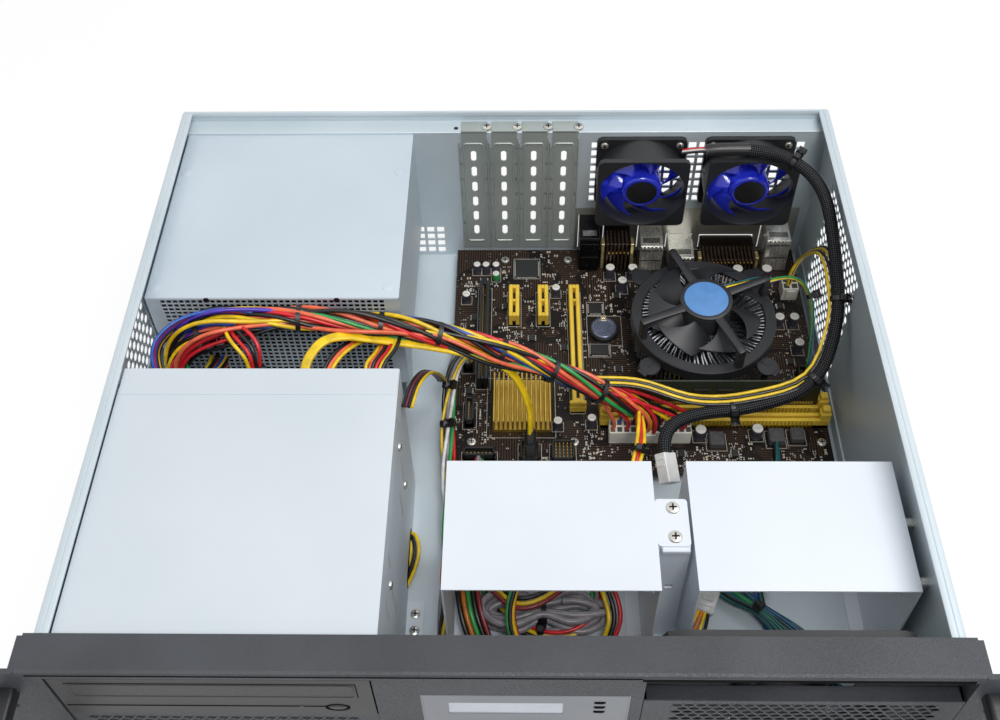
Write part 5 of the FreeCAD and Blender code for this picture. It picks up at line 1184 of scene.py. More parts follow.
@dataclass
class Chassis:
    """The steel body: hemmed side walls, the rear panel with its rim, and the slot covers."""

    vent_cell: float = 5.2
    vent_pitch: float = 7.2
    vent_skin: float = 0.4
    hex_pitch: Pair = (6.4, 5.6)
    hex_hole: Pair = (5.6, 4.9)
    gauge: float = 1.0
    ledge: float = 122.0
    slot_pitch: float = 20.32
    first_slot: float = -20.84
    slots: int = 4

    def slot_places(self) -> Array:
        """The middles of the slot covers along X."""
        return self.first_slot + self.slot_pitch * np.arange(self.slots)

    def wall(self, name: str, side: int, area: Box) -> None:
        """Make a side wall: a sheet with a vent, and a rolled hem along its top.

        The hem is one section carried along Y: a flat flange with a groove and round edges.

        Args:
            name: which wall it is.
            side: 1 for the right wall and -1 for the left one.
            area: the vent's edges along Y, then along Z.
        """
        low, high = corners(f"side_wall_{name}")
        outer = high[0] if side > 0 else low[0]
        depth, thin = (sorted((outer, outer - side * thick)) for thick in (self.gauge, self.vent_skin))
        vents = staggered(area, self.hex_pitch, oval(*self.hex_hole, 8), thin, "YZ")
        panel = sheet((low[1], high[1]), (low[2], high[2] - 1.4), [area], depth, "YZ")
        profile = [(0, 1.9), (0, 0.9), (0.3, 0.3), (1.0, 0), (3.2, 0), (3.6, 0.35), (4.0, 0), (6.2, 0),
                   (6.8, 0.3), (7, 1.0), (6.8, 1.7), (6.2, 2.0), (1.0, 2.0)]
        section = np.array([(outer - side * inward, high[2] - down) for inward, down in profile])
        hem = loft(tiers(1, (section, low[1]), (section, high[1] - 2)))
        add_piece(f"{name}_wall_sheet", join(panel, vents, hem), STEEL,
                  replaces=(f"side_wall_{name}",), closed=True)

    def rear_panel(self) -> Surface:
        """Make the rear panel: square vents and openings, and the ledge and rim carried along X.

        Returns:
            The panel.
        """
        low, high = corners("rear_panel")
        supply, shield = corners("psu_base"), corners("io_shield")
        inner, top, back, ledge = low[1], high[2], high[1], self.ledge
        holes = [(supply[0][0] + 4, supply[1][0] - 4, supply[0][2] + 4, supply[1][2] - 3),
                 (shield[0][0], shield[1][0], shield[0][2], shield[1][2])]
        holes += [(x - 6.2, x + 6.2, 14.0, 111.0) for x in self.slot_places()]
        holes += hole_grid((58.6, 58.0), self.vent_cell, self.vent_pitch, 20, 8)
        holes += hole_grid((-64.2, 4.2), self.vent_cell, self.vent_pitch, 3, 4)
        face = sheet((low[0], high[0]), (low[2], ledge + 0.4), holes, (inner, inner + self.gauge), "XZ")
        profile = np.array([
            (inner, ledge + 0.3), (inner + 0.3, ledge), (back - 0.4, ledge), (back, ledge + 0.4),
            (back, top - 0.6), (back - 0.4, top), (back - 1.6, top), (back - 2, top - 0.6),
            (back - 2, top - 3), (back - 1, top - 3), (back - 1, ledge + 1), (inner + 0.3, ledge + 1),
            (inner, ledge + 0.7)])
        return join(face, loft(tiers(0, (profile, low[0]), (profile, high[0]))))

    def slot_covers(self) -> Surface:
        """Make the slot covers: plates with round-ended slots, turned edges, a pressed frame and a tab.

        Returns:
            The covers.
        """
        low, high = corners("slot_covers")
        front, back = low[1], low[1] + 0.8
        foot, top = low[2], high[2]
        count, pitch, first, half, inset = 6, 14.6, 29.2, 9.2, 1.4
        border = rounded_rectangle(12.8, 96.0, 2.0)
        parts = []
        for x in self.slot_places():
            left, right = x - half, x + half
            centres = np.stack([np.full(count, x), first + pitch * np.arange(count)], axis=-1)
            parts += [
                punched(centres, (2 * half, pitch), obround(3.7, 9.4), (front, back), "XZ"),
                slabs([(left, front, foot), (left + inset, front, first + pitch * (count - 0.5))],
                      [(right, back, first - pitch / 2), (right, back, top)], 0.0),
                slabs([(left - 0.6, front - 0.8, foot), (right, front - 0.8, foot)],
                      [(left, back, top - 9), (right + 0.6, back, top - 5)], 0.2),
                slabs((left + inset, front, top - 0.8), (right + 0.4, high[1], top), 0.2),
                edge_ring(border + np.array([x, first + pitch * 2.5]), 1.4, -0.6, front, "XZ")]
        return join(*parts)

    def drive_cage(self) -> None:
        """Add the wide cage's folded top strip, the pressed rims of its slots, and a dead-black patch painted
        as the shade in its cable outlet.
        """
        low, high = corners("drive_cage")
        side = high[0] - 10
        back, top = high[1:]
        # The folded strip is in the same greyer sheet, which is painted shade.
        fold = slabs((low[0] + 0.4, back - 17.5, top), (side - 0.4, back - 0.3, top + 0.35), 0.15)
        add_piece("drive_cage_fold", fold, SHADED_SHEET)
        spots = ((-27, 112, 12), (-34, 78, 24), (-52, 72, 24), (-103, 104, 12), (-108, 70, 24),
                 (-126, 96, 20))
        rims = [edge_ring(obround(2.6, tall, 24) + (y, z), 0.6, 0.14, side, "YZ") for y, z, tall in spots]
        add_piece("drive_cage_slots", join(*rims), DULL)
        # A dead-black patch over the cage's cable outlet: painted shade in the opening.
        rim = obround(38.0, 11.0, 48) + (-53.0, 9.0)
        outlet = loft(tiers(0, (rim, side - 0.4), (rim, side + 0.06)))
        add_piece("drive_cage_outlet_painted_shade", outlet, SEAL)

    def cage_post(self) -> Surface:
        """Make the bracket between the small cages: a tab with round corners, a front plate and two folds.

        Returns:
            The bracket.
        """
        low, high = corners("cage_post")
        left, front, foot = low
        right, _, top = high
        tab = rounded_rectangle(right - left - 1.6, high[1] - front, 2.0) + (low + high)[:2] / 2 - (0.8, 0.0)
        hole = (88, 92, 60, 64)
        plate = sheet((left + 1.5, right - 1.9), (foot, top - 1), [hole], (front, front + 1), "XZ")
        fold = slabs([(left + 2, front - 2.4, top - 4.2), (right - 2.2, front - 0.6, foot)],
                     [(right - 2, front + 0.5, top - 1.2), (right - 1.5, front + 0.5, top - 4)], 0.5)
        return join(loft(tiers(2, (tab, top - 1), (tab, top))), plate, fold)

    def build(self) -> None:
        """Build the body's pieces."""
        self.wall("right", 1, (76.0, 163.0, 9.0, 107.0))
        self.wall("left", -1, (14.0, 60.0, 79.0, 122.0))
        add_piece("rear_panel_sheet", self.rear_panel(), STEEL, replaces=("rear_panel",),
                  closed=True)
        add_piece("slot_cover_plates", self.slot_covers(), DULL, replaces=("slot_covers",),
                  closed=True)
        self.drive_cage()
        add_piece("cage_post_bracket", self.cage_post(), BRIGHT, replaces=("cage_post",))
        level = corners("slot_covers")[1][2] - 0.8
        # A black disc on the rear ledge: painted shade in the hole there.
        hole_shade = lathe([(1.5, -0.3), (1.5, 0.06), (0.2, 0.06)], (-32.0, 200.0, level), sides=20)
        add_piece("ledge_hole_painted_shade", hole_shade, TIE)
        dress(STEEL, "floor_pan", "psu_bracket")
        dress(HANDLE, "front_plate")
        dress(TINNED, "io_shield")
        # The wide cage takes the greyer sheet: painted shade.
        dress(SHADED_SHEET, "drive_cage")
        dress(BRIGHT, "hdd_cage_left", "hdd_cage_right")


@dataclass
class Fasteners:
    """Cross-head screws, pressed dimples and the pins that show as small bright heads."""

    head: str = "#D9D7D0"
    recess_shade: str = "#3A3936"

    def screw(self, place: Point, facing: str, radius: float) -> Surface:
        """Make a pan head by lathe, with a cross in it painted dark as the shade of its recess, turned to
        face an axis.

        Args:
            place: the middle of its seat.
            facing: the axis that its head faces.
            radius: the head's radius.

        Returns:
            The screw.
        """
        rows = ((1.0, 0), (1.0, 0.5), (0.9, 1.0), (0.6, 1.35), (0.2, 1.5))
        dome = lathe([(radius * share, height) for share, height in rows], sides=20).painted(self.head)
        # The cross is painted dark: painted shade in the head's recess.
        long, short = radius * 0.55, radius * 0.14
        cross = slabs([(-long, -short, 1.0), (-short, -long, 1.0)],
                      [(long, short, 1.52), (short, long, 1.52)], 0.05).painted(self.recess_shade)
        turn = {"Z": ("X", 0.0), "-Y": ("X", QUARTER), "X": ("Y", QUARTER)}[facing]
        return join(dome, cross).turned(*turn).moved(place)

    def build(self) -> None:
        """Set every screw where it holds something, and press the dimples into the supply's cover."""
        ledge, board, tab = (corners(node)[1][2] for node in ("slot_covers", "motherboard", "cage_post"))
        rows = [((x, 200.2, ledge), "Z", 3.3) for x in (-11.5, 8.8, 29.4, 49.7)]
        rows += [((x, y, board), "Z", 3.1)
                 for x, y in ((45.2, 182.8), (-0.5, 182.8), (-20.8, 27.9), (45.2, 27.9), (202.7, 27.9))]
        rows += [((90.0, y, tab), "Z", 3.6) for y in (-73.9, -90.5)]
        side = corners("drive_cage")[1][0] - 10
        rows += [((side, y, z), "X", 2.6) for y, z in ((-34.2, 102.0), (-110.6, 93.2), (-34.2, 62.0))]
        rows += [((-50.5, y, 2.0), "Z", 3.0) for y in (-95.0, -85.0)]
        for name in ("left", "right"):
            low, high = corners(f"hdd_cage_{name}")
            rows += [((high[0], y, z), "X", 2.4) for y in (low[1] + 12, high[1] - 14) for z in (24.0, 52.0)]
            low, high = corners(f"rear_fan_{name}_frame")
            rows += [((x, high[1] - 3.5, high[2] - 5.0), "-Y", 2.6) for x in (low[0] + 5, high[0] - 5)]
        add_piece("cross_head_screws", join(*[self.screw(*row) for row in rows]), PLATED)
        dimple = [(3.4, 0.0), (3.2, 0.35), (2.4, 0.5), (0.3, 0.55)]
        level = corners("psu_cover")[1][2] - 0.02
        marks = [lathe(dimple, (x, y, level), sides=24)
                 for x, y in ((-205.6, 161.0), (-67.3, 161.0), (-206.0, 64.0), (-67.6, 64.0))]
        add_piece("pressed_dimples", join(*marks), CASE)
        dress(NICKEL, "standoffs_and_spacers")


# Front

@dataclass
class FrontPanel:
    """The moulded front: perforated door and bay covers, bow handles, disc drive and status plate."""

    hole_pitch: Pair = (5.6, 4.2)
    hole: Pair = (4.7, 3.4)
    wall: float = 1.6
    skin: float = 0.4
    grip: float = 4.5
    bend: float = 9.5

    def perforated(self, span: Pair, height: Pair, margin: Box, depth: Pair) -> Surface:
        """Make a flat face with staggered ovals in it, up to margins at its left, right, bottom and top.

        Args:
            span: the face's ends along X.
            height: its ends along Z.
            margin: the width of each margin.
            depth: its two sides along Y.

        Returns:
            The face.
        """
        left, right, bottom, top = margin
        area = (span[0] + left, span[1] - right, height[0] + bottom, height[1] - top)
        ovals = staggered(area, self.hole_pitch, oval(*self.hole), depth, "XZ")
        return join(sheet(span, height, [area], depth, "XZ"), ovals)

    def door(self) -> None:
        """Make the fan door: a perforated face, side walls, a round foot and its two trunnions."""
        low, high = corners("fan_door")
        pin, radius, wall = 2.3, 3.75, self.wall
        left, right, foot, top = low[0] + pin, high[0] - pin, low[2] + radius, high[2]
        inner, back = low[1] + self.skin, high[1]
        front = self.perforated((left, right), (foot, top), (13, 9, 9, 3.4), (low[1], inner))
        sides = slabs([(left, inner, foot), (right - wall, inner, foot), (left, inner, top - wall)],
                      [(left + wall, back, top), (right, back, top), (right, back, top)], 0.3)
        axle = (low[1] + radius, low[2] + radius)
        width = right - left
        roll = lathe([(3.2, 0), (radius, 0.6), (radius, width - 0.6), (3.2, width)], (left, *axle), "X")
        pins = [lathe([(1.2, 0), (1.6, 0.4), (1.6, pin)], (low[0], *axle), "X", 20),
                lathe([(1.6, 0), (1.6, 1.9), (1.2, pin)], (right, *axle), "X", 20)]
        add_piece("fan_door_mesh", join(front, sides, roll, *pins), BEZEL, "fan_door",
                  ("fan_door",), closed=True)

    def bay_covers(self) -> None:
        """Make the two bay covers: a perforated face with a clip at each end."""
        low, high = corners("bay_covers")
        middle = (low[2] + high[2]) / 2 - 0.2
        inner = low[1] + self.wall
        parts = []
        for bottom, top in ((low[2], middle - 0.2), (middle + 0.2, high[2])):
            parts.append(self.perforated((low[0], high[0]), (bottom, top), (7, 7, 5, 4), (low[1], inner)))
            parts.append(slabs([(low[0], inner, bottom + 2), (high[0] - 2, inner, bottom + 2)],
                               [(low[0] + 2, high[1], top - 2), (high[0], high[1], top - 2)], 0.3))
        add_piece("bay_cover_mesh", join(*parts), BEZEL, replaces=("bay_covers",), closed=True)

    def handles(self) -> None:
        """Make the bow handles: a rounded square bar carried along two feet, two bends and a grip."""
        arc = np.linspace(0, QUARTER, 10)
        late, early = self.bend * (1 - np.sin(arc)), self.bend * (1 - np.cos(arc))
        for name in ("left", "right"):
            low, high = corners(f"handle_{name}")
            tip, foot, top = low[1] + self.grip, low[2] + self.grip, high[2] - self.grip
            y = np.concatenate([[high[1]], tip + late, tip + early, [high[1]]])
            z = np.concatenate([[foot], foot + early, top - late, [top]])
            bar = swept(xyz((low[0] + high[0]) / 2, y, z), rounded_square(self.grip, 2.0, 32))
            add_piece(f"bow_handle_{name}", bar, HANDLE, replaces=(f"handle_{name}",))

    def frame_line(self, node: str, margin: float, corner: float, width: float) -> Surface:
        """Raise a thin line round the front face of a node.

        Args:
            node: the CAD node that it lies on.
            margin: how far it is from the edges.
            corner: the radius of its corners.
            width: its width.

        Returns:
            The line.
        """
        low, high = corners(node)
        outline = rounded_rectangle(high[0] - low[0] - margin, high[2] - low[2] - margin, corner)
        return edge_ring(outline + ((low + high) / 2)[[0, 2]], width, -0.25, low[1] + 0.02, "XZ")

    def disc_drive(self) -> None:
        """Add the drive's moulded lines: the tray's panel, a pin hole's rim and the eject button's face."""
        line = self.frame_line("optical_drive_tray", 2, 3.0, 0.9)
        add_piece("tray_panel_line", line, BLACK, "disc_tray")
        low, high = corners("eject_button")
        x, _, z = (low + high) / 2
        face = corners("optical_drive_bezel")[0][1]
        wide, deep, _ = high - low
        dome = tiers(1, *[(oval(wide * share, 6.0 * share, 32), level) for share, level in
                          ((0.84, deep), (0.84, 0.6), (0.8, 0.25), (0.62, 0.06), (0.1, 0.0))])
        rim = edge_ring(oval(wide, 7.2, 48) + (x, z), 1.0, -0.28, face + 0.02, "XZ")
        step = slabs((corners("optical_drive_tray")[0][0] - 6, face - 0.22, z + 0.9),
                     (x - wide / 2, face + 0.05, z + 1.5), 0.1)
        add_piece("eject_button_cap", loft(dome + (x, low[1], z)), BLACK, "eject_button",
                  ("eject_button",), smooth=60)
        add_piece("eject_button_rim", join(rim, step), SEAL)
        pin = lathe([(0.7, -0.25), (1.1, -0.25), (1.3, 0.02)], (x - 17, face, z + 1), "Y", 20)
        add_piece("drive_pin_hole_rim", pin, BLACK)

    def status_plate(self) -> None:
        """Add the plate's raised edge and the caps of its three keys."""
        add_piece("status_plate_edge", self.frame_line("status_panel", 1.2, 0.8, 0.7), PANEL)
        cap = tiers(1, *[(obround(4.8 * share, 2.4 * share, 24), level) for share, level in
                         ((1.0, 4.6), (1.0, 0.4), (0.9, 0.1), (0.2, 0.0))])
        for name in ("panel_key_top", "panel_key_middle", "panel_key_bottom"):
            low, high = corners(name)
            x, _, z = (low + high) / 2
            add_piece(name + "_cap", loft(cap + (x, low[1], z)), SEAL, name, (name,),
                      smooth=50)

    def build(self) -> None:
        """Build the front's pieces and dress the CAD ones."""
        self.door()
        self.bay_covers()
        self.handles()
        self.disc_drive()
        self.status_plate()
        low, high = corners("bezel_frame")
        door = corners("fan_door")[0][0]
        # A dead-black strip along the bezel's lip: painted shadow under the lip's overhang, taller over the
        # door, where the recess behind it is in shade.
        front, back = low[1] - 0.04, low[1] + 0.3
        line = slabs([(low[0] + 5, front, 129.4), (door, front, 127.1)],
                     [(door, back, 130.7), (high[0] - 4, back, 129.9)], 0.02)
        add_piece("lip_painted_shadow_line", line, SEAL)
        dress(BEZEL, "bezel_frame", "rack_ears")
        dress(PANEL, "status_panel")
        dress(WINDOW, "display_window")
        dress(LAMINATE, "display_module")
        dress(CASE, "optical_drive")
        dress(BLACK, "optical_drive_bezel", "optical_drive_tray", "power_button", "reset_button")


# Power supply

@dataclass
class Supply:
    """The power supply: a case with square holes all over its front, and a wire guard at its exhaust."""

    cell: float = 2.6
    pitch: float = 3.7
    guard: float = 0.9
    lip: float = 12.4
    skin: float = 0.4
    exhaust: float = 76.0
    exhaust_half: float = 39.0

    def exhaust_guard(self, x: float, z: float, back: float) -> Surface:
        """Make the guard: four wire rings and two bars that cross behind them.

        Args:
            x: its middle along X.
            z: its middle along Z.
            back: where the case ends along Y.

        Returns:
            The guard.
        """
        wire = oval(2 * self.guard, 2 * self.guard, 8)
        parts = []
        for radius in (10.0, 19.0, 28.0, 37.0):
            flat = rays(64)[:, None] * (radius + wire[None, :, :1]) + (x, z)
            level = np.broadcast_to(back + 1.2 + wire[None, :, 1], flat.shape[:-1])
            parts.append(loft(oriented(flat, level, "XZ"), ring=True))
        reach = 29.4
        for up in (reach, -reach):
            line = np.linspace((x - reach, back + 2.4, z - up), (x + reach, back + 2.4, z + up), 6)
            parts.append(swept(line, wire))
        return join(*parts)

    def build(self) -> None:
        """Build the tray with its front and rear faces, the cover's lip with dark discs painted as shade in
        its two holes, a dark board slab that also gives painted shade behind the front's holes, and the
        guard.
        """
        low, high = corners("psu_base")
        left, front, foot = low
        right, back, _ = high
        inlet = corners("psu_inlet")
        top = corners("psu_cover")[1][2]
        seam = top - self.lip
        columns = int((right - left - 16) / self.pitch)
        start = ((left + right) / 2 - columns * self.pitch / 2 + 0.5, foot + 4)
        rows = round((seam - start[1]) / self.pitch)
        inside = (left + 1, right - 1)
        holes = hole_grid(start, self.cell, self.pitch, columns, rows)
        face = sheet(inside, (foot, seam + 0.3), holes, (front, front + self.skin), "XZ")
        x, _, z = sum(corners("psu_fan_frame")) / 2
        half, gauge = self.exhaust_half, (back - 1, back)
        holes = [(x - half, x + half, z - half, z + half),
                 (inlet[0][0], inlet[1][0], inlet[0][2], inlet[1][2])]
        rear = sheet(inside, (foot, high[2]), holes, gauge, "XZ")
        ring = punched([[x, z]], (2 * half, 2 * half), oval(self.exhaust, self.exhaust, 64), gauge, "XZ")
        floor = slabs(low, (right, back, foot + 1), 0.2)
        add_piece("supply_tray", join(face, rear, ring, floor), CASE, replaces=("psu_base",),
                  closed=True)
        lip = front - 0.1 - self.skin
        holes = hole_grid((start[0], start[1] + rows * self.pitch), self.cell, self.pitch, columns, 3)
        band = sheet((left + 0.6, right - 0.6), (seam, top - 0.4), holes, (lip, lip + self.skin), "XZ")
        add_piece("supply_cover_lip", band, CASE, closed=True)
        # Two black discs in the cover's lip: painted shade in its two round holes.
        sockets = [lathe([(1.9, -0.06), (1.9, 0.3)], (spot, lip, top - 1.7), "Y", 20)
                   for spot in (-174.0, -97.0)]
        add_piece("lip_holes_painted_shade", join(*sockets), TIE)
        add_piece("exhaust_guard", self.exhaust_guard(x, z, back), NICKEL, closed=True)
        # A dark laminate slab on the case's floor: it stands for the supply's board and is painted shade seen
        # through the front's holes.
        shade_bed = slabs((left + 3, front + 3, foot + 1), (right - 3, back - 34, foot + 2.6), 0.2)
        add_piece("supply_board_and_painted_shade", shade_bed, LAMINATE)
        dress(CASE, "psu_cover")
        dress(BLACK, "psu_inlet", "psu_switch", "psu_fan_frame", "psu_fan_rotor")


# Fans

def blades(count: int, root: float, tip: float, rise: Pair, middle: float, sweep: float, width: Pair,
           thick: float) -> Surface:
    """Make swept, twisted fan blades round the Z axis.

    At share u from root to tip and share t across the blade, the angle is the blade's own plus sweep u^1.4
    plus t width, and the height is the middle plus t rise, with a camber of (1 - 4 t^2). The two sides are
    half a thickness above and below that, thinner towards the edges.

    Args:
        count: how many blades.
        root: the radius where they leave the hub.
        tip: the radius of their ends.
        rise: how much a blade climbs across its width, at root and tip.
        middle: the height of the blade's middle.
        sweep: how far the tip lies ahead of the root, in radians.
        width: the blade's width at root and tip, in radians.
        thick: its thickness.

    Returns:
        The blades.
    """
    u = np.linspace(0, 1, 9)[:, None]
    t = np.linspace(-0.5, 0.5, 11)[None]
    span = width[0] + (width[1] - width[0]) * u
    climb = rise[0] + (rise[1] - rise[0]) * u
    angle = sweep * u ** 1.4 + t * span
    radius = np.broadcast_to(root + (tip - root) * u, angle.shape)
    height = middle + t * climb + 0.12 * climb * (1 - 4 * t ** 2)
    edge = thick / 2 * (0.35 + 0.65 * np.sqrt(1 - (2 * t) ** 2 * 0.98))
    radius, angle = (np.concatenate([rows, rows[:, ::-1]], axis=1) for rows in (radius, angle))
    level = np.concatenate([height - edge, (height + edge)[:, ::-1]], axis=1)
    angle = angle + math.tau * np.arange(count)[:, None, None] / count
    return loft(xyz(radius * np.cos(angle), radius * np.sin(angle), level))


@dataclass
class CaseFan:
    """A square fan: its frame, its rotor and the plain disc on its hub."""

    name: str
    finish: Finish
    slot: str
    blades: int = 7
    wall: float = 1.5
    flange: float = 3.5
    hub_share: float = 0.45

    def housing(self, half: float, depth: float) -> Surface:
        """Make the frame: a closed profile that is square at the flanges and round between them.

        Each station is one outline, and the last joins the first: up the outside, over and down the bore.

        Args:
            half: half of its width.
            depth: its depth.

        Returns:
            The frame, round the Z axis.
        """
        square = rounded_square(half, half * 0.13)
        inner = half - self.wall
        waist, bore, mouth = (rays(96) * radius for radius in (half - 0.15, inner, inner + 0.6))
        near, far = self.flange, depth - self.flange
        rings = tiers(2, (square, 0), (square, near), (waist, near), (waist, far), (square, far),
                      (square, depth), (mouth, depth), (bore, depth - 2), (bore, 2), (mouth, 0))
        hub = half * self.hub_share
        seat = lathe([(hub - 0.6, 0), (hub, 0.6), (hub, 2)], sides=48)
        arm = slabs((hub - 1, -1.5, 0.2), (inner + 0.6, 1.5, 2), 0.4)
        return join(loft(rings, ring=True), seat, arm.spread(4, math.pi / 5))

    def build(self) -> None:
        """Build the frame and the rotor in the fan's own axes, then turn its axis to point forwards."""
        frame_node, body = f"{self.name}_frame", f"{self.name}_rotor"
        low, high = corners(frame_node)
        rotor_low, rotor_high = corners(body)
        half, depth = (high[0] - low[0]) / 2, high[1] - low[1]
        x, _, z = (low + high) / 2
        housing = self.housing(half, depth).turned("X", QUARTER).moved((x, high[1], z))
        add_piece(f"{self.name}_housing", housing, BLACK, replaces=(frame_node,), smooth=30)
        hub, tip = half * self.hub_share, half - self.wall - 1.2
        tall = rotor_high[1] - rotor_low[1]
        cup = lathe([(hub, 0), (hub, tall - 2.6), (hub - 0.3, tall - 1.2), (hub - 1.2, tall - 0.3),
                     (hub - 2.6, tall), (hub - 3.2, tall - 0.4)], sides=64)
        wings = blades(self.blades, hub - 0.4, tip, (tall * 0.62, tall * 0.5), tall * 0.5, 0.5, (0.62, 0.86),
                       1.3)
        disc = lathe([(hub - 3.3, tall - 0.5), (hub - 3.3, tall - 0.15), (hub - 3.6, tall - 0.05)], sides=48)
        rotor, disc = (part.turned("X", QUARTER).moved((x, rotor_high[1], z))
                       for part in (join(cup, wings), disc))
        add_piece(f"{self.name}_impeller", rotor, self.finish, body, (body,))
        add_piece(f"{self.name}_hub_disc", disc, TIE, body)


# Processor cooler

@dataclass
class Cooler:
    """The processor cooler: curved forked fins, a hooped frame with arms over the rotor, and push pins."""

    fins: int = 44
    fin_half: float = 0.42
    curl: float = 0.16
    turn: float = math.radians(23.5)
    pin_pitch: float = 75.0
    hoop_outer: float = 47.4
    hoop_inner: float = 40.0
    disc: str = "#5C90CC"

    def fin_ring(self, start: float, stop: float, curl: float, angles: Array, low: float,
                 high: float) -> Surface:
        """Stand thin fins on end: at radius r a fin lies at its own angle plus a curl that grows with r.

        Args:
            start: the radius of a fin's inner end.
            stop: the radius of its outer end.
            curl: the angle that it gains on the way, in radians.
            angles: each fin's own angle.
            low: the height of its foot.
            high: the height of its top.

        Returns:
            The fins.
        """
        share = np.linspace(0, 1, 5)[None, :, None]
        radius = start + (stop - start) * share
        angle = angles[:, None, None] + curl * share + self.fin_half / radius * np.array([-1, 1, 1, -1])
        rings = xyz(radius * np.cos(angle), radius * np.sin(angle), np.array([low, low, high, high]))
        return loft(rings[..., ::-1, :])

    def heatsink(self, low: Array, high: Array) -> Surface:
        """Make the core and its fins, each of which forks half way out.

        Args:
            low: the low corner of its box.
            high: the high corner of its box.

        Returns:
            The heatsink, round the Z axis.
        """
        foot, top, reach = low[2] + 3, high[2], (high[0] - low[0]) / 2
        own = math.tau * np.arange(self.fins) / self.fins
        fork = reach * 0.66
        inner = self.fin_ring(16.2, fork, self.curl, own, foot, top)
        lean = math.tau / self.fins / 4
        outer = [self.fin_ring(fork - 0.3, reach, 0.1 + side * lean * 0.4,
                               own + self.curl + side * lean * 0.6, foot, top) for side in (-1, 1)]
        core = lathe([(15.5, low[2]), (17, low[2] + 0.8), (17, top - 1), (16, top)], sides=48)
        return join(core, inner, *outer)

    def push_pin(self, foot: float, level: float) -> Surface:
        """Make one push pin on the X axis: a tab from the hoop, a turned cap with a slot, and its shank.

        Args:
            foot: the height of its lower end.
            level: the height of the fins' tops.

        Returns:
            The pin.
        """
        out = self.pin_pitch / math.sqrt(2)
        base, top = level - 7, level - 3
        cap = lathe([(5.6, base), (5.9, base + 0.4), (5.9, base + 1.8), (5.4, base + 2.2), (4.4, base + 2.2),
                     (4.4, top - 2.2), (6.6, top - 1.8), (7.0, top - 1.2), (7.0, top - 0.5), (6.5, top),
                     (0.3, top + 0.1)], (out, 0, 0))
        marks = slabs([(out - 6.0, -0.55, top), (out + 6.2, -3.4, top - 1.6)],
                      [(out + 1.5, 0.55, top + 0.5), (out + 8.6, 3.4, top - 0.2)], 0.2)
        return join(slabs((45.6, -3.2, base), (out, 3.2, base + 2), 0.4), cap,
                    lathe([(2.2, foot), (2.2, base)], (out, 0, 0), sides=16), marks)

    def hoop(self, foot: float, top: float, level: float) -> Surface:
        """Make the frame: a hoop with a skirt, four legs and arms, a hub plate, and four push pins.

        Args:
            foot: the height of the pins' lower ends.
            top: the height of the arms' upper side.
            level: the height of the fins' tops.

        Returns:
            The frame, round the Z axis.
        """
        outer, inner = self.hoop_outer, self.hoop_inner
        profile = [(outer - 1.4, -7), (outer, -6.6), (outer, 1.4), (outer - 0.6, 2), (inner + 0.6, 2),
                   (inner, 1.4), (inner, 0.3), (outer - 2, 0.3), (outer - 1.9, -7)]
        ring = loft(tiers(2, *[(rays(96) * radius, level + rise) for radius, rise in profile]), ring=True)
        taper = np.array([(15.0, 3.2, 1.4), (30.0, 2.6, 1.7), (42.0, 2.5, 1.9), (46.2, 2.5, 1.9),
                          (47.0, 2.0, 1.6)])
        across = np.array([-1.0, 1.0, 1.0, 0.6, -0.6, -1.0])
        lift = np.array([0.0, 0.0, 0.7, 1.0, 1.0, 0.7])
        radius, width, tall = taper.T[:, :, None]
        beam = loft(xyz(radius, width * across, top - 2 + tall * lift))
        leg = slabs((42.5, -2.5, level + 1), (47.0, 2.5, top - 0.4), 0.6)
        web = slabs((36.0, -0.7, level + 12), (43.0, 0.7, top - 1.8), 0.3)
        plate = lathe([(16.6, top - 1.9), (17, top - 1.5), (17, top - 0.5), (16.2, top - 0.1),
                       (14.6, top - 0.1), (14.3, top - 0.5)], sides=64)
        arms = join(beam, leg, web).spread(4, self.turn)
        return join(ring, arms, plate, self.push_pin(foot, level).spread(4, math.pi / 4))

    def wires(self, centre: Array, level: float) -> Object:
        """Lay the motor's wires along an arm, as distances along it, beside it and below its top.

        Args:
            centre: the cooler's middle.
            level: the height of the arms' tops.

        Returns:
            The wires.
        """
        ray = np.array([math.cos(self.turn), math.sin(self.turn), 0])
        side = np.array([-ray[1], ray[0], 0])
        path = [centre + ray * out + side * beside + (0, 0, level - down) for out, beside, down in (
            (12, 5.5, 2.4), (20, 4.6, 1.4), (30, 4.0, 2.2), (40, 3.6, 3.2), (45, 1.8, 4.2), (47.5, 0.0, 4.5))]
        line = smooth_line(path, 40)
        strands = [strand(line, colour, 0.65, np.tile(place, (len(line), 1))) for colour, place in
                   ((TEAL, (0.7, -0.5)), (GREEN, (-0.7, -0.4)), (AMBER, (0.0, 0.7)))]
        return add_cord_piece("cooler_motor_wires", join(*strands))

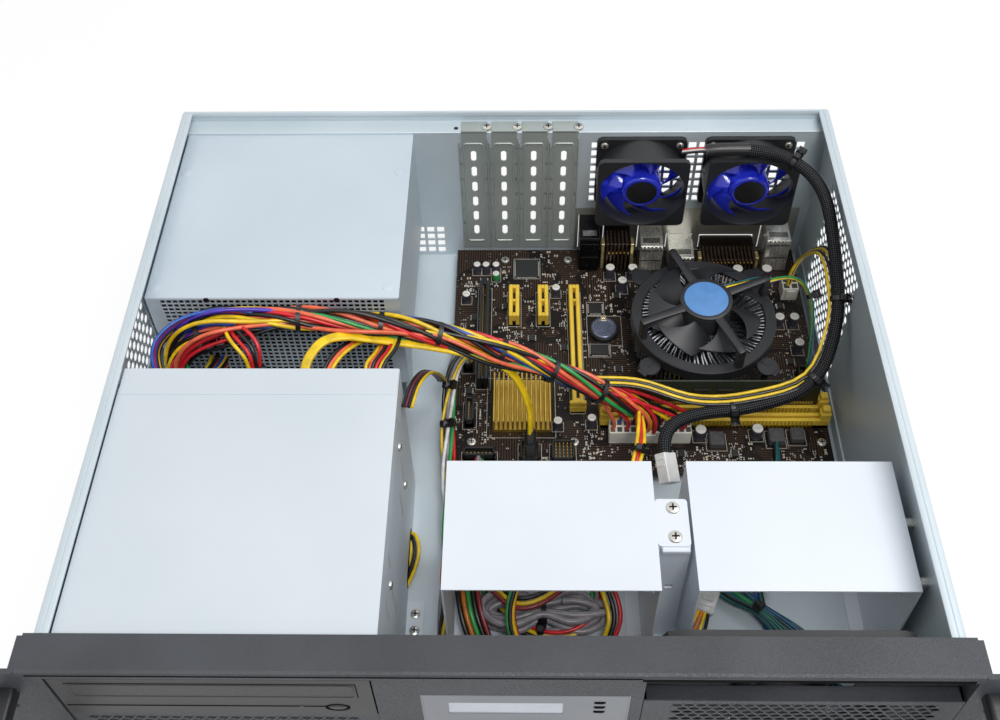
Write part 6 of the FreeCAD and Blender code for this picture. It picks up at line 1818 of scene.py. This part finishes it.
    def build(self) -> Object:
        """Build the cooler.

        Returns:
            The wires that run from the motor along an arm, for the cooler's cord to carry.
        """
        low, high = corners("cooler_heatsink")
        centre = (low + high) / 2 * (1, 1, 0)
        add_piece("cooler_forked_fins", self.heatsink(low, high).moved(centre), ALUMINIUM,
                  replaces=("cooler_heatsink",), smooth=25)
        frame_low, frame_high = corners("cooler_fan_frame")
        level = frame_high[2]
        add_piece("cooler_hoop_and_arms", self.hoop(frame_low[2], level, high[2]).moved(centre), BLACK,
                  replaces=("cooler_fan_frame",), smooth=32)
        foot, top = (corner[2] for corner in corners("cooler_rotor"))
        cup = lathe([(16.0, foot), (17, foot + 0.8), (17, top - 1.6), (16.4, top - 0.5), (15.4, top - 0.1),
                     (0.5, top)], sides=64)
        wings = blades(7, 16.6, 36.7, (11.5, 9.0), (foot + top) / 2 - 0.6, -0.5, (-0.62, -0.8), 1.5)
        add_piece("cooler_impeller", join(cup, wings).moved(centre), BLACK, "cooler_rotor",
                  ("cooler_rotor",), closed=True)
        disc = lathe([(14.2, level - 0.6), (14.2, level - 0.25), (13.9, level - 0.15), (0.4, level - 0.12)],
                     centre, sides=64)
        add_piece("cooler_hub_disc", disc.painted(self.disc), MOULDED)
        return self.wires(centre, level)


# Motherboard

YELLOW, IVORY, CHARCOAL, SILVER, BRASS = "#EBC643", "#E6E3D6", "#1A1A1C", "#C9C7C0", "#C9A24A"
DARK_BLOCK, BLACK_BLOCK, SHELL = "#241C18", "#1E1D20", "#F4F2EC"
Part = tuple[float, float, float, float, float]


@dataclass
class Board:
    """The motherboard's parts, at their places from the board's front left corner.

    Slots are a middle, a start, an end and a colour. Ports are a left edge, a right edge and a height, cans a
    middle, a radius and a height, and other parts a corner and their size.
    """

    card_slots: tuple[tuple[float, float, float, str], ...] = (
        (21, 65, 150, CHARCOAL), (41.6, 118, 146, YELLOW), (61.8, 118, 146, YELLOW), (83.5, 46, 146, YELLOW))
    memory_rows: Pair = (37, 47)
    memory_span: Pair = (97, 244)
    ports: tuple[Point, ...] = (
        (88, 102, 34), (106, 124, 30), (131, 147, 26), (152, 170, 14), (176, 214, 13), (219, 236, 32))
    ribbed_ports: tuple[int, ...] = (1, 4)
    mouths: tuple[str, ...] = ("#1D1D20", "#1B3F8F", "#1D1D20", "#1D1D20", "#8E8B82", "#1D1D20")
    cans: tuple[Box, ...] = (
        (14.9, 166.6, 2.8, 9), (21.3, 166.6, 2.8, 9), (28.5, 166.6, 2.8, 9), (28.5, 160.5, 2.8, 6),
        (71.1, 145.8, 3.2, 8), (70.2, 34.5, 3.2, 8), (160.9, 27.2, 4, 9), (197, 28, 4, 9),
        (200.4, 160.7, 4, 11), (220.9, 160.7, 4, 11), (110, 162, 3.6, 11), (118, 150, 3.6, 11),
        (126, 162, 3.6, 11), (224, 118, 3.6, 10), (234, 118, 3.6, 10), (234, 96, 3.6, 10), (8, 140, 3.2, 8),
        (92, 36, 3.2, 9))
    green_can: int = 3
    flat_chips: tuple[Part, ...] = ((42.7, 161.6, 16, 16, 1.4), (94, 128, 9, 9, 1.4), (94, 92, 12, 8, 2))
    chokes: tuple[Part, ...] = ((166, 18, 10, 10, 6), (204, 20, 10, 10, 7), (218, 22, 9, 9, 6))
    sockets: tuple[Part, ...] = (
        (46, 6, 12, 14, 8), (66, 6, 14, 14, 8), (10, 34, 6, 18, 9), (10, 8, 20, 6, 9), (8, 78, 6, 24, 9),
        (230, 60, 8, 18, 8))
    plugs: tuple[tuple[float, float, float, float, int, int], ...] = (
        (102.4, 154.4, 22, 32, 12, 2), (229, 240, 140, 151, 2, 2))
    small_chips: tuple[Pair, ...] = (
        (30, 96), (52, 104), (72, 78), (74, 96), (110, 78), (112, 142), (12, 122), (34, 132), (52, 78),
        (226, 84), (226, 132), (206, 150), (190, 150), (176, 158), (150, 158), (232, 46), (180, 12),
        (146, 12), (124, 12), (96, 66), (112, 60), (222, 68), (10, 60), (18, 156))
    screws: tuple[Pair, ...] = ((80.6, 177.8), (34.9, 177.8), (14.6, 22.9), (80.6, 22.9), (238.1, 22.9))
    cell: Pair = (103.5, 112.5)
    processor: Pair = (166.6, 98.0)
    origin: Array = field(
        default_factory=lambda: np.array([*corners("motherboard")[0][:2], corners("motherboard")[1][2]]))

    def add(self, name: str, surface: Surface, finish: Finish = MOULDED, slot: str = "connector_mix",
            node: str = "", smooth: float | None = 35) -> None:
        """Move a surface from the board's own corner to its place and make a piece of it."""
        nodes = (node,) if node else ()
        add_piece(name, surface.moved(self.origin), finish, replaces=nodes, smooth=smooth)

    def card_slot(self, x: float, start: float, stop: float, colour: str) -> Surface:
        """Make a card slot: two rails, two ends, a key, a floor painted dark as shade in the slit, and rows
        of contacts in the slit.

        Args:
            x: its middle along X.
            start: its front end.
            stop: its rear end.
            colour: its colour.

        Returns:
            The slot.
        """
        tall, inner, outer, gap = 11, 1.0, 3.7, 1.2
        body = slabs([(x - outer, start, 0), (x + inner, start, 0), (x - gap, start, 0),
                      (x - gap, stop - 3, 0), (x - gap, stop - 14.6, 0)],
                     [(x - inner, stop, tall), (x + outer, stop, tall), (x + gap, start + 3, tall),
                      (x + gap, stop, tall), (x + gap, stop - 13, tall)], 0.5).painted(colour)
        # The slit's floor is painted dark brown: painted shade down in the narrow slit.
        floor = slabs((x - 1.1, start, 0), (x + 1.1, stop, 5), 0.3).painted("#241A0A")
        y = np.arange(start + 4, stop - 4, 2.0)
        spots = xyz(np.tile([x - 1.05, x + 0.8], len(y)), np.repeat(y, 2), 5.2)
        return join(body, floor, bricks(spots, (0.25, 0.8, 4.6), 0.05, BRASS))

    def latch(self) -> Surface:
        """Make the long slot's card latch: a hooked lever at its front end."""
        x, start = self.card_slots[3][:2]
        return slabs([(x - 5.5, start - 0.2, 0), (x - 5.5, start - 0.1, 6), (x - 2, start + 0.1, 9)],
                     [(x + 5.5, start + 4.5, 6.4), (x + 5.5, start + 2.6, 10.6), (x + 2, start + 4, 10.9)],
                     0.7).painted(YELLOW)

    def memory_slot(self, y: float) -> Surface:
        """Make a memory slot: two rails, a floor, two end latches and a row of ribs.

        Args:
            y: its middle along Y.

        Returns:
            The slot.
        """
        left, right = self.memory_span
        body = slabs([(left, y - 3.3, 0), (left, y + 0.8, 0), (left, y - 3.3, 0), (left, y - 3.1, 6),
                      (right - 7, y - 3.1, 6), (left + 1, y - 2.2, 13), (right - 6, y - 2.2, 13)],
                     [(right, y - 0.8, 9), (right, y + 3.3, 9), (right, y + 3.3, 4), (left + 7, y + 3.1, 15),
                      (right, y + 3.1, 15), (left + 6, y + 2.2, 19), (right - 1, y + 2.2, 19)], 0.6)
        ribs = xyz(np.arange(left + 10, right - 10, 2.4), y - 3.35, 1.0)
        return join(body.painted(YELLOW), bricks(ribs, (1.0, 0.3, 7.2), 0.1, "#B8921F"))

    def memory_card(self) -> Surface:
        """Make the memory module with its chips and contacts.

        Returns:
            The module.
        """
        left, right = self.memory_span
        y = self.memory_rows[1]
        card = slabs((left + 7.2, y - 0.6, 4), (right - 7.2, y + 0.6, 34), 0.15).painted("#1F2A20")
        chips = bricks(xyz(np.arange(8) * 15.4 + left + 13, y - 1.6, 14.0), (10.0, 1.0, 12.0), 0.2, CHARCOAL)
        teeth = xyz(np.arange(left + 10, right - 10, 1.8), y - 0.65, 9.2)
        return join(card, chips, bricks(teeth, (1.2, 0.1, 2.6), 0.02, BRASS))

    def rear_port(self, number: int) -> Surface:
        """Make a rear connector: a folded shell with seams, or a dark block with ribs and gold pins.

        Args:
            number: which of the connectors it is.

        Returns:
            The connector.
        """
        left, right, tall = self.ports[number]
        front, back = (corner[1] - self.origin[1] for corner in corners("io_ports"))
        x = np.arange(left + 0.8, right - 1.6, 2.7)
        mouth = slabs((left + 1.6, back - 0.4, 1.6), (right - 1.6, back + 0.05, tall - 1.6), 0.1)
        parts = [mouth.painted(self.mouths[number])]
        if number in self.ribbed_ports:
            out = 1.6
            parts += [slabs((left, front, 0), (right, back, tall - 1.4), 0.5).painted(DARK_BLOCK),
                      bricks(xyz(x, front - out, 0.8), (1.3, out + 12, tall - 0.8), 0.25, "#6A5648"),
                      bricks(xyz(x + 1.7, front - 0.7, tall * 0.62), (0.8, 0.9, 1.1), 0.1, "#FFD36B"),
                      bricks([(left - 2.6, front + 2, 0), (right, front + 2, 0)], (2.6, 7, tall * 0.86), 0.4,
                             "#F0DDA0")]
        else:
            out = 0.5
            shell, seam = (BLACK_BLOCK, BLACK_BLOCK) if number == 0 else (SHELL, "#E2E0D8")
            levels = np.arange(tall * 0.42, tall, tall * 0.4)[:2]
            window = slabs((left + 2, front + 3, tall - 0.1), (right - 2, front + 8, tall + 0.06), 0.02)
            gaps = xyz(left + 0.6, front - 0.6, levels)
            parts += [slabs((left, front, 0), (right, back, tall), 0.5).painted(shell),
                      bricks(xyz(x, front - out, 0.8), (1.3, out + 0.3, tall - 2), 0.25, seam),
                      bricks(gaps, (right - left - 1.2, 1.4, 0.9), 0.15, "#2A2928"),
                      window.painted("#8B8A86")]
        return join(*parts)

    def can(self, x: float, y: float, radius: float, tall: float, sleeve: str) -> Surface:
        """Make a capacitor: a sleeve with a crimp, a bright top and the score across it.

        Args:
            x: its middle along X.
            y: its middle along Y.
            radius: its radius.
            tall: its height.
            sleeve: the sleeve's colour.

        Returns:
            The capacitor.
        """
        body = lathe([(radius * 0.9, 0), (radius * 0.96, 0.6), (radius * 0.8, 1.2), (radius * 0.96, 1.8),
                      (radius * 0.96, tall - 0.7), (radius * 0.86, tall - 0.3)], (x, y, 0), sides=24)
        top = lathe([(radius * 0.84, tall - 0.4), (radius * 0.84, tall - 0.1), (radius * 0.78, tall),
                     (0.2, tall)], (x, y, 0), sides=24)
        half = radius * 0.5
        score = slabs((x - half, y - 0.12, tall - 0.1), (x + half, y + 0.12, tall + 0.02), 0.02)
        return join(body.painted(sleeve), top.painted("#D8D6CE"), score.painted("#77756F"))

    def flat_chip(self, x: float, y: float, wide: float, deep: float, tall: float) -> Surface:
        """Make a flat chip with legs on its four sides.

        Args:
            x: its left side.
            y: its front side.
            wide: its size along X.
            deep: its size along Y.
            tall: its height.

        Returns:
            The chip.
        """
        parts = [slabs((x, y, 0.2), (x + wide, y + deep, tall), 0.15).painted(CHARCOAL)]
        across, along = (np.arange(0.8, length - 0.8, 0.9) for length in (wide, deep))
        for edge in (-0.9, deep):
            parts.append(bricks(xyz(x + across, y + edge, 0.0), (0.4, 0.9, 0.35), 0.05, SILVER))
        for edge in (-0.9, wide):
            parts.append(bricks(xyz(x + edge, y + along, 0.0), (0.9, 0.4, 0.35), 0.05, SILVER))
        return join(*parts)

    def choke(self, x: float, y: float, wide: float, deep: float, tall: float) -> Surface:
        """Make a choke: a grey block with a ring on its top."""
        ring = [(wide * 0.34, tall - 0.1), (wide * 0.34, tall + 0.02), (wide * 0.3, tall + 0.02),
                (wide * 0.3, tall - 0.1)]
        return join(slabs((x, y, 0), (x + wide, y + deep, tall), 0.9).painted("#4C4B4D"),
                    lathe(ring, (x + wide / 2, y + deep / 2, 0), sides=24).painted("#2B2A2C"))

    def socket(self, x: float, y: float, wide: float, deep: float, tall: float) -> Surface:
        """Make an open socket: four walls, a floor and rows of pins.

        Args:
            x: its left side.
            y: its front side.
            wide: its size along X.
            deep: its size along Y.
            tall: its height.

        Returns:
            The socket.
        """
        rim, right, back = 1.2, x + wide, y + deep
        walls = slabs([(x, y, 0), (right - rim, y, 0), (x, y, 0), (x, back - rim, 0), (x, y, 0)],
                      [(x + rim, back, tall), (right, back, tall), (right, y + rim, tall),
                       (right, back, tall), (right, back, tall * 0.5)], 0.25)
        u, v = np.meshgrid(np.arange(x + 2.2, right - 1.8, 2.4), np.arange(y + 2.2, back - 1.8, 2.4))
        pins = bricks(xyz(u.ravel(), v.ravel(), 2.0), (0.6, 0.6, tall - 3.2), 0.1, BRASS)
        return join(walls.painted(CHARCOAL), pins)

    def plug(self, left: float, right: float, start: float, stop: float, columns: int, rows: int) -> Surface:
        """Make a power plug: a pale block with a grid of dark cells and a latch.

        Args:
            left: its left side.
            right: its right side.
            start: its front side.
            stop: its rear side.
            columns: how many cells it has along X.
            rows: how many it has along Y.

        Returns:
            The plug.
        """
        wide, deep = (right - left) / columns, (stop - start) / rows
        u, v = (grid.ravel() for grid in np.meshgrid(np.arange(columns), np.arange(rows)))
        spots = xyz(left + wide * (u + 0.16), start + deep * (v + 0.16), 12.2)
        middle = (left + right) / 2
        body = slabs((left, start, 0), (right, stop, 12.4), 0.4)
        latch = slabs((middle - 3, start - 1.2, 4), (middle + 3, start, 11), 0.3)
        cells = bricks(spots, (wide * 0.68, deep * 0.68, 0.8), 0.15, "#4A463C")
        return join(body.painted(IVORY), latch.painted(IVORY), cells)

    def soldered(self) -> Surface:
        """Make the soldered parts: socket, cell, capacitors, chips, chokes, sockets and power plugs.

        Returns:
            The parts.
        """
        x, y, _ = sum(corners("cooler_heatsink")) / 2 - self.origin
        holder = lathe([(10, 0), (10, 3.4), (9.4, 4), (8.9, 4), (8.9, 3.4)], (*self.cell, 0), sides=40)
        socket = slabs((x - 20, y - 20, 0), (x + 20, y + 20, 6.5), 0.6)
        parts = [socket.painted("#CFC9B4"), holder.painted(CHARCOAL)]
        parts += [self.can(*row, "#2E8B4B" if number == self.green_can else "#3C3A44")
                  for number, row in enumerate(self.cans)]
        for make, rows in ((self.flat_chip, self.flat_chips), (self.choke, self.chokes),
                           (self.socket, self.sockets), (self.plug, self.plugs)):
            parts += [make(*row) for row in rows]
        return join(*parts)

    def outlines(self, slot: Pair, can: float, part: float) -> list[Box]:
        """List the rectangles of slots, cans and box-shaped parts, each widened by a margin.

        Args:
            slot: the half width of a slot's outline, and the margin at its ends.
            can: the margin of a can.
            part: the margin of a box-shaped part.

        Returns:
            The rectangles, as low and high edges along X, then along Y.
        """
        wide, long = slot
        rows = [(x - wide, x + wide, start - long, stop + long) for x, start, stop, _ in self.card_slots]
        rows += [(x - r - can, x + r + can, y - r - can, y + r + can) for x, y, r, _ in self.cans]
        rows += [(x - part, x + w + part, y - part, y + d + part) for x, y, w, d, _ in
                 (*self.flat_chips, *self.chokes, *self.sockets)]
        return rows

    def keep_clear(self) -> Array:
        """List the rectangles that small parts stay out of, as low and high edges.

        Returns:
            The rectangles, one in a row.
        """
        rows = self.outlines((4.5, 2), 1, 2)
        rows += [(self.memory_span[0] - 1, 244, y - 4.2, y + 4.2) for y in self.memory_rows]
        rows += [(left - 1, right + 1, 166, 190) for left, right, _ in self.ports]
        rows += [(left - 2, right + 2, start - 2, stop + 2) for left, right, start, stop, *_ in self.plugs]
        rows += [(x - half, x + half, y - half, y + half)
                 for (x, y), half in ((self.cell, 11), *((screw, 5) for screw in self.screws))]
        return np.array([*rows, (27, 68, 28, 71)])

    def small_parts(self, count: int = 1700) -> Surface:
        """Scatter chip resistors and capacitors with tinned ends, in clusters, clear of the larger parts.

        Cluster middles are drawn evenly over the board and parts lie in rows near them, on a grid of 1.8 mm.

        Args:
            count: how many places are drawn.

        Returns:
            The parts.
        """
        draw = np.random.default_rng(11)
        middles = draw.uniform((4, 4), (240, 184), (190, 2))
        owner = draw.integers(0, len(middles), count)
        place = np.round((middles[owner] + draw.normal(0, 5.0, (count, 2))) / 1.8) * 1.8
        place = np.unique(place, axis=0)
        left, right, bottom, top = self.keep_clear().T
        x, y = place.T[:, :, None]
        hit = ((x > left - 1) & (x < right + 1) & (y > bottom - 1) & (y < top + 1)).any(axis=1)
        hit |= np.abs(place - self.processor).max(axis=1) < 24
        hit |= (place < 2).any(axis=1) | (place > (242, 186)).any(axis=1)
        place = place[~hit]
        along = draw.random(len(place))[:, None] < 0.5
        big = np.where(draw.random(len(place)) < 0.2, 1.5, 1.0)[:, None]
        tone = draw.integers(0, 4, len(place))
        tall = 0.55 * big

        def chips(middle: Array, long: float, short: float, top: Array) -> tuple[Array, Array]:
            """The low and high corners of blocks that lie along or across the board."""
            half = np.where(along, (long, short), (short, long)) * big
            return np.hstack([middle - half, 0 * big]), np.hstack([middle + half, top])

        low, high = chips(place, 0.8, 0.42, tall)
        parts = [slabs(low[tone == k], high[tone == k], 0.08).painted(code)
                 for k, code in enumerate(("#18181A", "#8C6F4E", "#B59A73", "#20242A"))]
        shift = np.where(along, (0.66, 0.0), (0.0, 0.66)) * big
        parts += [slabs(*chips(place + sign * shift, 0.24, 0.45, tall + 0.04), 0.05).painted("#CDCBC6")
                  for sign in (-1, 1)]
        return join(*parts)

    def legged_chips(self) -> Surface:
        """Make the small legged chips of the regulators and the audio and network circuits.

        Returns:
            The chips.
        """
        low = np.insert(np.array(self.small_chips, float), 2, 0.2, axis=1)
        legs = [bricks(low + (side, 0.5 + 1.2 * step, -0.2), (0.9, 0.5, 0.4), 0.05, SILVER)
                for side in (-0.9, 4.0) for step in range(4)]
        return join(bricks(low, (4.0, 5.0, 1.3), 0.15, CHARCOAL), *legs)

    def print_lines(self) -> Surface:
        """Print thin pale outlines round slots, chips and sockets, without any lettering.

        Returns:
            The lines.
        """
        left, right, front, back = np.array([*self.outlines((5, 1.5), 0.7, 1.6), (24, 69, 26, 73),
                                             (92, 116, 100, 126)]).T
        line = 0.3
        sides = [(left, front, right, front + line), (left, back - line, right, back),
                 (left, front, left + line, back), (right - line, front, right, back)]
        strips = [slabs(xyz(x0, y0, 0.0), xyz(x1, y1, 0.03), 0.0) for x0, y0, x1, y1 in sides]
        return join(*strips).painted("#BDBAB2")

    def coin_cell(self) -> Surface:
        """Make the cell with its raised rim, and the spring clip over its edge.

        Returns:
            The cell and its clip.
        """
        x, y = self.cell
        profile = [(8.7, 3), (8.7, 4.4), (8.1, 4.9), (6.4, 4.9), (6.2, 4.75), (0.3, 4.75)]
        coin = lathe(profile, (x, y, 0), sides=40)
        clip = slabs([(x - 2, y + 5.5, 4.4), (x - 1.2, y + 7.4, 4.9)],
                     [(x + 2, y + 10.4, 5.0), (x + 1.2, y + 9.0, 5.3)], 0.2)
        return join(coin.painted("#8D95AB"), clip.painted("#F2E3BE"))

    def build(self) -> None:
        """Build the board's pieces."""
        slots = [self.card_slot(*row) for row in self.card_slots]
        slots += [self.memory_slot(y) for y in self.memory_rows]
        self.add("card_and_memory_slots", join(*slots, self.latch()), node="board_slots")
        self.add("memory_card", self.memory_card(), MOULDED, "board_brown", "memory_module")
        ports = [self.rear_port(number) for number in range(len(self.ports))]
        self.add("rear_connectors", join(*ports), PLATED, "port_metal", "io_ports")
        self.add("soldered_parts", self.soldered(), node="board_parts")
        self.add("coin_cell", self.coin_cell(), PLATED, "port_metal")
        self.add("chip_resistors", self.small_parts())
        self.add("legged_chips", self.legged_chips())
        self.add("printed_outlines", self.print_lines(), smooth=None)
        low, high = corners("chipset_heatsink")
        fin, base = 1.3, 4.0
        spots = xyz(np.linspace(low[0], high[0] - fin, 13), low[1], low[2] + base - 0.5)
        stand = slabs(spots, spots * (1, 0, 0) + (fin, high[1], high[2]), 0.35)
        block = join(slabs(low, (high[0], high[1], low[2] + base), 0.4), stand)
        add_piece("chipset_finned_block", block, GOLD, replaces=("chipset_heatsink",))
        dress(LAMINATE, "motherboard")


# Camera, light and floor

@dataclass
class Studio:
    """The camera of the photograph, a pale floor and soft light from above."""

    eye: Point = (12.62, -376.78, 648.18)
    pitch: float = 48.585
    yaw: float = -1.7262
    roll: float = -1.384
    focal: float = 1165.11
    axis_row: float = 256.34
    image: tuple[int, int] = (1000, 720)
    floor_half: float = 4.0
    lamp_size: float = 0.8
    lamps: tuple[tuple[str, Point, float], ...] = (
        ("lamp_above", (0.3, -0.95, 2.1), 29.0), ("lamp_right", (0.9, 0.1, 1.9), 12.0))

    def camera(self) -> None:
        """Aim the camera: forward from yaw and pitch, then rolled about its own axis."""
        pitch, yaw, roll = (math.radians(value) for value in (self.pitch, self.yaw, self.roll))
        forward = Vector((math.sin(yaw) * math.cos(pitch), math.cos(yaw) * math.cos(pitch), -math.sin(pitch)))
        right = Vector((math.cos(yaw), -math.sin(yaw), 0))
        turn = Matrix.Rotation(-roll, 3, forward)
        axes = Matrix((turn @ right, turn @ right.cross(forward), -forward)).transposed().to_4x4()
        data = bpy.data.cameras.new("camera")
        data.sensor_width = 36
        data.lens = self.focal / self.image[0] * data.sensor_width
        data.shift_y = (self.axis_row - self.image[1] / 2) / self.image[0]
        data.clip_start = 0.01
        camera = bpy.data.objects.new("camera", data)
        camera.matrix_world = Matrix.Translation(Vector(self.eye) * MM) @ axes
        bpy.context.scene.collection.objects.link(camera)
        bpy.context.scene.camera = camera

    def seen(self, tree: Tree) -> Socket:
        """Tell rays that see the background, straight or in a reflection, from rays that light the object.

        Args:
            tree: the node tree.

        Returns:
            One for rays that see it, and zero for the others.
        """
        path = add_node(tree, "LightPath").outputs
        direct = compute(tree, "MAXIMUM", path["Is Camera Ray"], path["Is Glossy Ray"])
        return compute(tree, "MAXIMUM", direct, path["Is Transmission Ray"])

    def floor(self) -> None:
        """Lay a pale floor that keeps a soft shadow and is white to the eye and in reflections."""
        half = self.floor_half
        mesh = bpy.data.meshes.new("floor")
        spots = [(-half, -half, 0), (half, -half, 0), (half, half, 0), (-half, half, 0)]
        mesh.from_pydata(spots, [], [(0, 1, 2, 3)])
        material = bpy.data.materials.new("studio_floor")
        material.use_nodes = True
        tree = material.node_tree
        tree.nodes.clear()
        share = compute(tree, "MULTIPLY", self.seen(tree), 0.8)
        matt = add_node(tree, "BsdfDiffuse", {"Color": srgb("#F4F4F4")}).outputs["BSDF"]
        glow = add_node(tree, "Emission", {"Strength": 1.04}).outputs["Emission"]
        mix = add_node(tree, "MixShader", {0: share, 1: matt, 2: glow})
        add_node(tree, "OutputMaterial", {"Surface": mix.outputs["Shader"]})
        mesh.materials.append(material)
        floor = bpy.data.objects.new("floor", mesh)
        bpy.context.scene.collection.objects.link(floor)

    def light(self) -> None:
        """Light the server from a bright surround and two broad lamps above."""
        world = bpy.data.worlds.new("surround")
        world.use_nodes = True
        tree = world.node_tree
        tree.nodes.clear()
        strength = remap(tree, self.seen(tree), new=(0.4, 1.0))
        surround = add_node(tree, "Background", {"Color": (1, 1, 1, 1), "Strength": strength})
        add_node(tree, "OutputWorld", {"Surface": surround.outputs["Background"]})
        bpy.context.scene.world = world
        for name, place, power in self.lamps:
            data = bpy.data.lights.new(name, "AREA")
            data.shape = "DISK"
            data.size = self.lamp_size
            data.energy = power
            lamp = bpy.data.objects.new(name, data)
            lamp.location = place
            lamp.rotation_euler = (Vector((0, 0, 0.05)) - Vector(place)).to_track_quat("-Z", "Y").to_euler()
            bpy.context.scene.collection.objects.link(lamp)

    def build(self) -> None:
        """Set up the view."""
        bpy.context.scene.view_settings.view_transform = "Standard"
        self.camera()
        self.floor()
        self.light()


def main() -> None:
    """Build the server's looks, sub-assembly by sub-assembly."""
    logging.basicConfig(level=logging.INFO, format="%(name)s %(message)s")
    Studio().build()
    Chassis().build()
    Fasteners().build()
    FrontPanel().build()
    Supply().build()
    CaseFan("rear_fan_left", BLUE, "blue_clear").build()
    CaseFan("rear_fan_right", BLUE, "blue_clear").build()
    CaseFan("front_fan", BLACK, "black_plastic").build()
    Board().build()
    Wiring().build(Cooler().build())


if __name__ == "__main__":
    main()
